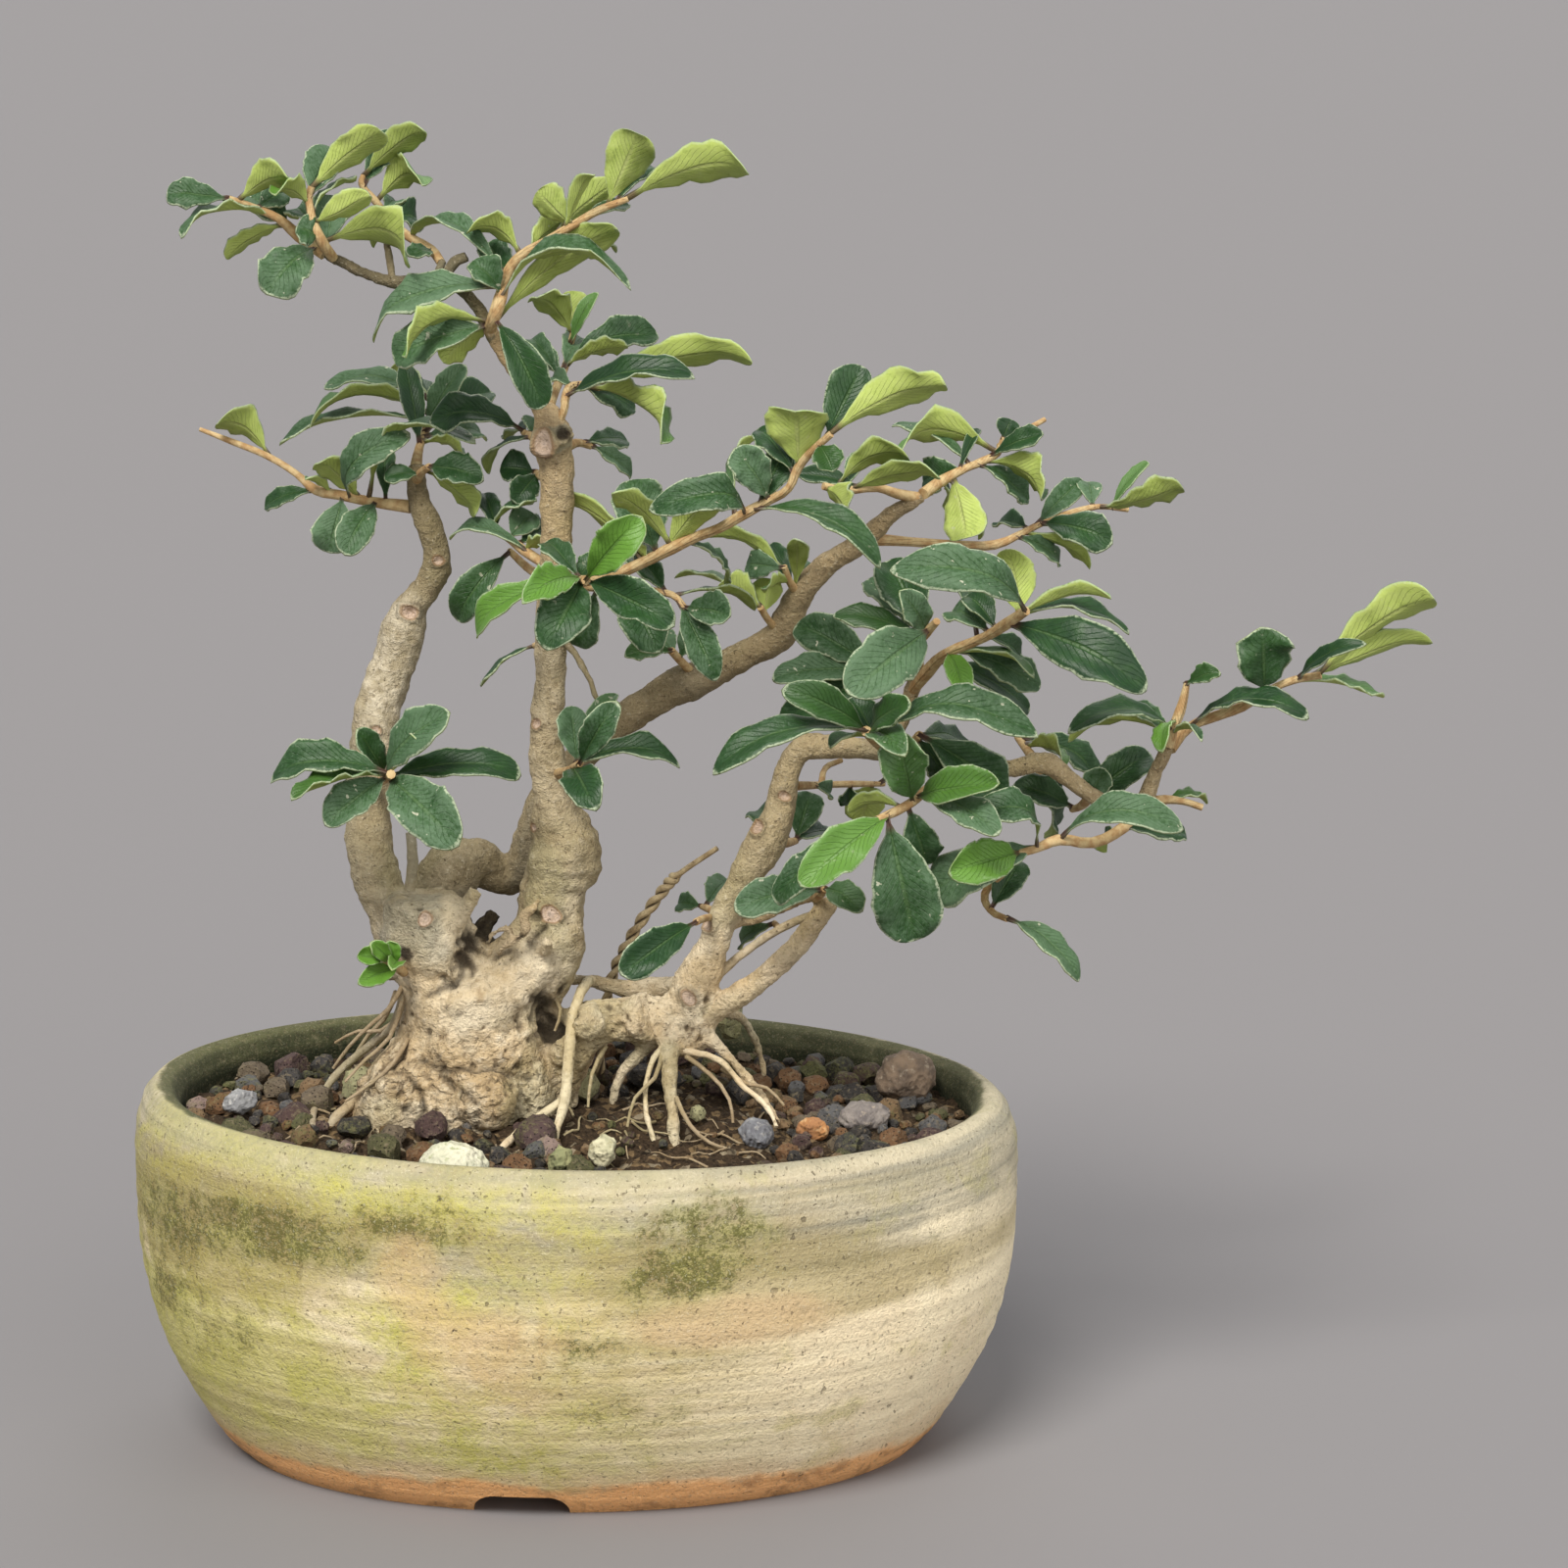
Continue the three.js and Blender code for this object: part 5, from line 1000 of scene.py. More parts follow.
    # the rim is darker; its inside carries moss and painted shade and is nearly black
    inner = f.kept("inner")
    rim = f.step(z, 70.0, 73.0)
    dim = f.step(fine * 0.5 + blotch * 0.5, 0.38, 0.62, 0.25, 0.75)
    f.paint(rim * dim, (0.29, 0.27, 0.19))
    shaded = f.step(y, -5.0, 30.0) * 0.35 + f.step(x, -80.0, -120.0) * 0.3
    # moss and painted shade together on the inside, more of both at the back and the left
    moss_and_shade = f.step(inner + (blotch - 0.5) * 0.7 + shaded, 0.35, 0.6) * f.step(inner, 0.02, 0.15)
    f.paint(moss_and_shade * 0.9, (0.060, 0.066, 0.024))
    # painted shade: the inside wall is painted nearly black
    f.paint(f.step(inner + (blotch - 0.5) * 0.4, 0.5, 0.85) * 0.92, (0.017, 0.022, 0.009))
    # soot-dark specks of all sizes and fine grime in the pores
    sown = f.step(broad, 0.42, 0.6, 0.25, 1.0)
    specks = f.step(f.cloud(2.1, 2, 0.5), 0.70, 0.73) * sown + f.step(f.cloud(0.9, 2, 0.5), 0.67, 0.71) * 0.8
    f.paint(specks * 0.6, (0.085, 0.062, 0.036))
    f.paint(f.step(fine, 0.46, 0.30) * 0.35, (0.22, 0.18, 0.105))
    f.paint(f.step(dust, 0.46, 0.30) * 0.25, (0.30, 0.25, 0.15))
    f.paint(f.step(dust, 0.56, 0.72) * 0.25 * (1 - inner), (0.84, 0.77, 0.60))
    relief = thin * 0.45 + fine * 0.75 + streaks * 0.5 - specks * 0.5 + dust * 0.35
    return f.wear(f.step(fine, 0.3, 0.7, 0.80, 0.95), f.relief(relief, 0.75, 0.9), shine=0.3)


def peat_finish(looks):
    """Dark peat with pale crumbs and threads."""
    f = Finish("soil")
    crumbs = f.cells(1.5)
    tone = f.node("SeparateColor", {}, {0: f.cells(1.5, output=1)})
    wide = f.cloud(12, 3)
    fine = f.cloud(0.7, 3, 0.7)
    f.coat = f.mix(f.step(wide, 0.35, 0.65), looks.peat, (0.050, 0.033, 0.020))
    f.paint(f.step(fine, 0.5, 0.7) * 0.7, (0.115, 0.078, 0.044))
    f.paint(f.step(tone, 0.80, 0.86) * 0.8, (0.20, 0.135, 0.070))
    f.paint(f.step(tone, 0.07, 0.03) * 0.7, (0.34, 0.28, 0.19))
    height = f.step(crumbs, 0.0, 0.7, 1.0, 0.0) + fine * 0.7
    return f.wear(0.97, f.relief(height, 0.8, 1.0), shine=0.15)


# The colours of the grains, each from its place between 0 and 1 on
GRIT_SHADES = [
    (0.0, (0.050, 0.046, 0.044)), (0.13, (0.150, 0.078, 0.036)), (0.26, (0.072, 0.042, 0.038)),
    (0.38, (0.085, 0.082, 0.036)), (0.50, (0.100, 0.098, 0.100)), (0.60, (0.190, 0.120, 0.062)),
    (0.72, (0.034, 0.030, 0.028)), (0.84, (0.130, 0.100, 0.068)), (0.91, (0.085, 0.052, 0.050)),
    (0.94, (0.26, 0.185, 0.16)), (0.96, (0.36, 0.345, 0.19)),
]


def grit_finish():
    """Pumice, lava and baked clay in one mix, a colour for each grain."""
    f = Finish("grit")
    f.coat = f.choice(f.kept("grain"), GRIT_SHADES)
    relief_tone = f.cloud(1.1, 4, 0.7)
    pores = f.cells(0.75)
    f.paint(f.step(relief_tone, 0.5, 0.68) * 0.6, (0.24, 0.19, 0.12))
    f.paint(f.step(relief_tone, 0.45, 0.30) * 0.6, (0.035, 0.028, 0.020))
    f.paint(f.step(pores, 0.26, 0.12) * 0.75, (0.025, 0.020, 0.016))
    green = f.step(f.cloud(18, 3), 0.50, 0.62) * f.step(relief_tone, 0.4, 0.6)
    f.paint(green * 0.5, (0.105, 0.115, 0.030))
    height = relief_tone + f.step(pores, 0.0, 0.3) * 0.8
    return f.wear(0.9, f.relief(height, 0.9, 1.0), shine=0.35)


def stone_finish(name, main, second, spots):
    f = Finish(name)
    relief_tone = f.cloud(4, 5, 0.65)
    f.coat = f.mix(f.step(relief_tone, 0.35, 0.65), main, second)
    f.paint(f.step(f.cloud(1.4, 3, 0.6), 0.56, 0.70) * 0.8, spots)
    f.paint(f.step(f.cells(1.7), 0.16, 0.06) * 0.5, (0.06, 0.05, 0.04))
    return f.wear(0.88, f.relief(relief_tone + f.cells(1.1) * 0.6, 0.6, 0.9))


def bark_finish(name, looks, slender=False):
    """Pale rough bark with pits, cracks and hollows painted dark as shade; each point carries how dark it
    is, its tone from the relief, and how much painted shade it has.
    """
    f = Finish(name)
    _, _, z = f.axes()
    dark, pit_shade, relief_tone, crust, warm = (f.kept(n) for n in ("dark", "pit_shade", "relief_tone", "crust", "warm"))
    wide = f.cloud(13, 4, 0.6)
    grain = f.cloud(2.6, 5, 0.7, twist=0.4)
    fine = f.cloud(0.8, 3, 0.7)
    lines = f.cloud(3.0, 4, 0.65, stretch=(0.5, 0.5, 1.6))
    f.coat = f.mix(f.step(wide, 0.40, 0.66), looks.pale, looks.tan)
    stem = f.step(z + (wide - 0.5) * 30, 98.0, 122.0)
    f.paint(stem * 0.8, looks.stem)
    f.paint(crust * f.step(grain * 0.6 + wide * 0.4, 0.40, 0.56) * 0.75, (0.50, 0.33, 0.155))
    # the tone follows the relief: raised bark paler as wear, sunk bark darker as painted shade
    f.paint(f.step(relief_tone + (grain - 0.5) * 0.6, 0.54, 0.80) * 0.65, (0.88, 0.77, 0.59))
    f.paint(f.step(relief_tone + (grain - 0.5) * 0.8, 0.42, 0.16) * 0.75, looks.old)
    f.paint(f.step(lines, 0.54, 0.68) * 0.3, looks.old)
    f.paint(f.step(f.cloud(24, 3, 0.5), 0.5, 0.62) * 0.4, looks.green)
    blue = f.step(f.cloud(17, 3, 0.5, stretch=(1, 1, 0.6)), 0.54, 0.64) * f.step(z, 96.0, 106.0)
    f.paint(blue * 0.5, (0.235, 0.245, 0.205))
    f.paint(warm, f.mix(grain, (0.40, 0.25, 0.115), (0.68, 0.49, 0.27)))
    f.paint(dark, looks.shade)
    f.paint(dark * f.step(grain, 0.46, 0.64) * 0.7, (0.24, 0.19, 0.11))
    ashen = f.mix(f.step(grain * 0.6 + wide * 0.4, 0.38, 0.6), (0.40, 0.335, 0.22), (0.70, 0.62, 0.47))
    f.paint(f.kept("pale") * f.step(wide, 0.3, 0.5, 0.6, 1.0), ashen)
    f.paint(f.step(fine, 0.46, 0.28) * 0.4, (0.14, 0.10, 0.055))
    f.paint(f.step(fine, 0.56, 0.72) * 0.3, (0.86, 0.76, 0.60))
    scar = f.kept("scar")
    f.paint(f.step(scar, 0.05, 0.5) * 0.7, (0.30, 0.17, 0.09))
    f.paint(f.step(scar, 0.5, 0.85) * f.step(grain, 0.3, 0.6, 0.6, 1.0), (0.80, 0.63, 0.51))
    # painted shade: pits, seams, cracks, hollows and scar edges painted nearly black
    f.paint(pit_shade, (0.026, 0.018, 0.011))
    crumbs = f.step(f.cells(1.7, place=f.bent(1.2, 0.9)), 0.5, 0.85)
    f.paint(crumbs * f.step(grain, 0.56, 0.46) * (crust * 0.5 + 0.2), (0.12, 0.078, 0.042))
    specks = f.step(f.cloud(0.9, 3, 0.6), 0.66, 0.72)
    f.paint(specks * 0.6, (0.10, 0.062, 0.032))
    height = grain * 1.0 + fine * 0.5 + lines * 0.4 - specks * 0.4 - crumbs * crust * 0.5
    return f.wear(0.88, f.relief(height, 0.45 if slender else 1.5, 1.0), shine=0.25)


def leaf_finish(looks):
    """Leaves and their twigs: veins, a pale rim, a bloom on old blades, and a paler underside."""
    f = Finish("leaf")
    along, across = f.parts(f.node("UVMap", {"uv_map": "blade"}, {}), "XY")
    across = abs(across - 0.5) * 2
    young, under, tone, woody = (f.kept(n) for n in ("young", "under", "tone", "woody"))
    cloud = f.cloud(5, 4, 0.6)
    dust = f.cloud(0.7, 3, 0.75)
    grime = f.cloud(2.2, 4, 0.7)
    rib = f.step(across, 0.11, 0.03) * f.step(along, 1.0, 0.6)
    slant = (along * 1.9 - across * 0.55) * 7.5 + (cloud - 0.5) * 1.2
    vein = f.node("Math", {"operation": "PINGPONG"}, {0: slant, 1: 0.5})
    vein = f.step(vein, 0.10, 0.0) * f.step(across, 0.9, 0.5)
    rim = f.step(across + (dust - 0.5) * 0.16, 0.90, 0.98)
    rim = rim + f.step(along + (dust - 0.5) * 0.03, 0.975, 0.993) * (1 - rim)
    top = f.mix(tone, looks.deep, looks.grown)
    top = f.mix(f.step(cloud, 0.40, 0.66) * 0.45, top, looks.grown)
    top = f.mix(f.step(grime, 0.5, 0.3) * 0.4, top, (0.012, 0.040, 0.016))
    top = f.mix(f.step(young, 0.25, 0.9), top, looks.young)
    bloom = f.step(dust * 0.8 + grime * 0.5 + tone * 0.45 + across * 0.12, 0.80, 1.25) * (1 - young)
    top = f.mix(bloom * 0.5, top, looks.bloom)
    top = f.mix(rib * 0.35, top, looks.rib)
    top = f.mix(vein * 0.07, top, looks.rib)
    back = f.mix(f.step(tone + young * 0.6, 0.1, 1.0), looks.under, looks.under_fresh)
    back = f.mix(f.step(grime, 0.36, 0.62) * 0.35, back, (0.36, 0.41, 0.145))
    back = f.mix(f.step(grime, 0.48, 0.30) * 0.35, back, (0.125, 0.165, 0.040))
    back = f.mix(rib * 0.35, back, (0.40, 0.42, 0.18))
    back = f.mix(vein * 0.22, back, (0.24, 0.29, 0.09))
    f.coat = f.mix(under, top, back)
    f.paint(rim * f.step(dust, 0.30, 0.52) * (0.8 - young * 0.3 - under * 0.25), looks.edge)
    spots = f.step(f.cloud(1.6, 2, 0.5), 0.69, 0.73) * f.step(tone, 0.3, 0.6) * (1 - young)
    f.paint(spots * 0.8, (0.50, 0.50, 0.38))
    stalk = f.step(along, 0.15, 0.06)
    f.paint(stalk * 0.85, looks.stalk)
    twig = f.mix(f.step(f.cloud(2.0, 3, 0.6), 0.35, 0.65), looks.twig, (0.56, 0.42, 0.22))
    f.paint(woody, twig)
    rough = f.mix(under, f.mix(bloom, (0.40,) * 3, (0.72,) * 3), (0.70,) * 3)
    rough = f.mix(woody, rough, (0.85,) * 3)
    height = vein * -0.35 - rib * 0.7 + dust * 0.3 + grime * 0.5 + cloud * 0.3
    return f.wear(rough, f.relief(height, 0.4, 0.8), shine=0.33)


def mesh_finish():
    f = Finish("drain_mesh")
    relief_tone = f.cloud(3, 3)
    f.coat = f.mix(f.step(relief_tone, 0.4, 0.7) * 0.5, (0.018, 0.022, 0.022), (0.07, 0.06, 0.045))
    return f.wear(f.step(relief_tone, 0.3, 0.7, 0.45, 0.75), f.relief(relief_tone, 0.2, 0.5))


def dry_finish():
    f = Finish("dry_stem")
    relief_tone = f.cloud(3, 4, 0.6)
    f.coat = f.mix(f.step(relief_tone, 0.35, 0.65), (0.56, 0.45, 0.27), (0.36, 0.26, 0.14))
    f.paint(f.step(f.cloud(0.6, 3), 0.5, 0.7) * 0.5, (0.09, 0.06, 0.03))
    # painted shade, nearly black, in the groove between the two twisted strands
    f.paint(f.step(f.kept("groove_shade"), 0.20, 0.50) * 0.9, (0.06, 0.038, 0.02))
    return f.wear(0.9, f.relief(relief_tone + f.cloud(0.5, 2) * 0.6, 0.35, 0.8))


# The pot


def colour_choice(name, what, value):
    return FloatVectorProperty(
        name=name, description=what, default=value, size=3, min=0, max=1, subtype="COLOR"
    )


class PotLooks(bpy.types.PropertyGroup):
    ridge: FloatProperty(
        name="Throwing ridge", description="Height of the ridges left by throwing",
        default=0.00009, min=0, max=0.001, unit="LENGTH", precision=5)
    cream: colour_choice("Cream", "Palest clay", (0.80, 0.69, 0.46))
    buff: colour_choice("Buff", "Clay between the pale streaks", (0.56, 0.455, 0.27))
    peach: colour_choice("Peach", "Warm patches of the clay", (0.60, 0.41, 0.235))
    band: colour_choice("Weathered band", "Grey band below the rim", (0.240, 0.230, 0.185))
    film: colour_choice("Algae film", "Thin yellow-green film", (0.50, 0.465, 0.130))
    damp: colour_choice("Damp clay", "Clay below thick growth", (0.30, 0.235, 0.088))
    moss: colour_choice("Moss", "Thick dark green growth", (0.085, 0.086, 0.017))
    foot: colour_choice("Foot", "Bare terracotta at the foot", (0.82, 0.42, 0.165))


CUTTER_DEEP = 30  # the length in mm of the round cutters for the drain holes
ARCH_SLACK = 3  # the arch in the foot is this much narrower than the solids' notch, in mm
ARCH_ROUND = 4.2  # the radius of the arch's upper edges, in mm


def turns(count):
    """The angles of so many points round a ring."""
    return [2 * math.pi * j / count for j in range(count)]


def wall_rings(looks):
    """The pot's section swept round its oval, with throwing ridges on the outside."""
    angles = turns(ROUND)
    rings, inner = [], []

    def add(half_wide, z, inside, ridge=0.0):
        ring = []
        for angle in angles:
            place = oval(half_wide, z, angle)
            if ridge:
                drift = z + 1.6 * math.sin(angle + 0.7)
                lump = math.sin(1.25 * drift) + 0.7 * math.sin(2.9 * drift + math.sin(2 * angle))
                soft = noise.noise(place * 38)
                out = Vector((math.cos(angle), math.sin(angle), 0))
                place = place + out * (ridge * lump + 0.0004 * soft)
            ring.append(place)
        rings.append(ring)
        inner.append(inside)

    add(1, RECESS, 0)
    add(FOOT_INNER - 1, RECESS, 0)
    add(FOOT_INNER, 0, 0)
    add(FOOT_INNER + 1.5, 0, 0)
    add(WALL_OUTSIDE[0][0] - 1, 0, 0)
    for half_wide, z in smooth_row(WALL_OUTSIDE, 8):
        add(half_wide, z, 0, looks.ridge if 2 < z < 68 else 0)
    for half_wide, z in smooth_row([WALL_OUTSIDE[-1], *WALL_RIM, WALL_INSIDE[0]], 6)[1:]:
        add(half_wide, z, max(0.0, min(0.7, (86.0 - half_wide) / 6)))  # the rim grows darker inwards with painted shade
    for half_wide, z in smooth_row(WALL_INSIDE, 5)[1:]:
        add(half_wide, z, 1)
    add(1, FLOOR_TOP, 1)
    return rings, inner


class BONSAI_OT_pot(bpy.types.Operator):
    """Throws the oval pot with its drain holes and the arches through its foot"""

    bl_idname = "bonsai.pot"
    bl_label = "Pot"

    def execute(self, context):
        looks = context.scene.bonsai_pot
        rings, inner = wall_rings(looks)
        pot = loft("clay_pot", rings)
        note(pot, "inner", np.repeat(inner, ROUND))
        middle = -CENTRE_X * MM
        for side in (-1, 1):
            place = (middle + side * DRAIN_X * MM, 0, FLOOR_TOP * MM)
            carve(pot, start("cylinder", "drain_cutter", vertices=40, radius=DRAIN_WIDE / 2 * MM,
                             depth=CUTTER_DEEP * MM, location=place))
        place = (middle + NOTCH_X * MM, 0, NOTCH_HIGH / 2 * MM)
        arch = start("cube", "arch_cutter", size=1, location=place)
        arch.scale = ((NOTCH_WIDE - ARCH_SLACK) * MM, 0.2, 1.06 * NOTCH_HIGH * MM)
        place_in_mesh(arch)
        with editing(arch, "DESELECT"):
            mesh = bmesh.from_edit_mesh(arch.data)
            for line in mesh.edges:
                a, b = (v.co for v in line.verts)
                line.select = a.z > 0 and b.z > 0 and a.x == b.x
            bmesh.update_edit_mesh(arch.data)
            bpy.ops.mesh.bevel(offset=ARCH_ROUND * MM, segments=8)
        carve(pot, arch)
        shade(pot, 42)
        hand_over(pot, clay_finish(looks), "pot_clay", "pot")
        return {"FINISHED"}


# A screen's meshes to a side, how thick its threads are and how far its edge is drawn in, both in mm
MESHES, THREAD, DRAWN_IN = 11, 0.85, 0.8


class BONSAI_OT_drain(bpy.types.Operator):
    """Lays a plastic mesh pad over each drain hole"""

    bl_idname = "bonsai.drain"
    bl_label = "Drain mesh"

    def execute(self, context):
        finish = mesh_finish()
        for side in ("left", "right"):
            low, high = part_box(f"drain_screen_{side}")
            pad = start("grid", f"drain_mesh_{side}", x_subdivisions=MESHES, y_subdivisions=MESHES,
                        size=(SCREEN_SIDE - DRAWN_IN) * MM, location=(low + high) / 2)
            place_in_mesh(pad)
            finish_with(pad, "WIREFRAME", thickness=THREAD * MM, use_even_offset=False)
            finish_with(pad, "SUBSURF", levels=1, render_levels=1)
            shade(pad)
            hand_over(pad, finish, "drain_mesh", f"drain_screen_{side}")
        return {"FINISHED"}


# The filling and the stones


class FillingLooks(bpy.types.PropertyGroup):
    grains: IntProperty(
        name="Grains", description="How many coarse grains are tried", default=2600, min=100, max=6000)
    crumb: FloatProperty(
        name="Crumb", description="Height of the peat's crumbs", default=0.0009, min=0, max=0.003,
        unit="LENGTH", precision=4)
    peat: colour_choice("Peat", "Dark peat", (0.042, 0.028, 0.017))


def angular_grain(name, seed):
    """A lump of radius 1 with flats sliced off it, as broken stone has."""
    rand = random.Random(seed)
    grain = start("ico_sphere", name, subdivisions=2, radius=1)
    with editing(grain):
        for _ in range(6):
            bpy.ops.mesh.select_all(action="SELECT")
            away = Vector([rand.uniform(-1, 1) for _ in range(3)]).normalized()
            bpy.ops.mesh.bisect(
                plane_co=away * rand.uniform(0.62, 0.85), plane_no=away, use_fill=True, clear_outer=True)
        turn_outwards()
    places = points_of(grain)
    rough = [noise.noise(Vector(p) * 2.6 + Vector((seed, 0, 0))) for p in places]
    places *= 1 + 0.22 * np.array(rough)[:, None]
    move_points(grain, places)
    return grain


def grain_places(looks):
    """Where the coarse grains lie: the large ones that the solid has, then all that fit between them."""
    draw = draws(7)
    laid = []

    def from_middle(x, y, radius):
        return math.hypot(x / (BRIM - radius), y / (BRIM - OVAL - radius))

    for row in range(-6, 7):
        for column in range(-9, 10):
            x = (column + (0.5 if row % 2 else 0) + 0.5 * (next(draw) - 0.5)) * GRAIN_STEP
            y = (row + 0.5 * (next(draw) - 0.5)) * GRAIN_STEP * 0.87
            radius = GRAIN_SMALL + (GRAIN_LARGE - GRAIN_SMALL) * next(draw)
            next(draw), next(draw)  # the solid's own grains take two more
            if from_middle(x, y, radius) < 0.99 and not is_bare(x, y):
                laid.append((x, y, radius))
    rand = random.Random(41)
    for _ in range(looks.grains):
        radius = 1.0 + 2.6 * rand.random() ** 1.6
        x, y = rand.uniform(-BRIM, BRIM), rand.uniform(OVAL - BRIM, BRIM - OVAL)
        if from_middle(x, y, radius) > 0.995:
            continue
        if is_bare(x, y) and (radius > 1.6 or rand.random() < 0.8):
            continue
        if all(math.hypot(x - a, y - b) > 0.86 * (radius + r) for a, b, r in laid):
            laid.append((x, y, radius))
    return laid


BODY_TOP = SOIL_LEVEL - 4  # the peat's body ends flat below its crumbly top


class BONSAI_OT_filling(bpy.types.Operator):
    """Fills the pot with crumbly peat"""

    bl_idname = "bonsai.filling"
    bl_label = "Peat"

    def execute(self, context):
        looks = context.scene.bonsai_filling
        angles = turns(72)
        rings = [[oval(1, FLOOR_TOP + GAP, a) for a in angles]]
        for half, z in reversed(WALL_INSIDE[1:]):
            rings.append([oval(half, z + GAP, a, GAP + 0.1) for a in angles])
        rings.append([oval(BRIM, BODY_TOP, a, GAP + 0.1) for a in angles])
        rings.append([oval(1, BODY_TOP, a) for a in angles])
        body = loft("peat_body", rings)
        top = start("grid", "peat_top", x_subdivisions=190, y_subdivisions=136, size=2)
        places = points_of(top)
        wall_x, wall_y = BRIM + 0.6, BRIM - OVAL + 0.6
        places *= (wall_x, wall_y, 1)
        for place in places:
            lump = noise.fractal(Vector((place[0], place[1], 0)) * 0.42, 0.7, 2.1, 4)
            place[2] = soil_top(place[0], place[1]) + lump * looks.crumb / MM - 0.4
            place[0] -= CENTRE_X
        move_points(top, places * MM)

        def past_wall(at):
            x, y, _ = at / MM
            return math.hypot((x + CENTRE_X) / wall_x, y / wall_y) > 1

        with editing(top, "DESELECT"):
            choose_faces(top, past_wall)
            bpy.ops.mesh.delete(type="FACE")
            turn_outwards()
        shade(top)
        filling = joined("peat_filling", [body, top])
        hand_over(filling, peat_finish(looks), "soil", "soil_with_grit")
        return {"FINISHED"}


# A few more large grains between the roots: the spot, the radius in mm and the place in GRIT_SHADES
LARGE_GRAINS = [
    (592, 1104, 4, 4.2, 0.97), (368, 1108, 2, 4.0, 0.97), (556, 1176, -30, 3.4, 0.945),
    (712, 1136, -6, 1.7, 0.97), (744, 1040, 24, 4.0, 0.97),
]


class BONSAI_OT_grit(bpy.types.Operator):
    """Scatters coarse grit over the peat"""

    bl_idname = "bonsai.grit"
    bl_label = "Grit"

    def execute(self, context):
        looks = context.scene.bonsai_filling
        models = [angular_grain(f"grain_{i}", 60 + i) for i in range(8)]
        rand = random.Random(5)
        grains = []

        def lay(grain, placed, shade_of):
            grain.data.transform(placed)
            note(grain, "grain", [shade_of] * len(grain.data.vertices))
            grains.append(grain)

        for x, y, radius in grain_places(looks):
            grain = copy_of(rand.choice(models))
            turn = Matrix.Rotation(rand.uniform(0, 6.28), 4, "Z")
            turn = turn @ Matrix.Rotation(rand.uniform(-0.7, 0.7), 4, "X")
            flat = Matrix.Diagonal((1, rand.uniform(0.72, 1), rand.uniform(0.66, 0.95), 1))
            middle = Vector((x - CENTRE_X, y, soil_top(x, y) + radius * rand.uniform(0.2, 0.5)))
            # the right half has more of the later shades
            shade_of = (rand.random() + (0.12 if x > 20 else -0.05)) % 0.945
            placed = Matrix.Translation(middle * MM) @ Matrix.Scale(radius * 1.12 * MM, 4)
            lay(grain, placed @ turn @ flat, shade_of)
        for u, v, y, radius, shade_of in LARGE_GRAINS:
            placed = Matrix.Translation(spot(u, v, y)) @ Matrix.Scale(radius * MM, 4)
            lay(copy_of(rand.choice(models)), placed, shade_of)
        for model in models:
            bpy.data.objects.remove(model)
        grit = joined("grit", grains)
        shade(grit, 30)
        hand_over(grit, grit_finish(), "soil")
        return {"FINISHED"}


# The larger stones: the slot, the main and the second colour, and that of the spots
STONES = {
    "stone_white_front": ("stone_pale", (0.68, 0.65, 0.50), (0.50, 0.50, 0.36), (0.30, 0.33, 0.16)),
    "stone_mossy_front": ("stone_pale", (0.30, 0.29, 0.14), (0.20, 0.21, 0.10), (0.13, 0.12, 0.07)),
    "stone_pale_front": ("stone_pale", (0.60, 0.56, 0.38), (0.44, 0.42, 0.27), (0.30, 0.26, 0.14)),
    "stone_orange_right": ("stone_coloured", (0.45, 0.21, 0.075), (0.30, 0.14, 0.06), (0.55, 0.36, 0.18)),
    "stone_grey_right": ("stone_coloured", (0.24, 0.21, 0.19), (0.15, 0.13, 0.125), (0.36, 0.30, 0.24)),
    "stone_blue_right": ("stone_coloured", (0.20, 0.205, 0.22), (0.12, 0.12, 0.135), (0.32, 0.31, 0.30)),
    "stone_brown_back_right": (
        "stone_coloured", (0.24, 0.17, 0.115), (0.13, 0.095, 0.07), (0.34, 0.28, 0.21)),
    "stone_grey_left": ("stone_coloured", (0.32, 0.32, 0.32), (0.20, 0.20, 0.21), (0.45, 0.44, 0.42)),
}


class BONSAI_OT_stones(bpy.types.Operator):
    """Weathers the larger stones"""

    bl_idname = "bonsai.stones"
    bl_label = "Larger stones"

    def execute(self, context):
        for i, (node, (slot, main, second, spots)) in enumerate(STONES.items()):
            stone = copy_of(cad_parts[node])
            stone.parent = None
            for key in list(stone.keys()):
                del stone[key]
            stone.name = node.replace("stone", "weathered_stone")
            with editing(stone):
                bpy.ops.mesh.remove_doubles(threshold=0.00001)
                bpy.ops.mesh.tris_convert_to_quads()
                bpy.ops.mesh.subdivide(number_cuts=3, smoothness=0)
                bpy.ops.mesh.vertices_smooth(factor=0.5, repeat=2)
                bpy.ops.mesh.subdivide(number_cuts=1, smoothness=0)
            places, normals = points_of(stone), points_of(stone, "normal")
            for place, normal in zip(places, normals):
                at = Vector(place) * 1000 + Vector((i * 7, 0, 0))
                lump = noise.fractal(at * 0.45, 0.8, 2.1, 4)
                place += normal * lump * 0.00042
            move_points(stone, places)
            shade(stone, 50)
            finish = stone_finish(stone.name, main, second, spots)
            hand_over(stone, finish, slot, node)
        return {"FINISHED"}


# The wood


class WoodLooks(bpy.types.PropertyGroup):
    grain: FloatProperty(
        name="Grain of the surface", description="Size of the faces of the bark",
        default=0.00072, min=0.0003, max=0.003, unit="LENGTH", precision=4)
    pale: colour_choice("Pale bark", "Lightest bark", (0.86, 0.735, 0.53))
    tan: colour_choice("Tan bark", "Bark between the pale places", (0.66, 0.51, 0.31))
    stem: colour_choice("Stem bark", "Smoother bark of the stems", (0.41, 0.335, 0.190))
    old: colour_choice("Old bark", "Rough old bark", (0.235, 0.160, 0.085))
    green: colour_choice("Green bark", "Bark with a green cast", (0.36, 0.335, 0.165))
    shade: colour_choice("Dark bark", "The darker limbs", (0.075, 0.062, 0.034))


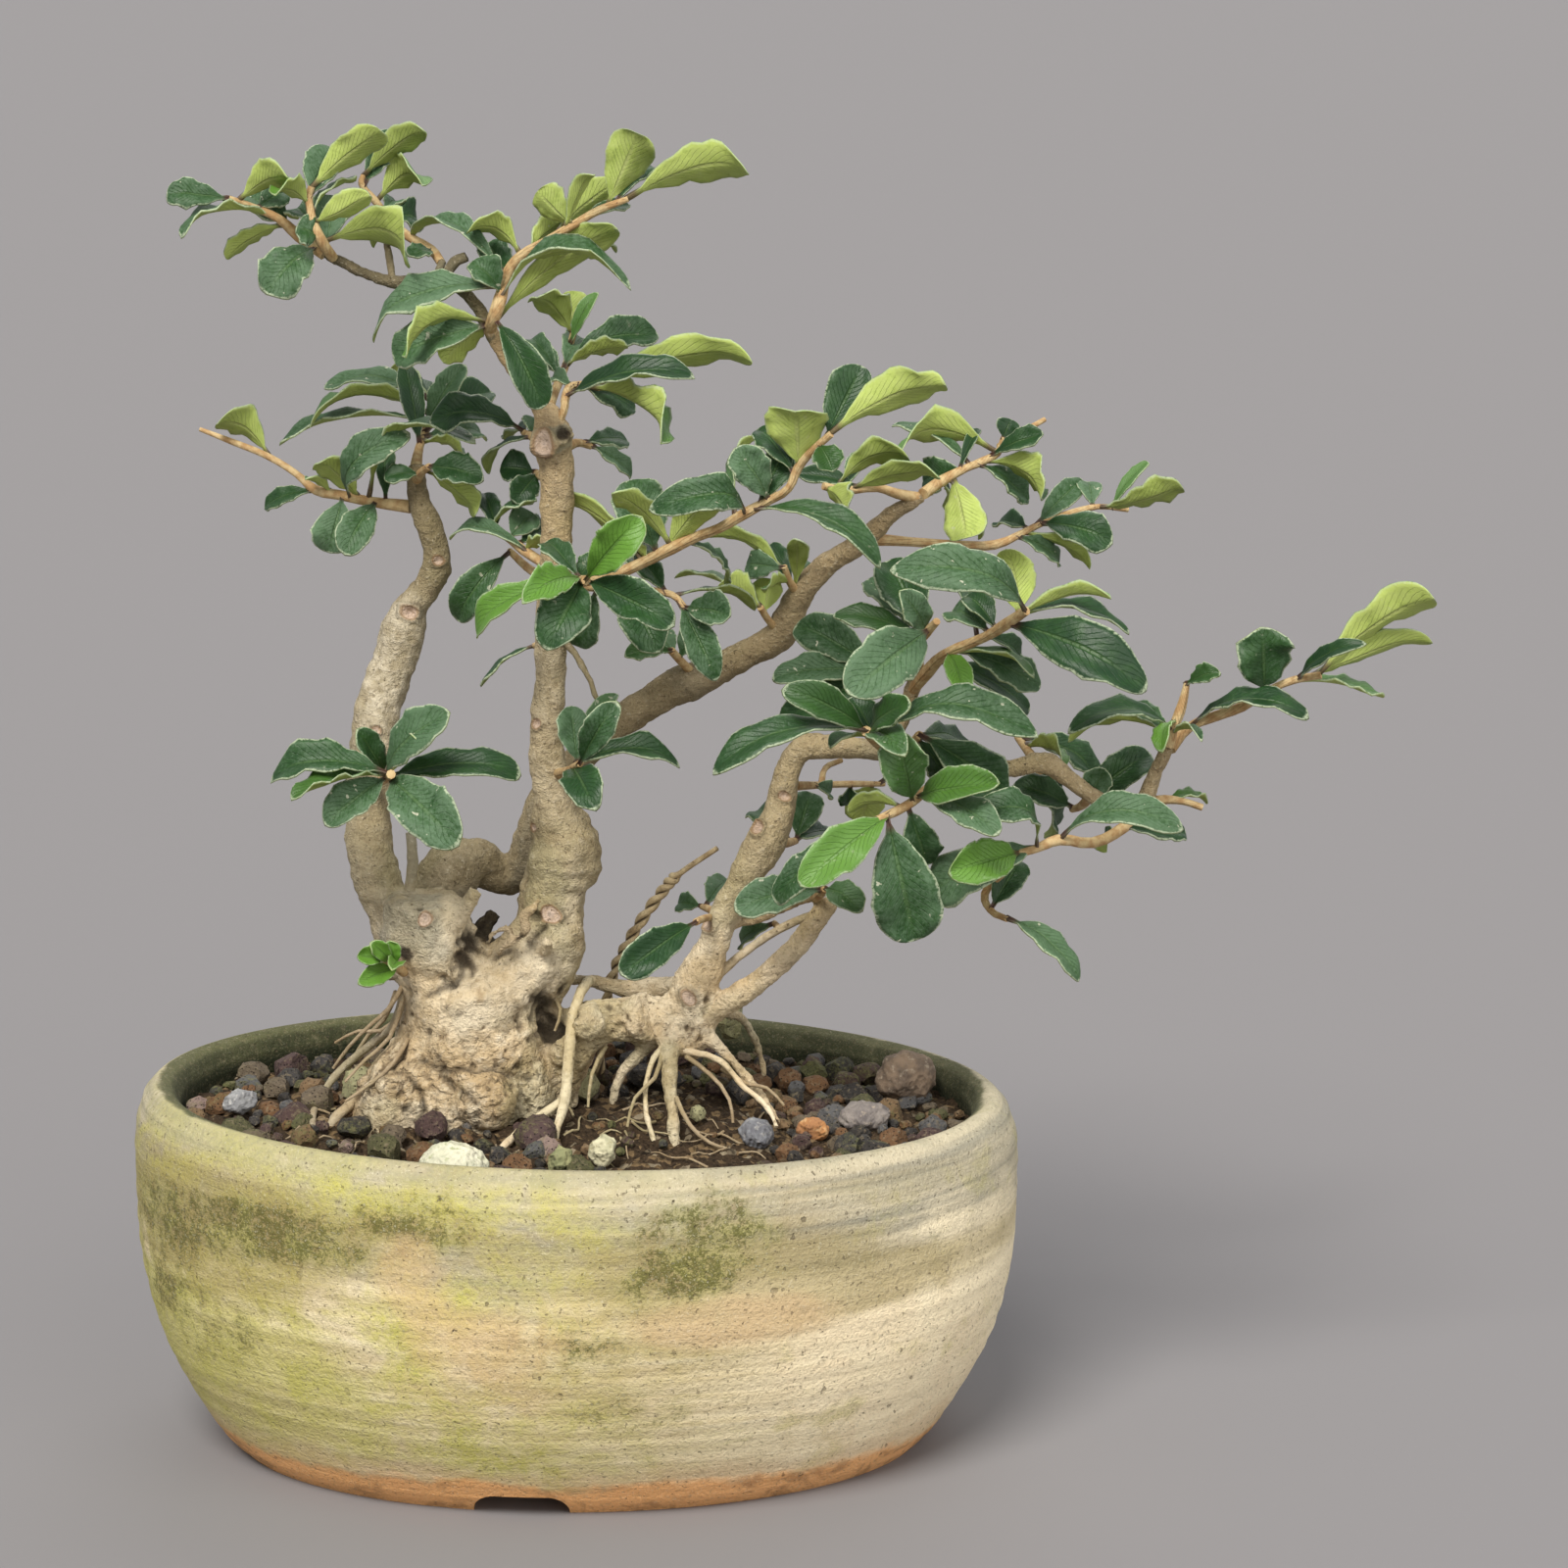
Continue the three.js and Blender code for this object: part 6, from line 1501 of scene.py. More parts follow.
# How dark each limb is at its start and at its end, from 0 to 1
DARK = {
    "base": (0, 0), "flareLeft": (0.1, 0.3), "flareRight": (0, 0.1), "lobe": (0, 0.1),
    "leftStem": (0.25, 0.6), "rightLimb": (0.28, 0.0), "thirdStem": (0.5, 0.3), "topLeft": (0.6, 0.9),
    "topLeftTwiglet": (0.7, 0.7), "topLeftStub": (0.8, 0.8), "topLeftRise": (0.7, 0.7),
    "rightStem": (0.0, 0.3), "rightRise": (0.3, 0.3), "lowBranch": (0, 0), "lowUpper": (0.2, 0.2),
    "lowMiddle": (0.3, 0.3), "peg": (0, 0), "ledge": (0.15, 0.15), "deadTwig": (0.2, 0.2),
    "hangTwig": (0.6, 0.6), "rootThick": (0, 0), "rootBack": (0.3, 0.3), "rootLeftThick": (0.35, 0.5),
    # darkWood is a near-black piece that stands in for shade behind the fork
    "rootLeftThin": (0.5, 0.6), "rootHanging": (0.1, 0.1), "darkWood": (0.97, 0.97),
    "splinter": (0.3, 0.15), "splinterSide": (0.3, 0.3),
}
# How orange-brown the bark of a limb is at its start and at its end; below 0 it starts further on
WARM = {
    "rightRise": (0.6, 0.6), "deadTwig": (0.7, 0.7), "splinter": (0.55, 0.55), "splinterSide": (0.5, 0.5),
    "lowBranch": (0.35, 0.35), "lowUpper": (0.5, 0.5), "lowMiddle": (0.5, 0.5), "topLeftStub": (0.3, 0.3),
    "thirdStem": (0, 0.6), "rightStem": (0, 0.45), "rightLimb": (-0.25, 0.75), "leftStem": (-0.1, 0.3),
}
# Round scars left by cut branches, and hollows, sunk and painted dark as shade: each is seen at (u, v) from
# the front, with its radius and its height or depth in mm
SCARS = [
    (434, 938, 1.5, 0.3), (561, 932, 2.2, 0.6), (723, 942, 1.4, 0.6), (703, 1019, 1.4, 0.6),
    (774, 845, 1.5, 1.0), (555, 452, 2.3, 0.9), (548, 738, 1.1, 0.5), (800, 812, 1.1, 0.6),
    (716, 712, 1.3, 0.8), (1182, 765, 1.1, 0.5), (447, 572, 1.1, 0.5), (384, 745, 0.9, 0.4),
    (546, 845, 0.9, 0.5), (418, 626, 1.8, 0.8),
]
HOLLOWS = [
    (429, 926, 0.9, 0.8), (548, 935, 1.3, 1.2), (530, 958, 1.0, 1.2), (540, 962, 1.0, 1.0),
    (577, 442, 1.9, 1.6), (468, 1036, 0.6, 0.8), (456, 1028, 0.4, 0.5), (414, 1133, 1.0, 1.2),
    (373, 1146, 0.9, 1.0), (446, 1078, 0.8, 0.9), (452, 1091, 1.0, 1.2), (506, 1088, 0.8, 1.0),
    (524, 1106, 0.9, 1.1), (460, 1104, 0.9, 1.2), (470, 1118, 0.8, 0.9), (487, 1140, 0.8, 0.9),
    (532, 1050, 0.9, 1.1), (540, 1062, 0.8, 1.0), (452, 1000, 0.8, 1.0), (462, 1006, 0.7, 0.8),
    (476, 978, 2.8, 1.8), (485, 960, 3.0, 2.2), (491, 942, 2.4, 1.8), (412, 974, 1.6, 0.3),
    (560, 1034, 3.2, 2.6), (566, 1052, 3.0, 2.2), (552, 1022, 2.0, 1.4), (574, 1012, 1.6, 0.8),
    (622, 1028, 0.7, 0.6), (612, 1072, 0.9, 0.8), (586, 1036, 1.0, 0.8),
]
# Places where the bark has weathered pale, each with its reach in mm and its strength
PALE_BARK = [
    (409, 640, 7, 0.8), (404, 670, 9, 0.9), (398, 705, 9, 0.9), (392, 740, 8, 0.6), (566, 660, 9, 0.4),
    (568, 720, 9, 0.35), (556, 790, 9, 0.3),
]
# Cracks in the trunk's foot, seen from the front
CRACKS = [
    [(430, 1082), (444, 1090), (456, 1094), (470, 1090), (486, 1094), (502, 1092), (520, 1097), (540, 1102)],
    [(418, 1100), (428, 1112), (432, 1130), (424, 1146)],
    [(474, 990), (466, 1004), (450, 1008), (436, 1016)],
    [(400, 1090), (410, 1078), (414, 1060)],
    [(448, 1096), (462, 1110), (476, 1116), (486, 1128)],
    [(504, 978), (518, 970), (530, 960), (546, 954), (556, 946)],
]
PLAIN = (0.12, 0.12)  # the darkness of a limb that has none of its own
THIN_LIMB = 1.3  # limbs thinner than this radius, in mm, are drawn apart as plain tubes
# The heights, in mm, below which the bark is rough and crusty, each with the stretch over which it fades
ROUGH_BELOW, ROUGH_FADE = 104, 18
CRUST_BELOW, CRUST_FADE = 94, 16
THICKEST = 13  # the radius in mm from which on bark has its coarsest form
# The front of the trunk's foot, in metres, which has the finest faces
FOOT_HIGH, FOOT_BACK, FOOT_LEFT, FOOT_RIGHT = 0.113, 0.004, -0.036, 0.008
CRACKED_BELOW = 0.125
CRACK_WIDE, CRACK_DEEP = 0.00062, 0.0008


def limb_route(drawn):
    """The points of a limb in metres, each with its radius."""
    return [(spot(u, v, y), wide / 2 / SIGHT * sight_depth(v, y) * MM) for u, v, y, wide in drawn]


# Torn wood at the fork, a near-black piece behind it that stands in for shade in the gap, and swellings of
# the foot and roots, drawn like limbs
TORN = {
    "splinter": [
        (506, 974, -11, 8), (519, 963, -12, 12), (531, 957, -12.5, 11), (537, 944, -13, 12),
        (533, 936, -13, 9), (544, 926, -13, 12), (552, 917, -12, 7),
    ],
    "splinterSide": [
        (497, 965, -10, 8), (501, 955, -11, 9), (508, 950, -11, 7), (518, 947, -11, 9), (524, 951, -11, 5),
    ],
    "darkWood": [(478, 980, 1, 26), (492, 948, 3, 22), (505, 930, 5, 16)],
    "nub": [(556, 972, -10, 16), (559, 960, -13, 13)],
    "stub": [(461, 996, -12, 6), (463, 982, -14, 4)],
    "knobLeft": [(557, 450, -3, 28), (555, 452, -6, 26)],
    "knobRight": [(575, 445, -3, 24), (577, 442, -5, 22)],
    "rootEnd": [(612, 1040, -6, 36), (600, 1044, -7, 40), (598, 1052, -6, 34)],
    "rootLobe": [(588, 1046, -5, 20), (578, 1062, -6, 30), (573, 1082, -5, 28)],
    "rootKnob": [(650, 1040, -3, 52), (662, 1036, -4, 50)],
    "footBulge": [(470, 1118, -14, 60), (500, 1122, -14, 62), (516, 1128, -12, 50)],
    "footLeft": [(408, 1118, -12, 34), (392, 1140, -13, 34), (384, 1158, -13, 28)],
}


def search_tree(places):
    """Finds the nearest of these places."""
    near = KDTree(len(places))
    for i, place in enumerate(places):
        near.insert(place, i)
    near.balance()
    return near


def limb_samples(routes):
    """Places close together along all limbs, with the radius, darkness and warmth there, and their tree."""
    samples = []
    for name, route in routes.items():
        rows = smooth_row([(*place, radius) for place, radius in route], 4)
        last = len(rows) - 1
        for i, row in enumerate(rows):
            shades = [a + (b - a) * i / last for a, b in (DARK.get(name, PLAIN), WARM.get(name, (0, 0)))]
            samples.append((Vector(row[:3]), row[3], *shades))
    return samples, search_tree([sample[0] for sample in samples])


def seen_at(wood, u, v):
    """The place on the bark that lies in this direction from the front, or None."""
    found, place, _, _ = wood.ray_cast(EYE_PLACE, (spot(u, v, 0) - EYE_PLACE).normalized())
    return place if found else None


def seen_marks(wood, marks, unit=MM):
    """The marks that lie on the bark: the place, the radius in metres and the strength in this unit."""
    found = [(seen_at(wood, u, v), radius * MM, much * unit) for u, v, radius, much in marks]
    return [mark for mark in found if mark[0]]


def crack_depth(at, cracks, wide):
    """How deep a crack runs here, from 0 to 1."""
    deep = 0.0
    for start, end in cracks:
        run = end - start
        share = min(1.0, max(0.0, (at - start).dot(run) / run.length_squared))
        gap = (start + run * share - at).length / wide
        if gap < 2.5:
            deep = max(deep, math.exp(-(gap**2)))
    return deep


def bark_at(at, radius, dark, warm):
    """How far the bark stands out here, in mm, how low and rough it is, from 0 to 1, and what it carries."""
    size = min(1.0, radius / MM / THICKEST)
    low = min(1.0, max(0.0, (ROUGH_BELOW - at.z / MM) / ROUGH_FADE)) * min(1.0, size * 1.6)
    bent = at + noise.noise_vector(at * 160) * 0.0022
    lumps = noise.fractal(at * 130, 0.9, 2.0, 3) * (0.2 + 1.5 * size)
    long = Vector((at.x * 620, at.y * 620, at.z * 240))
    grain = noise.fractal(long, 0.8, 2.0, 3) * (0.14 + 0.1 * size)
    apart = noise.voronoi(bent * 270)[0]
    knobs = (0.55 - apart[0]) * 0.75 * low
    seams = max(0.0, 0.16 - (apart[1] - apart[0])) / 0.16
    seams *= max(0.0, noise.noise(at * 120 + Vector((7, 3, 1))) + 0.15) * 1.6 * low
    rough = noise.fractal(at * 900, 0.7, 2.0, 3) * 0.30 * (0.25 + 0.75 * low)
    holes = max(0.0, noise.noise(at * 610 + Vector((9, 4, 2))) - 0.42) * 4.0 * low
    rings = 0.10 * math.sin(at.z * 1900 + 3 * noise.noise(at * 90)) * (1 - low) * min(1.0, size * 2)
    # tone from the relief: raised bark paler, sunk bark darker with painted shade
    relief_tone = 0.5 + (grain * 0.9 + knobs * 0.7 + rough * 0.9 + rings - holes - seams * 0.6) * 0.6
    carried = {
        "dark": dark, "warm": max(0.0, warm), "relief_tone": relief_tone, "pale": 0.0, "scar": 0.0,
        # painted shade in holes and seams, and over the near-black piece behind the fork
        "pit_shade": min(0.9, holes * 0.9 + seams * 0.55 + max(0.0, dark - 0.9) * 10),
        "crust": low * min(1.0, max(0.0, (CRUST_BELOW - at.z / MM) / CRUST_FADE)),
    }
    return lumps + grain + knobs + rough + rings - holes * 0.8 - seams * 0.5, low, carried


def scar_bark(at, scars, carried):
    """Raises a collar round each pruning scar and sinks its middle, painting shade into its middle and round
    its edge; how far, in metres.
    """
    push = 0.0
    for where, wide, high in scars:
        gap = (at - where).length / wide
        if gap < 2:
            gap *= 1 + 0.5 * noise.noise(at * 380)
            push += high * (math.exp(-(((gap - 1) / 0.3) ** 2)) - 0.8 * math.exp(-((gap / 0.6) ** 2)))
            ring = 0.85 + 0.15 * math.cos(gap * 8)
            carried["scar"] = max(carried["scar"], ring * math.exp(-((gap / 0.95) ** 4)))
            edge = 0.55 * math.exp(-(((gap - 1.25) / 0.2) ** 2)) * (0.55 + noise.noise(at * 260))
            middle = 0.5 * math.exp(-((gap / 0.2) ** 2))
            carried["pit_shade"] = max(carried["pit_shade"] * min(1.0, gap), middle, edge)
    return push


def sink_bark(at, hollows, carried):
    """Sinks the bark in the hollows and paints shade into them; how far, in metres."""
    push = 0.0
    for where, wide, deep in hollows:
        gap = (at - where).length / wide
        if gap < 2.2:
            gap *= 1 + 0.55 * noise.noise(at * 700)
            push -= deep * math.exp(-(gap**2))
            carried["pit_shade"] = max(carried["pit_shade"], (0.95 if wide > 0.0015 else 0.7) * math.exp(-(gap**6)))
    return push


class BONSAI_OT_wood(bpy.types.Operator):
    """Grows the trunks, branches and strong roots as one skin and carves their bark"""

    bl_idname = "bonsai.wood"
    bl_label = "Trunks and roots"

    def execute(self, context):
        looks = context.scene.bonsai_wood
        routes = {name: limb_route(drawn) for name, drawn in LIMBS.items()}
        strong = {n: r for n, r in routes.items() if max(radius for _, radius in r) > THIN_LIMB * MM}
        strong.update({name: limb_route(drawn) for name, drawn in TORN.items()})
        wood = tubes("bark_wood", strong.values(), sides=20, steps=5)
        finish_with(wood, "REMESH", mode="VOXEL", voxel_size=looks.grain, use_smooth_shade=True)
        finish_with(wood, "SMOOTH", factor=0.6, iterations=3)
        context.view_layer.update()
        scars, hollows = seen_marks(wood, SCARS), seen_marks(wood, HOLLOWS)
        pales = seen_marks(wood, PALE_BARK, 1)
        cracks = []
        for drawn in CRACKS:
            row = [seen_at(wood, u, v) for u, v in drawn]
            cracks += [(a, b) for a, b in zip(row, row[1:]) if a and b]

        def is_fine(at):
            foot = at.z < FOOT_HIGH and at.y < FOOT_BACK and FOOT_LEFT < at.x < FOOT_RIGHT
            return foot or any((at - where).length < wide * 1.8 for where, wide, _ in scars)

        with editing(wood, "DESELECT"):
            choose_faces(wood, is_fine)
            bpy.ops.mesh.subdivide(number_cuts=1, smoothness=0)
        finish_with(wood, "SMOOTH", factor=0.5, iterations=2)
        samples, near = limb_samples(strong)
        places, normals = points_of(wood), points_of(wood, "normal")
        noise.seed_set(1)  # otherwise noise_vector changes from run to run
        noted = []
        for place, normal in zip(places, normals):
            at = Vector(place)
            _, i, _ = min(near.find_n(at, 6), key=lambda hit: hit[2] / samples[hit[1]][1])
            out, low, carried = bark_at(at, *samples[i][1:])
            push = out * MM + scar_bark(at, scars, carried) + sink_bark(at, hollows, carried)
            for where, reach, much in pales:
                pale = much * math.exp(-(((at - where).length / reach) ** 4))
                carried["pale"] = max(carried["pale"], pale)
            if low > 0 or at.z < CRACKED_BELOW:
                deep = crack_depth(at, cracks, CRACK_WIDE * (1 + 0.6 * noise.noise(at * 500)))
                push -= deep * CRACK_DEEP
                # painted shade in the cracks
                carried["pit_shade"] = max(carried["pit_shade"], deep * 0.85)
            place += normal * push
            noted.append(carried)
        move_points(wood, places)
        for name in noted[0]:
            note(wood, name, [carried[name] for carried in noted])
        shade(wood)
        hand_over(wood, bark_finish("bark", looks), "bark", "tree_wood")
        self.bare_roots(looks, {n: r for n, r in routes.items() if n not in strong})
        return {"FINISHED"}

    def bare_roots(self, looks, thin):
        roots = tubes("bare_roots", thin.values(), sides=8, steps=5)
        samples, near = limb_samples(thin)
        places, normals = points_of(roots), points_of(roots, "normal")
        push = np.array([noise.fractal(Vector(p) * 500, 0.8, 2.0, 3) for p in places]) * 0.00022
        note(roots, "dark", [samples[near.find(Vector(p))[1]][2] for p in places])
        # the same tone from the relief: sunk root bark darker as painted shade
        note(roots, "relief_tone", 0.5 + push * 1400)
        move_points(roots, places + normals * push[:, None])
        shade(roots)
        hand_over(roots, bark_finish("root_bark", looks, slender=True), "bark")


# Thin roots that leave the trunk's foot and reach the filling, as spots
HANGING_HAIRS = [
    [(414, 1000, -4), (396, 1030, -8), (380, 1044, -8), (356, 1068, -6), (340, 1090, -5)],
    [(410, 1022, -6), (398, 1058, -10), (372, 1082, -10), (352, 1104, -12)],
    [(408, 1036, -3), (388, 1052, -2), (366, 1052, 0), (342, 1064, 3)],
    [(416, 1060, -10), (402, 1084, -14), (378, 1106, -15), (352, 1124, -17)],
    [(404, 1012, 2), (392, 1040, 5), (376, 1056, 6), (358, 1086, 6), (350, 1106, 4)],
    [(700, 1078, -7), (724, 1096, -10), (744, 1122, -14), (748, 1146, -16)],
    [(676, 1070, -6), (668, 1100, -12), (648, 1120, -15), (640, 1150, -18)],
    [(690, 1120, -14), (704, 1148, -19), (724, 1166, -22), (742, 1172, -24)],
    [(618, 1068, -4), (604, 1096, -10), (600, 1130, -14)],
    [(736, 1090, -5), (762, 1106, -7), (782, 1110, -8), (800, 1128, -9)],
    [(560, 1010, -3), (572, 1030, -5), (566, 1052, -6)],
]


def root_hair(rand, x, y, heading, length):
    """A fine root that wanders over the filling."""
    route, step = [], 2.2
    count = int(length / step)
    for i in range(count + 1):
        lift = -0.1 + 0.7 * math.sin(math.pi * i / count) * rand.uniform(0.3, 1.2)
        place = Vector((x - CENTRE_X, y, soil_top(x, y) + lift))
        route.append((place * MM, (0.30 - 0.18 * i / count) * MM))
        heading += rand.uniform(-0.5, 0.5)
        x, y = x + step * math.cos(heading), y + step * math.sin(heading)
    return route


class BONSAI_OT_root_hairs(bpy.types.Operator):
    """Lays fine roots over the peat"""

    bl_idname = "bonsai.root_hairs"
    bl_label = "Fine roots"

    def execute(self, context):
        looks = context.scene.bonsai_wood
        rand = random.Random(23)
        hairs = []
        for _ in range(18):
            x, y = rand.uniform(-4, 40), rand.uniform(-34, 2)
            hairs.append(root_hair(rand, x, y, rand.uniform(0, 6.28), rand.uniform(5, 17)))
        for _ in range(12):
            x, y = rand.uniform(-52, -36), rand.uniform(-24, 6)
            hairs.append(root_hair(rand, x, y, rand.uniform(2.6, 4.6), rand.uniform(6, 14)))
        for drawn in HANGING_HAIRS:
            last = len(drawn) - 1
            hairs.append([(spot(*place), (0.55 - 0.25 * i / last) * MM) for i, place in enumerate(drawn)])
        threads = tubes("root_hairs", hairs, sides=6, steps=2)
        note(threads, "dark", [0.15] * len(threads.data.vertices))
        shade(threads)
        hand_over(threads, bark_finish("hair_bark", looks, slender=True), "bark")
        return {"FINISHED"}


# The dry stem's middle in the pot's own mm, how much of it is twisted, by how many half turns, and how far
# each strand's middle is from it
STEM_ROUTE = [(3, 24, 62), (6, 20, 88), (11, 16, 101), (18, 13, 112), (22, 12, 116), (29, 11, 121)]
TWISTED_SHARE = 0.72
HALF_TURNS = 17
STRANDS_APART = 0.6


class BONSAI_OT_dry_stem(bpy.types.Operator):
    """Twists the dry stem from two strands, with a plain thin tip"""

    bl_idname = "bonsai.dry_stem"
    bl_label = "Dry stem"

    def execute(self, context):
        rows = [Vector(row) for row in smooth_row(STEM_ROUTE, 24)]
        middle = Vector((CENTRE_X, 0, 0))
        strands = [[], []]
        for i, centre in enumerate(rows):
            share = i / (len(rows) - 1)
            run = (rows[min(i + 1, len(rows) - 1)] - rows[max(i - 1, 0)]).normalized()
            side = Vector((0, 1, 0)).cross(run).normalized()
            other = run.cross(side)
            turn = math.pi * HALF_TURNS * min(share, TWISTED_SHARE)
            apart = STRANDS_APART
            if share >= TWISTED_SHARE:
                apart = max(0.0, STRANDS_APART - (share - TWISTED_SHARE) * 12)
            radius = 0.72 if share < TWISTED_SHARE else 0.62 - 0.3 * (share - TWISTED_SHARE)
            for k, strand in enumerate(strands):
                swing = turn + k * math.pi
                place = centre + (side * math.cos(swing) + other * math.sin(swing)) * apart
                strand.append(((place - middle) * MM, radius * MM))
        stem = tubes("dry_stem", strands, sides=8, steps=1)
        near = search_tree([(centre - middle) * MM for centre in rows])
        # how close each point lies to the groove between the strands, for painted shade
        grooves = []
        for place in points_of(stem):
            _, i, gap = near.find(Vector(place))
            grooves.append(1 - gap / (1.2 * MM) if i < TWISTED_SHARE * len(rows) else 0.0)
        note(stem, "groove_shade", grooves)
        shade(stem)
        hand_over(stem, dry_finish(), "dry_stem", "twisted_dry_stem")
        return {"FINISHED"}


# Leaves


class LeafLooks(bpy.types.PropertyGroup):
    thick: FloatProperty(
        name="Thickness", description="Thickness of a blade", default=0.00042, min=0.0001, max=0.002,
        unit="LENGTH", precision=5)
    deep: colour_choice("Old leaf", "Upper side of an old leaf", (0.012, 0.040, 0.014))
    grown: colour_choice("Grown leaf", "Upper side of a grown leaf", (0.026, 0.082, 0.015))
    young: colour_choice("Young leaf", "Upper side of a young leaf", (0.105, 0.235, 0.030))
    bloom: colour_choice("Bloom", "Pale bloom on old leaves", (0.165, 0.250, 0.165))
    rib: colour_choice("Rib", "Rib on the upper side", (0.095, 0.170, 0.055))
    edge: colour_choice("Edge", "Pale rolled edge", (0.480, 0.550, 0.380))
    under: colour_choice("Underside", "Underside of an old leaf", (0.220, 0.285, 0.055))
    under_fresh: colour_choice("Fresh underside", "Underside of a fresh leaf", (0.385, 0.475, 0.110))
    stalk: colour_choice("Stalk", "Stalk of a leaf", (0.085, 0.032, 0.028))
    twig: colour_choice("Twig", "Bark of the young twigs", (0.400, 0.240, 0.105))


# Shares of a leaf's length where its mesh has a row of points, closer at its blunt tip
STATIONS = (0, 0.06, 0.13, 0.2, 0.28, 0.36, 0.44, 0.52, 0.6, 0.68, 0.76, 0.83, 0.89, 0.94, 0.972, 0.99, 1)
STALK_SHARE = 0.1
ACROSS = 8  # faces over its width


def blade_model(looks):
    """One flat blade, a grid with a thickness, that every leaf starts from."""
    last = len(STATIONS) - 1
    blade = start("grid", "blade", x_subdivisions=last, y_subdivisions=ACROSS, size=2)
    pattern = blade.data.uv_layers[0]
    pattern.name = "blade"
    places = points_of(blade)
    places[:, 0] = [STATIONS[int(round((x + 1) / 2 * last))] for x in places[:, 0]]
    move_points(blade, places)
    along = np.zeros(len(blade.data.loops) * 2)
    pattern.data.foreach_get("uv", along)
    along[::2] = [STATIONS[int(round(u * last))] for u in along[::2]]
    pattern.data.foreach_set("uv", along)
    finish_with(blade, "SOLIDIFY", thickness=0.1, offset=0)
    return blade


def blade_width(share, full, blunt):
    """The width of a blade at a share of its length, as a share of its greatest width."""
    run = max(0.0, (share - STALK_SHARE) / (1 - STALK_SHARE))
    peak = full / (full + blunt)
    return (run / peak) ** full * (max(0.0, 1 - run) / (1 - peak)) ** blunt


def spring_place(route, points, u, v):
    """How far along its twig a leaf springs: at the place of the drawn route nearest to its drawn base."""
    nearest, place, passed = math.inf, 0.0, 0.0
    for i in range(len(route) - 1):
        first, run = Vector(route[i][:2]), Vector(route[i + 1][:2]) - Vector(route[i][:2])
        share = min(1.0, max(0.0, (Vector((u, v)) - first).dot(run) / run.length_squared))
        gap = (first + run * share - Vector((u, v))).length
        step = (points[i + 1] - points[i]).length
        if gap < nearest:
            nearest, place = gap, passed + share * step
        passed += step
    return min(place, passed - TIP_ROOM * MM)


def point_along(points, place):
    """The point so far along a row of points."""
    i = 0
    while i + 2 < len(points) and place > (points[i + 1] - points[i]).length:
        place -= (points[i + 1] - points[i]).length
        i += 1
    return points[i].lerp(points[i + 1], place / (points[i + 1] - points[i]).length)


def spring_points(route, points, leaves):
    """Every leaf's start on its twig, a little below any that another leaf has taken."""
    taken, found = [], []
    space = LEAF_SPACE * MM
    for leaf in leaves:
        place = spring_place(route, points, leaf[0], leaf[1])
        while place > space * 2 and any(abs(other - place) < space for other in taken):
            place -= space / 2
        taken.append(place)
        found.append(point_along(points, place))
    return found


def sway_at(share, small):
    """How the two halves of a blade wave against each other along it."""
    if small:
        return float(np.interp(share, (0, 0.34, 0.76, 1), (0, 0, 1, 0)))
    return float(np.interp(share, (0, 0.24, 0.56, 0.85, 1), (0, 0, 1, -1, 0)))


def grow_leaf(model, thick, draw, rand, base, tip, width, facing, young=0, arch=0.1):
    """A copy of the blade, bent from its base to its tip."""
    leaf = copy_of(model)
    along = tip - base
    length = along.length
    along.normalize()
    tilt = math.radians(facing)
    upper = Vector((0.06, -math.sin(tilt), math.cos(tilt)))
    upper = (upper - along * upper.dot(along)).normalized()
    side = upper.cross(along)
    small = width < SMALL_LEAF
    cup = math.radians(CUP * (0.6 + 0.8 * next(draw)))
    wave = width * MM * (0.08 + 0.1 * next(draw))
    phase = 1 if next(draw) < 0.5 else -1
    half = width / 2 * MM * (0.95 if small else 0.9)
    blunt, full = rand.uniform(0.38, 0.62), rand.uniform(0.72, 1.0)
    skew, curl = rand.uniform(-0.06, 0.06), rand.uniform(-0.5, 1.2)
    ripple, waves, shift = rand.uniform(0.4, 1.0), rand.uniform(2.4, 4.2), rand.uniform(0, 50)
    old = 1 - young
    places = points_of(leaf)
    under = (places[:, 2] < 0).astype(float)
    for place in places:
        share, t, thickness = place
        wide = max(blade_width(share, full, blunt), 0.5 * MM / half if share < 0.5 else 0.02)
        edge, hand = abs(t), (1 if t > 0 else -1)
        bite = 0.13 * noise.noise(Vector((share * 7.0, hand * 3 + shift, shift)))
        bite += 0.035 * math.sin(share * 34 + shift + hand) * wide
        outward = half * wide * t * math.cos(cup) * (1 + bite * edge)
        rise = half * wide * math.sin(cup) * edge**1.3
        rise -= wave * phase * sway_at(share, small) * t * edge**0.5 * 0.8
        swing = math.sin(2 * math.pi * waves * share + shift + hand * 1.3)
        rise += half * wide**0.5 * 0.17 * ripple * swing * edge**2
        rise += half * 0.14 * noise.noise(Vector((share * 3.2 + shift, t * 1.6, 1))) * wide
        rise -= half * wide * 0.20 * old * edge**6
        tip = max(0.0, share - 0.72)
        rise -= length * curl * tip**2 * 1.4
        sink = 1.9 if share < 0.12 else 1.0
        lift = rise + arch * length * 4 * share * (1 - share) + thickness * 10 * thick * sink
        back = share * length - (STALK_SUNK * MM if share == 0 else 0)
        outward += skew * length * share * (1 - share)
        place[:] = base + along * back + side * outward + upper * lift
    move_points(leaf, places)
    note(leaf, "under", under)
    for name, value in (("young", young), ("tone", rand.random()), ("woody", 0.0)):
        note(leaf, name, [value] * len(places))
    return leaf


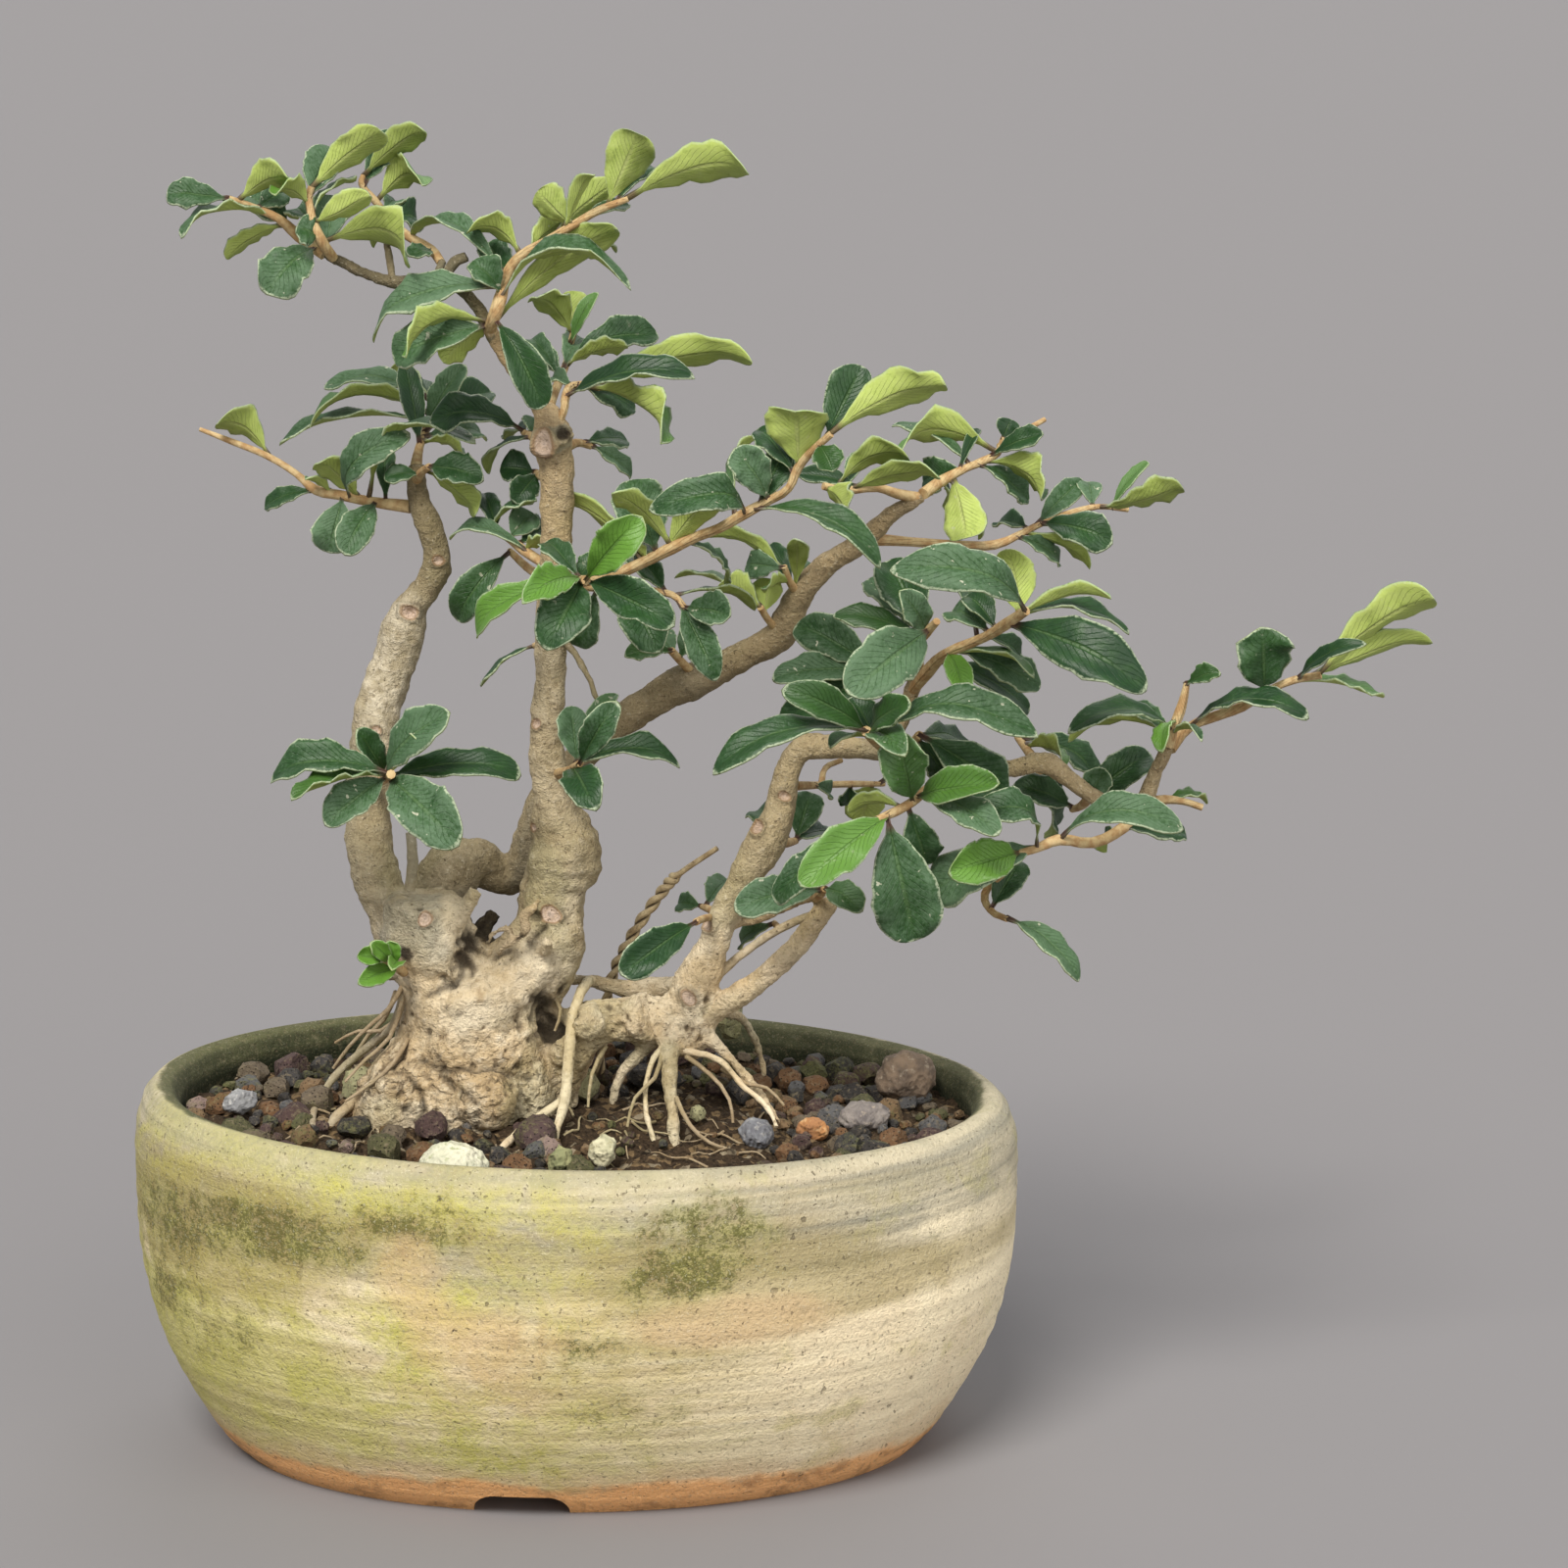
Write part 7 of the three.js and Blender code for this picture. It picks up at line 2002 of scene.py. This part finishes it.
class BONSAI_OT_shoots(bpy.types.Operator):
    """Grows every leafy shoot: its twigs, their joints and their leaves"""

    bl_idname = "bonsai.shoots"
    bl_label = "Leafy shoots"

    def execute(self, context):
        looks = context.scene.bonsai_leaf
        finish = leaf_finish(looks)
        model = blade_model(looks)
        for i, (name, sprays) in enumerate(SHOOTS.items()):
            pieces, routes = [], []
            for k, ((first, last), route, leaves) in enumerate(sprays):
                seed = 100 * (i + 1) + k
                draw, rand = draws(seed), random.Random(seed)
                points = [spot(*place) for place in route]
                rows = []
                for j, point in enumerate(points):
                    radius = first + (last - first) * j / (len(points) - 1)
                    swell = 1.0 + 0.12 * math.sin(j * 2.1 + seed)
                    rows.append((point, radius * 0.86 * swell * MM))
                routes.append(rows)
                for base, leaf in zip(spring_points(route, points, leaves), leaves):
                    tip = spot(*leaf[2:5])
                    pieces.append(grow_leaf(model, looks.thick, draw, rand, base, tip, *leaf[5:]))
            twigs = tubes("twigs", routes, sides=8, steps=3)
            twigs.data.uv_layers.new(name="blade")
            note(twigs, "woody", [1.0] * len(twigs.data.vertices))
            shoot = joined(name.replace("shoot", "leafy_shoot"), [twigs, *pieces])
            shade(shoot)
            hand_over(shoot, finish, "leaf", name)
        bpy.data.objects.remove(model)
        return {"FINISHED"}


# The stage


class StageLooks(bpy.types.PropertyGroup):
    floor: colour_choice("Floor", "Plain pale floor", (0.225, 0.217, 0.224))
    sky: FloatProperty(name="Sky", description="Strength of the even light", default=0.44, min=0, max=5)
    key: FloatProperty(name="Key light", description="Strength of the large soft light", default=3.75,
                       min=0, max=20)


# Name, place it shines from, share of the key light's strength, apparent width in degrees and colour
LIGHTS = [
    ("key_light", (-0.32, -0.90, 1.10), 1.0, 26, (1.0, 0.965, 0.90)),
    ("fill_light", (0.75, -0.85, 0.40), 0.34, 60, (1.0, 0.97, 0.92)),
    ("low_light", (0.05, -1.0, -0.12), 0.16, 60, (1.0, 0.94, 0.84)),
    ("back_light", (0.25, 0.9, 0.9), 0.20, 50, (1.0, 0.98, 0.94)),
]


class BONSAI_OT_stage(bpy.types.Operator):
    """Sets the floor, the soft studio light and the camera"""

    bl_idname = "bonsai.stage"
    bl_label = "Stage"

    def execute(self, context):
        looks = context.scene.bonsai_stage
        floor = start("plane", "studio_floor", size=120, location=(0, 40, 0))
        paper = Finish("studio_paper")
        paper.coat = looks.floor
        floor.data.materials.append(paper.wear(0.95, shine=0.1))
        world = bpy.data.worlds.new("studio_air")
        world.use_nodes = True
        air = world.node_tree.nodes["Background"].inputs
        air["Color"].default_value = (0.93, 0.96, 1.0, 1)
        air["Strength"].default_value = looks.sky
        context.scene.world = world
        for name, place, share, wide, colour in LIGHTS:
            bpy.ops.object.light_add(type="SUN", location=place)
            light = bpy.context.object
            light.name = name
            light.data.energy = looks.key * share
            light.data.angle = math.radians(wide)
            light.data.color = colour
            light.rotation_euler = (-Vector(place)).to_track_quat("-Z", "Y").to_euler()
        bpy.ops.object.camera_add(location=EYE_PLACE, rotation=(math.pi / 2 - TILT, 0, 0))
        camera = bpy.context.object
        camera.name = "photo_view"
        camera.data.sensor_width = SENSOR
        camera.data.lens = SENSOR * SIGHT / FRAME_WIDE
        camera.data.clip_start, camera.data.clip_end = 0.01, 200
        context.scene.camera = camera
        context.scene.view_settings.view_transform = "Standard"
        return {"FINISHED"}


# The add-on

MAKERS = (
    BONSAI_OT_pot, BONSAI_OT_drain, BONSAI_OT_filling, BONSAI_OT_grit, BONSAI_OT_stones, BONSAI_OT_wood,
    BONSAI_OT_root_hairs, BONSAI_OT_dry_stem, BONSAI_OT_shoots, BONSAI_OT_stage,
)
LOOKS = {
    "bonsai_pot": PotLooks, "bonsai_filling": FillingLooks, "bonsai_wood": WoodLooks,
    "bonsai_leaf": LeafLooks, "bonsai_stage": StageLooks,
}


class BONSAI_PT_panel(bpy.types.Panel):
    """Lists the pieces of the bonsai and their looks"""

    bl_idname = "BONSAI_PT_panel"
    bl_label = "Privet Bonsai"
    bl_space_type = "VIEW_3D"
    bl_region_type = "UI"
    bl_category = "Bonsai"

    def draw(self, context):
        for maker in MAKERS:
            self.layout.operator(maker.bl_idname)
        for name in LOOKS:
            looks = getattr(context.scene, name)
            box = self.layout.box()
            for choice in looks.__annotations__:
                box.prop(looks, choice)


CLASSES = (*LOOKS.values(), *MAKERS, BONSAI_PT_panel)


def register():
    for one in CLASSES:
        bpy.utils.register_class(one)
    for name, group in LOOKS.items():
        setattr(bpy.types.Scene, name, PointerProperty(type=group))


def unregister():
    for name in LOOKS:
        delattr(bpy.types.Scene, name)
    for one in reversed(CLASSES):
        bpy.utils.unregister_class(one)


def main():
    register()
    for maker in MAKERS:
        family, name = maker.bl_idname.split(".")
        getattr(getattr(bpy.ops, family), name)()
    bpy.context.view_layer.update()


if __name__ == "__main__":
    main()
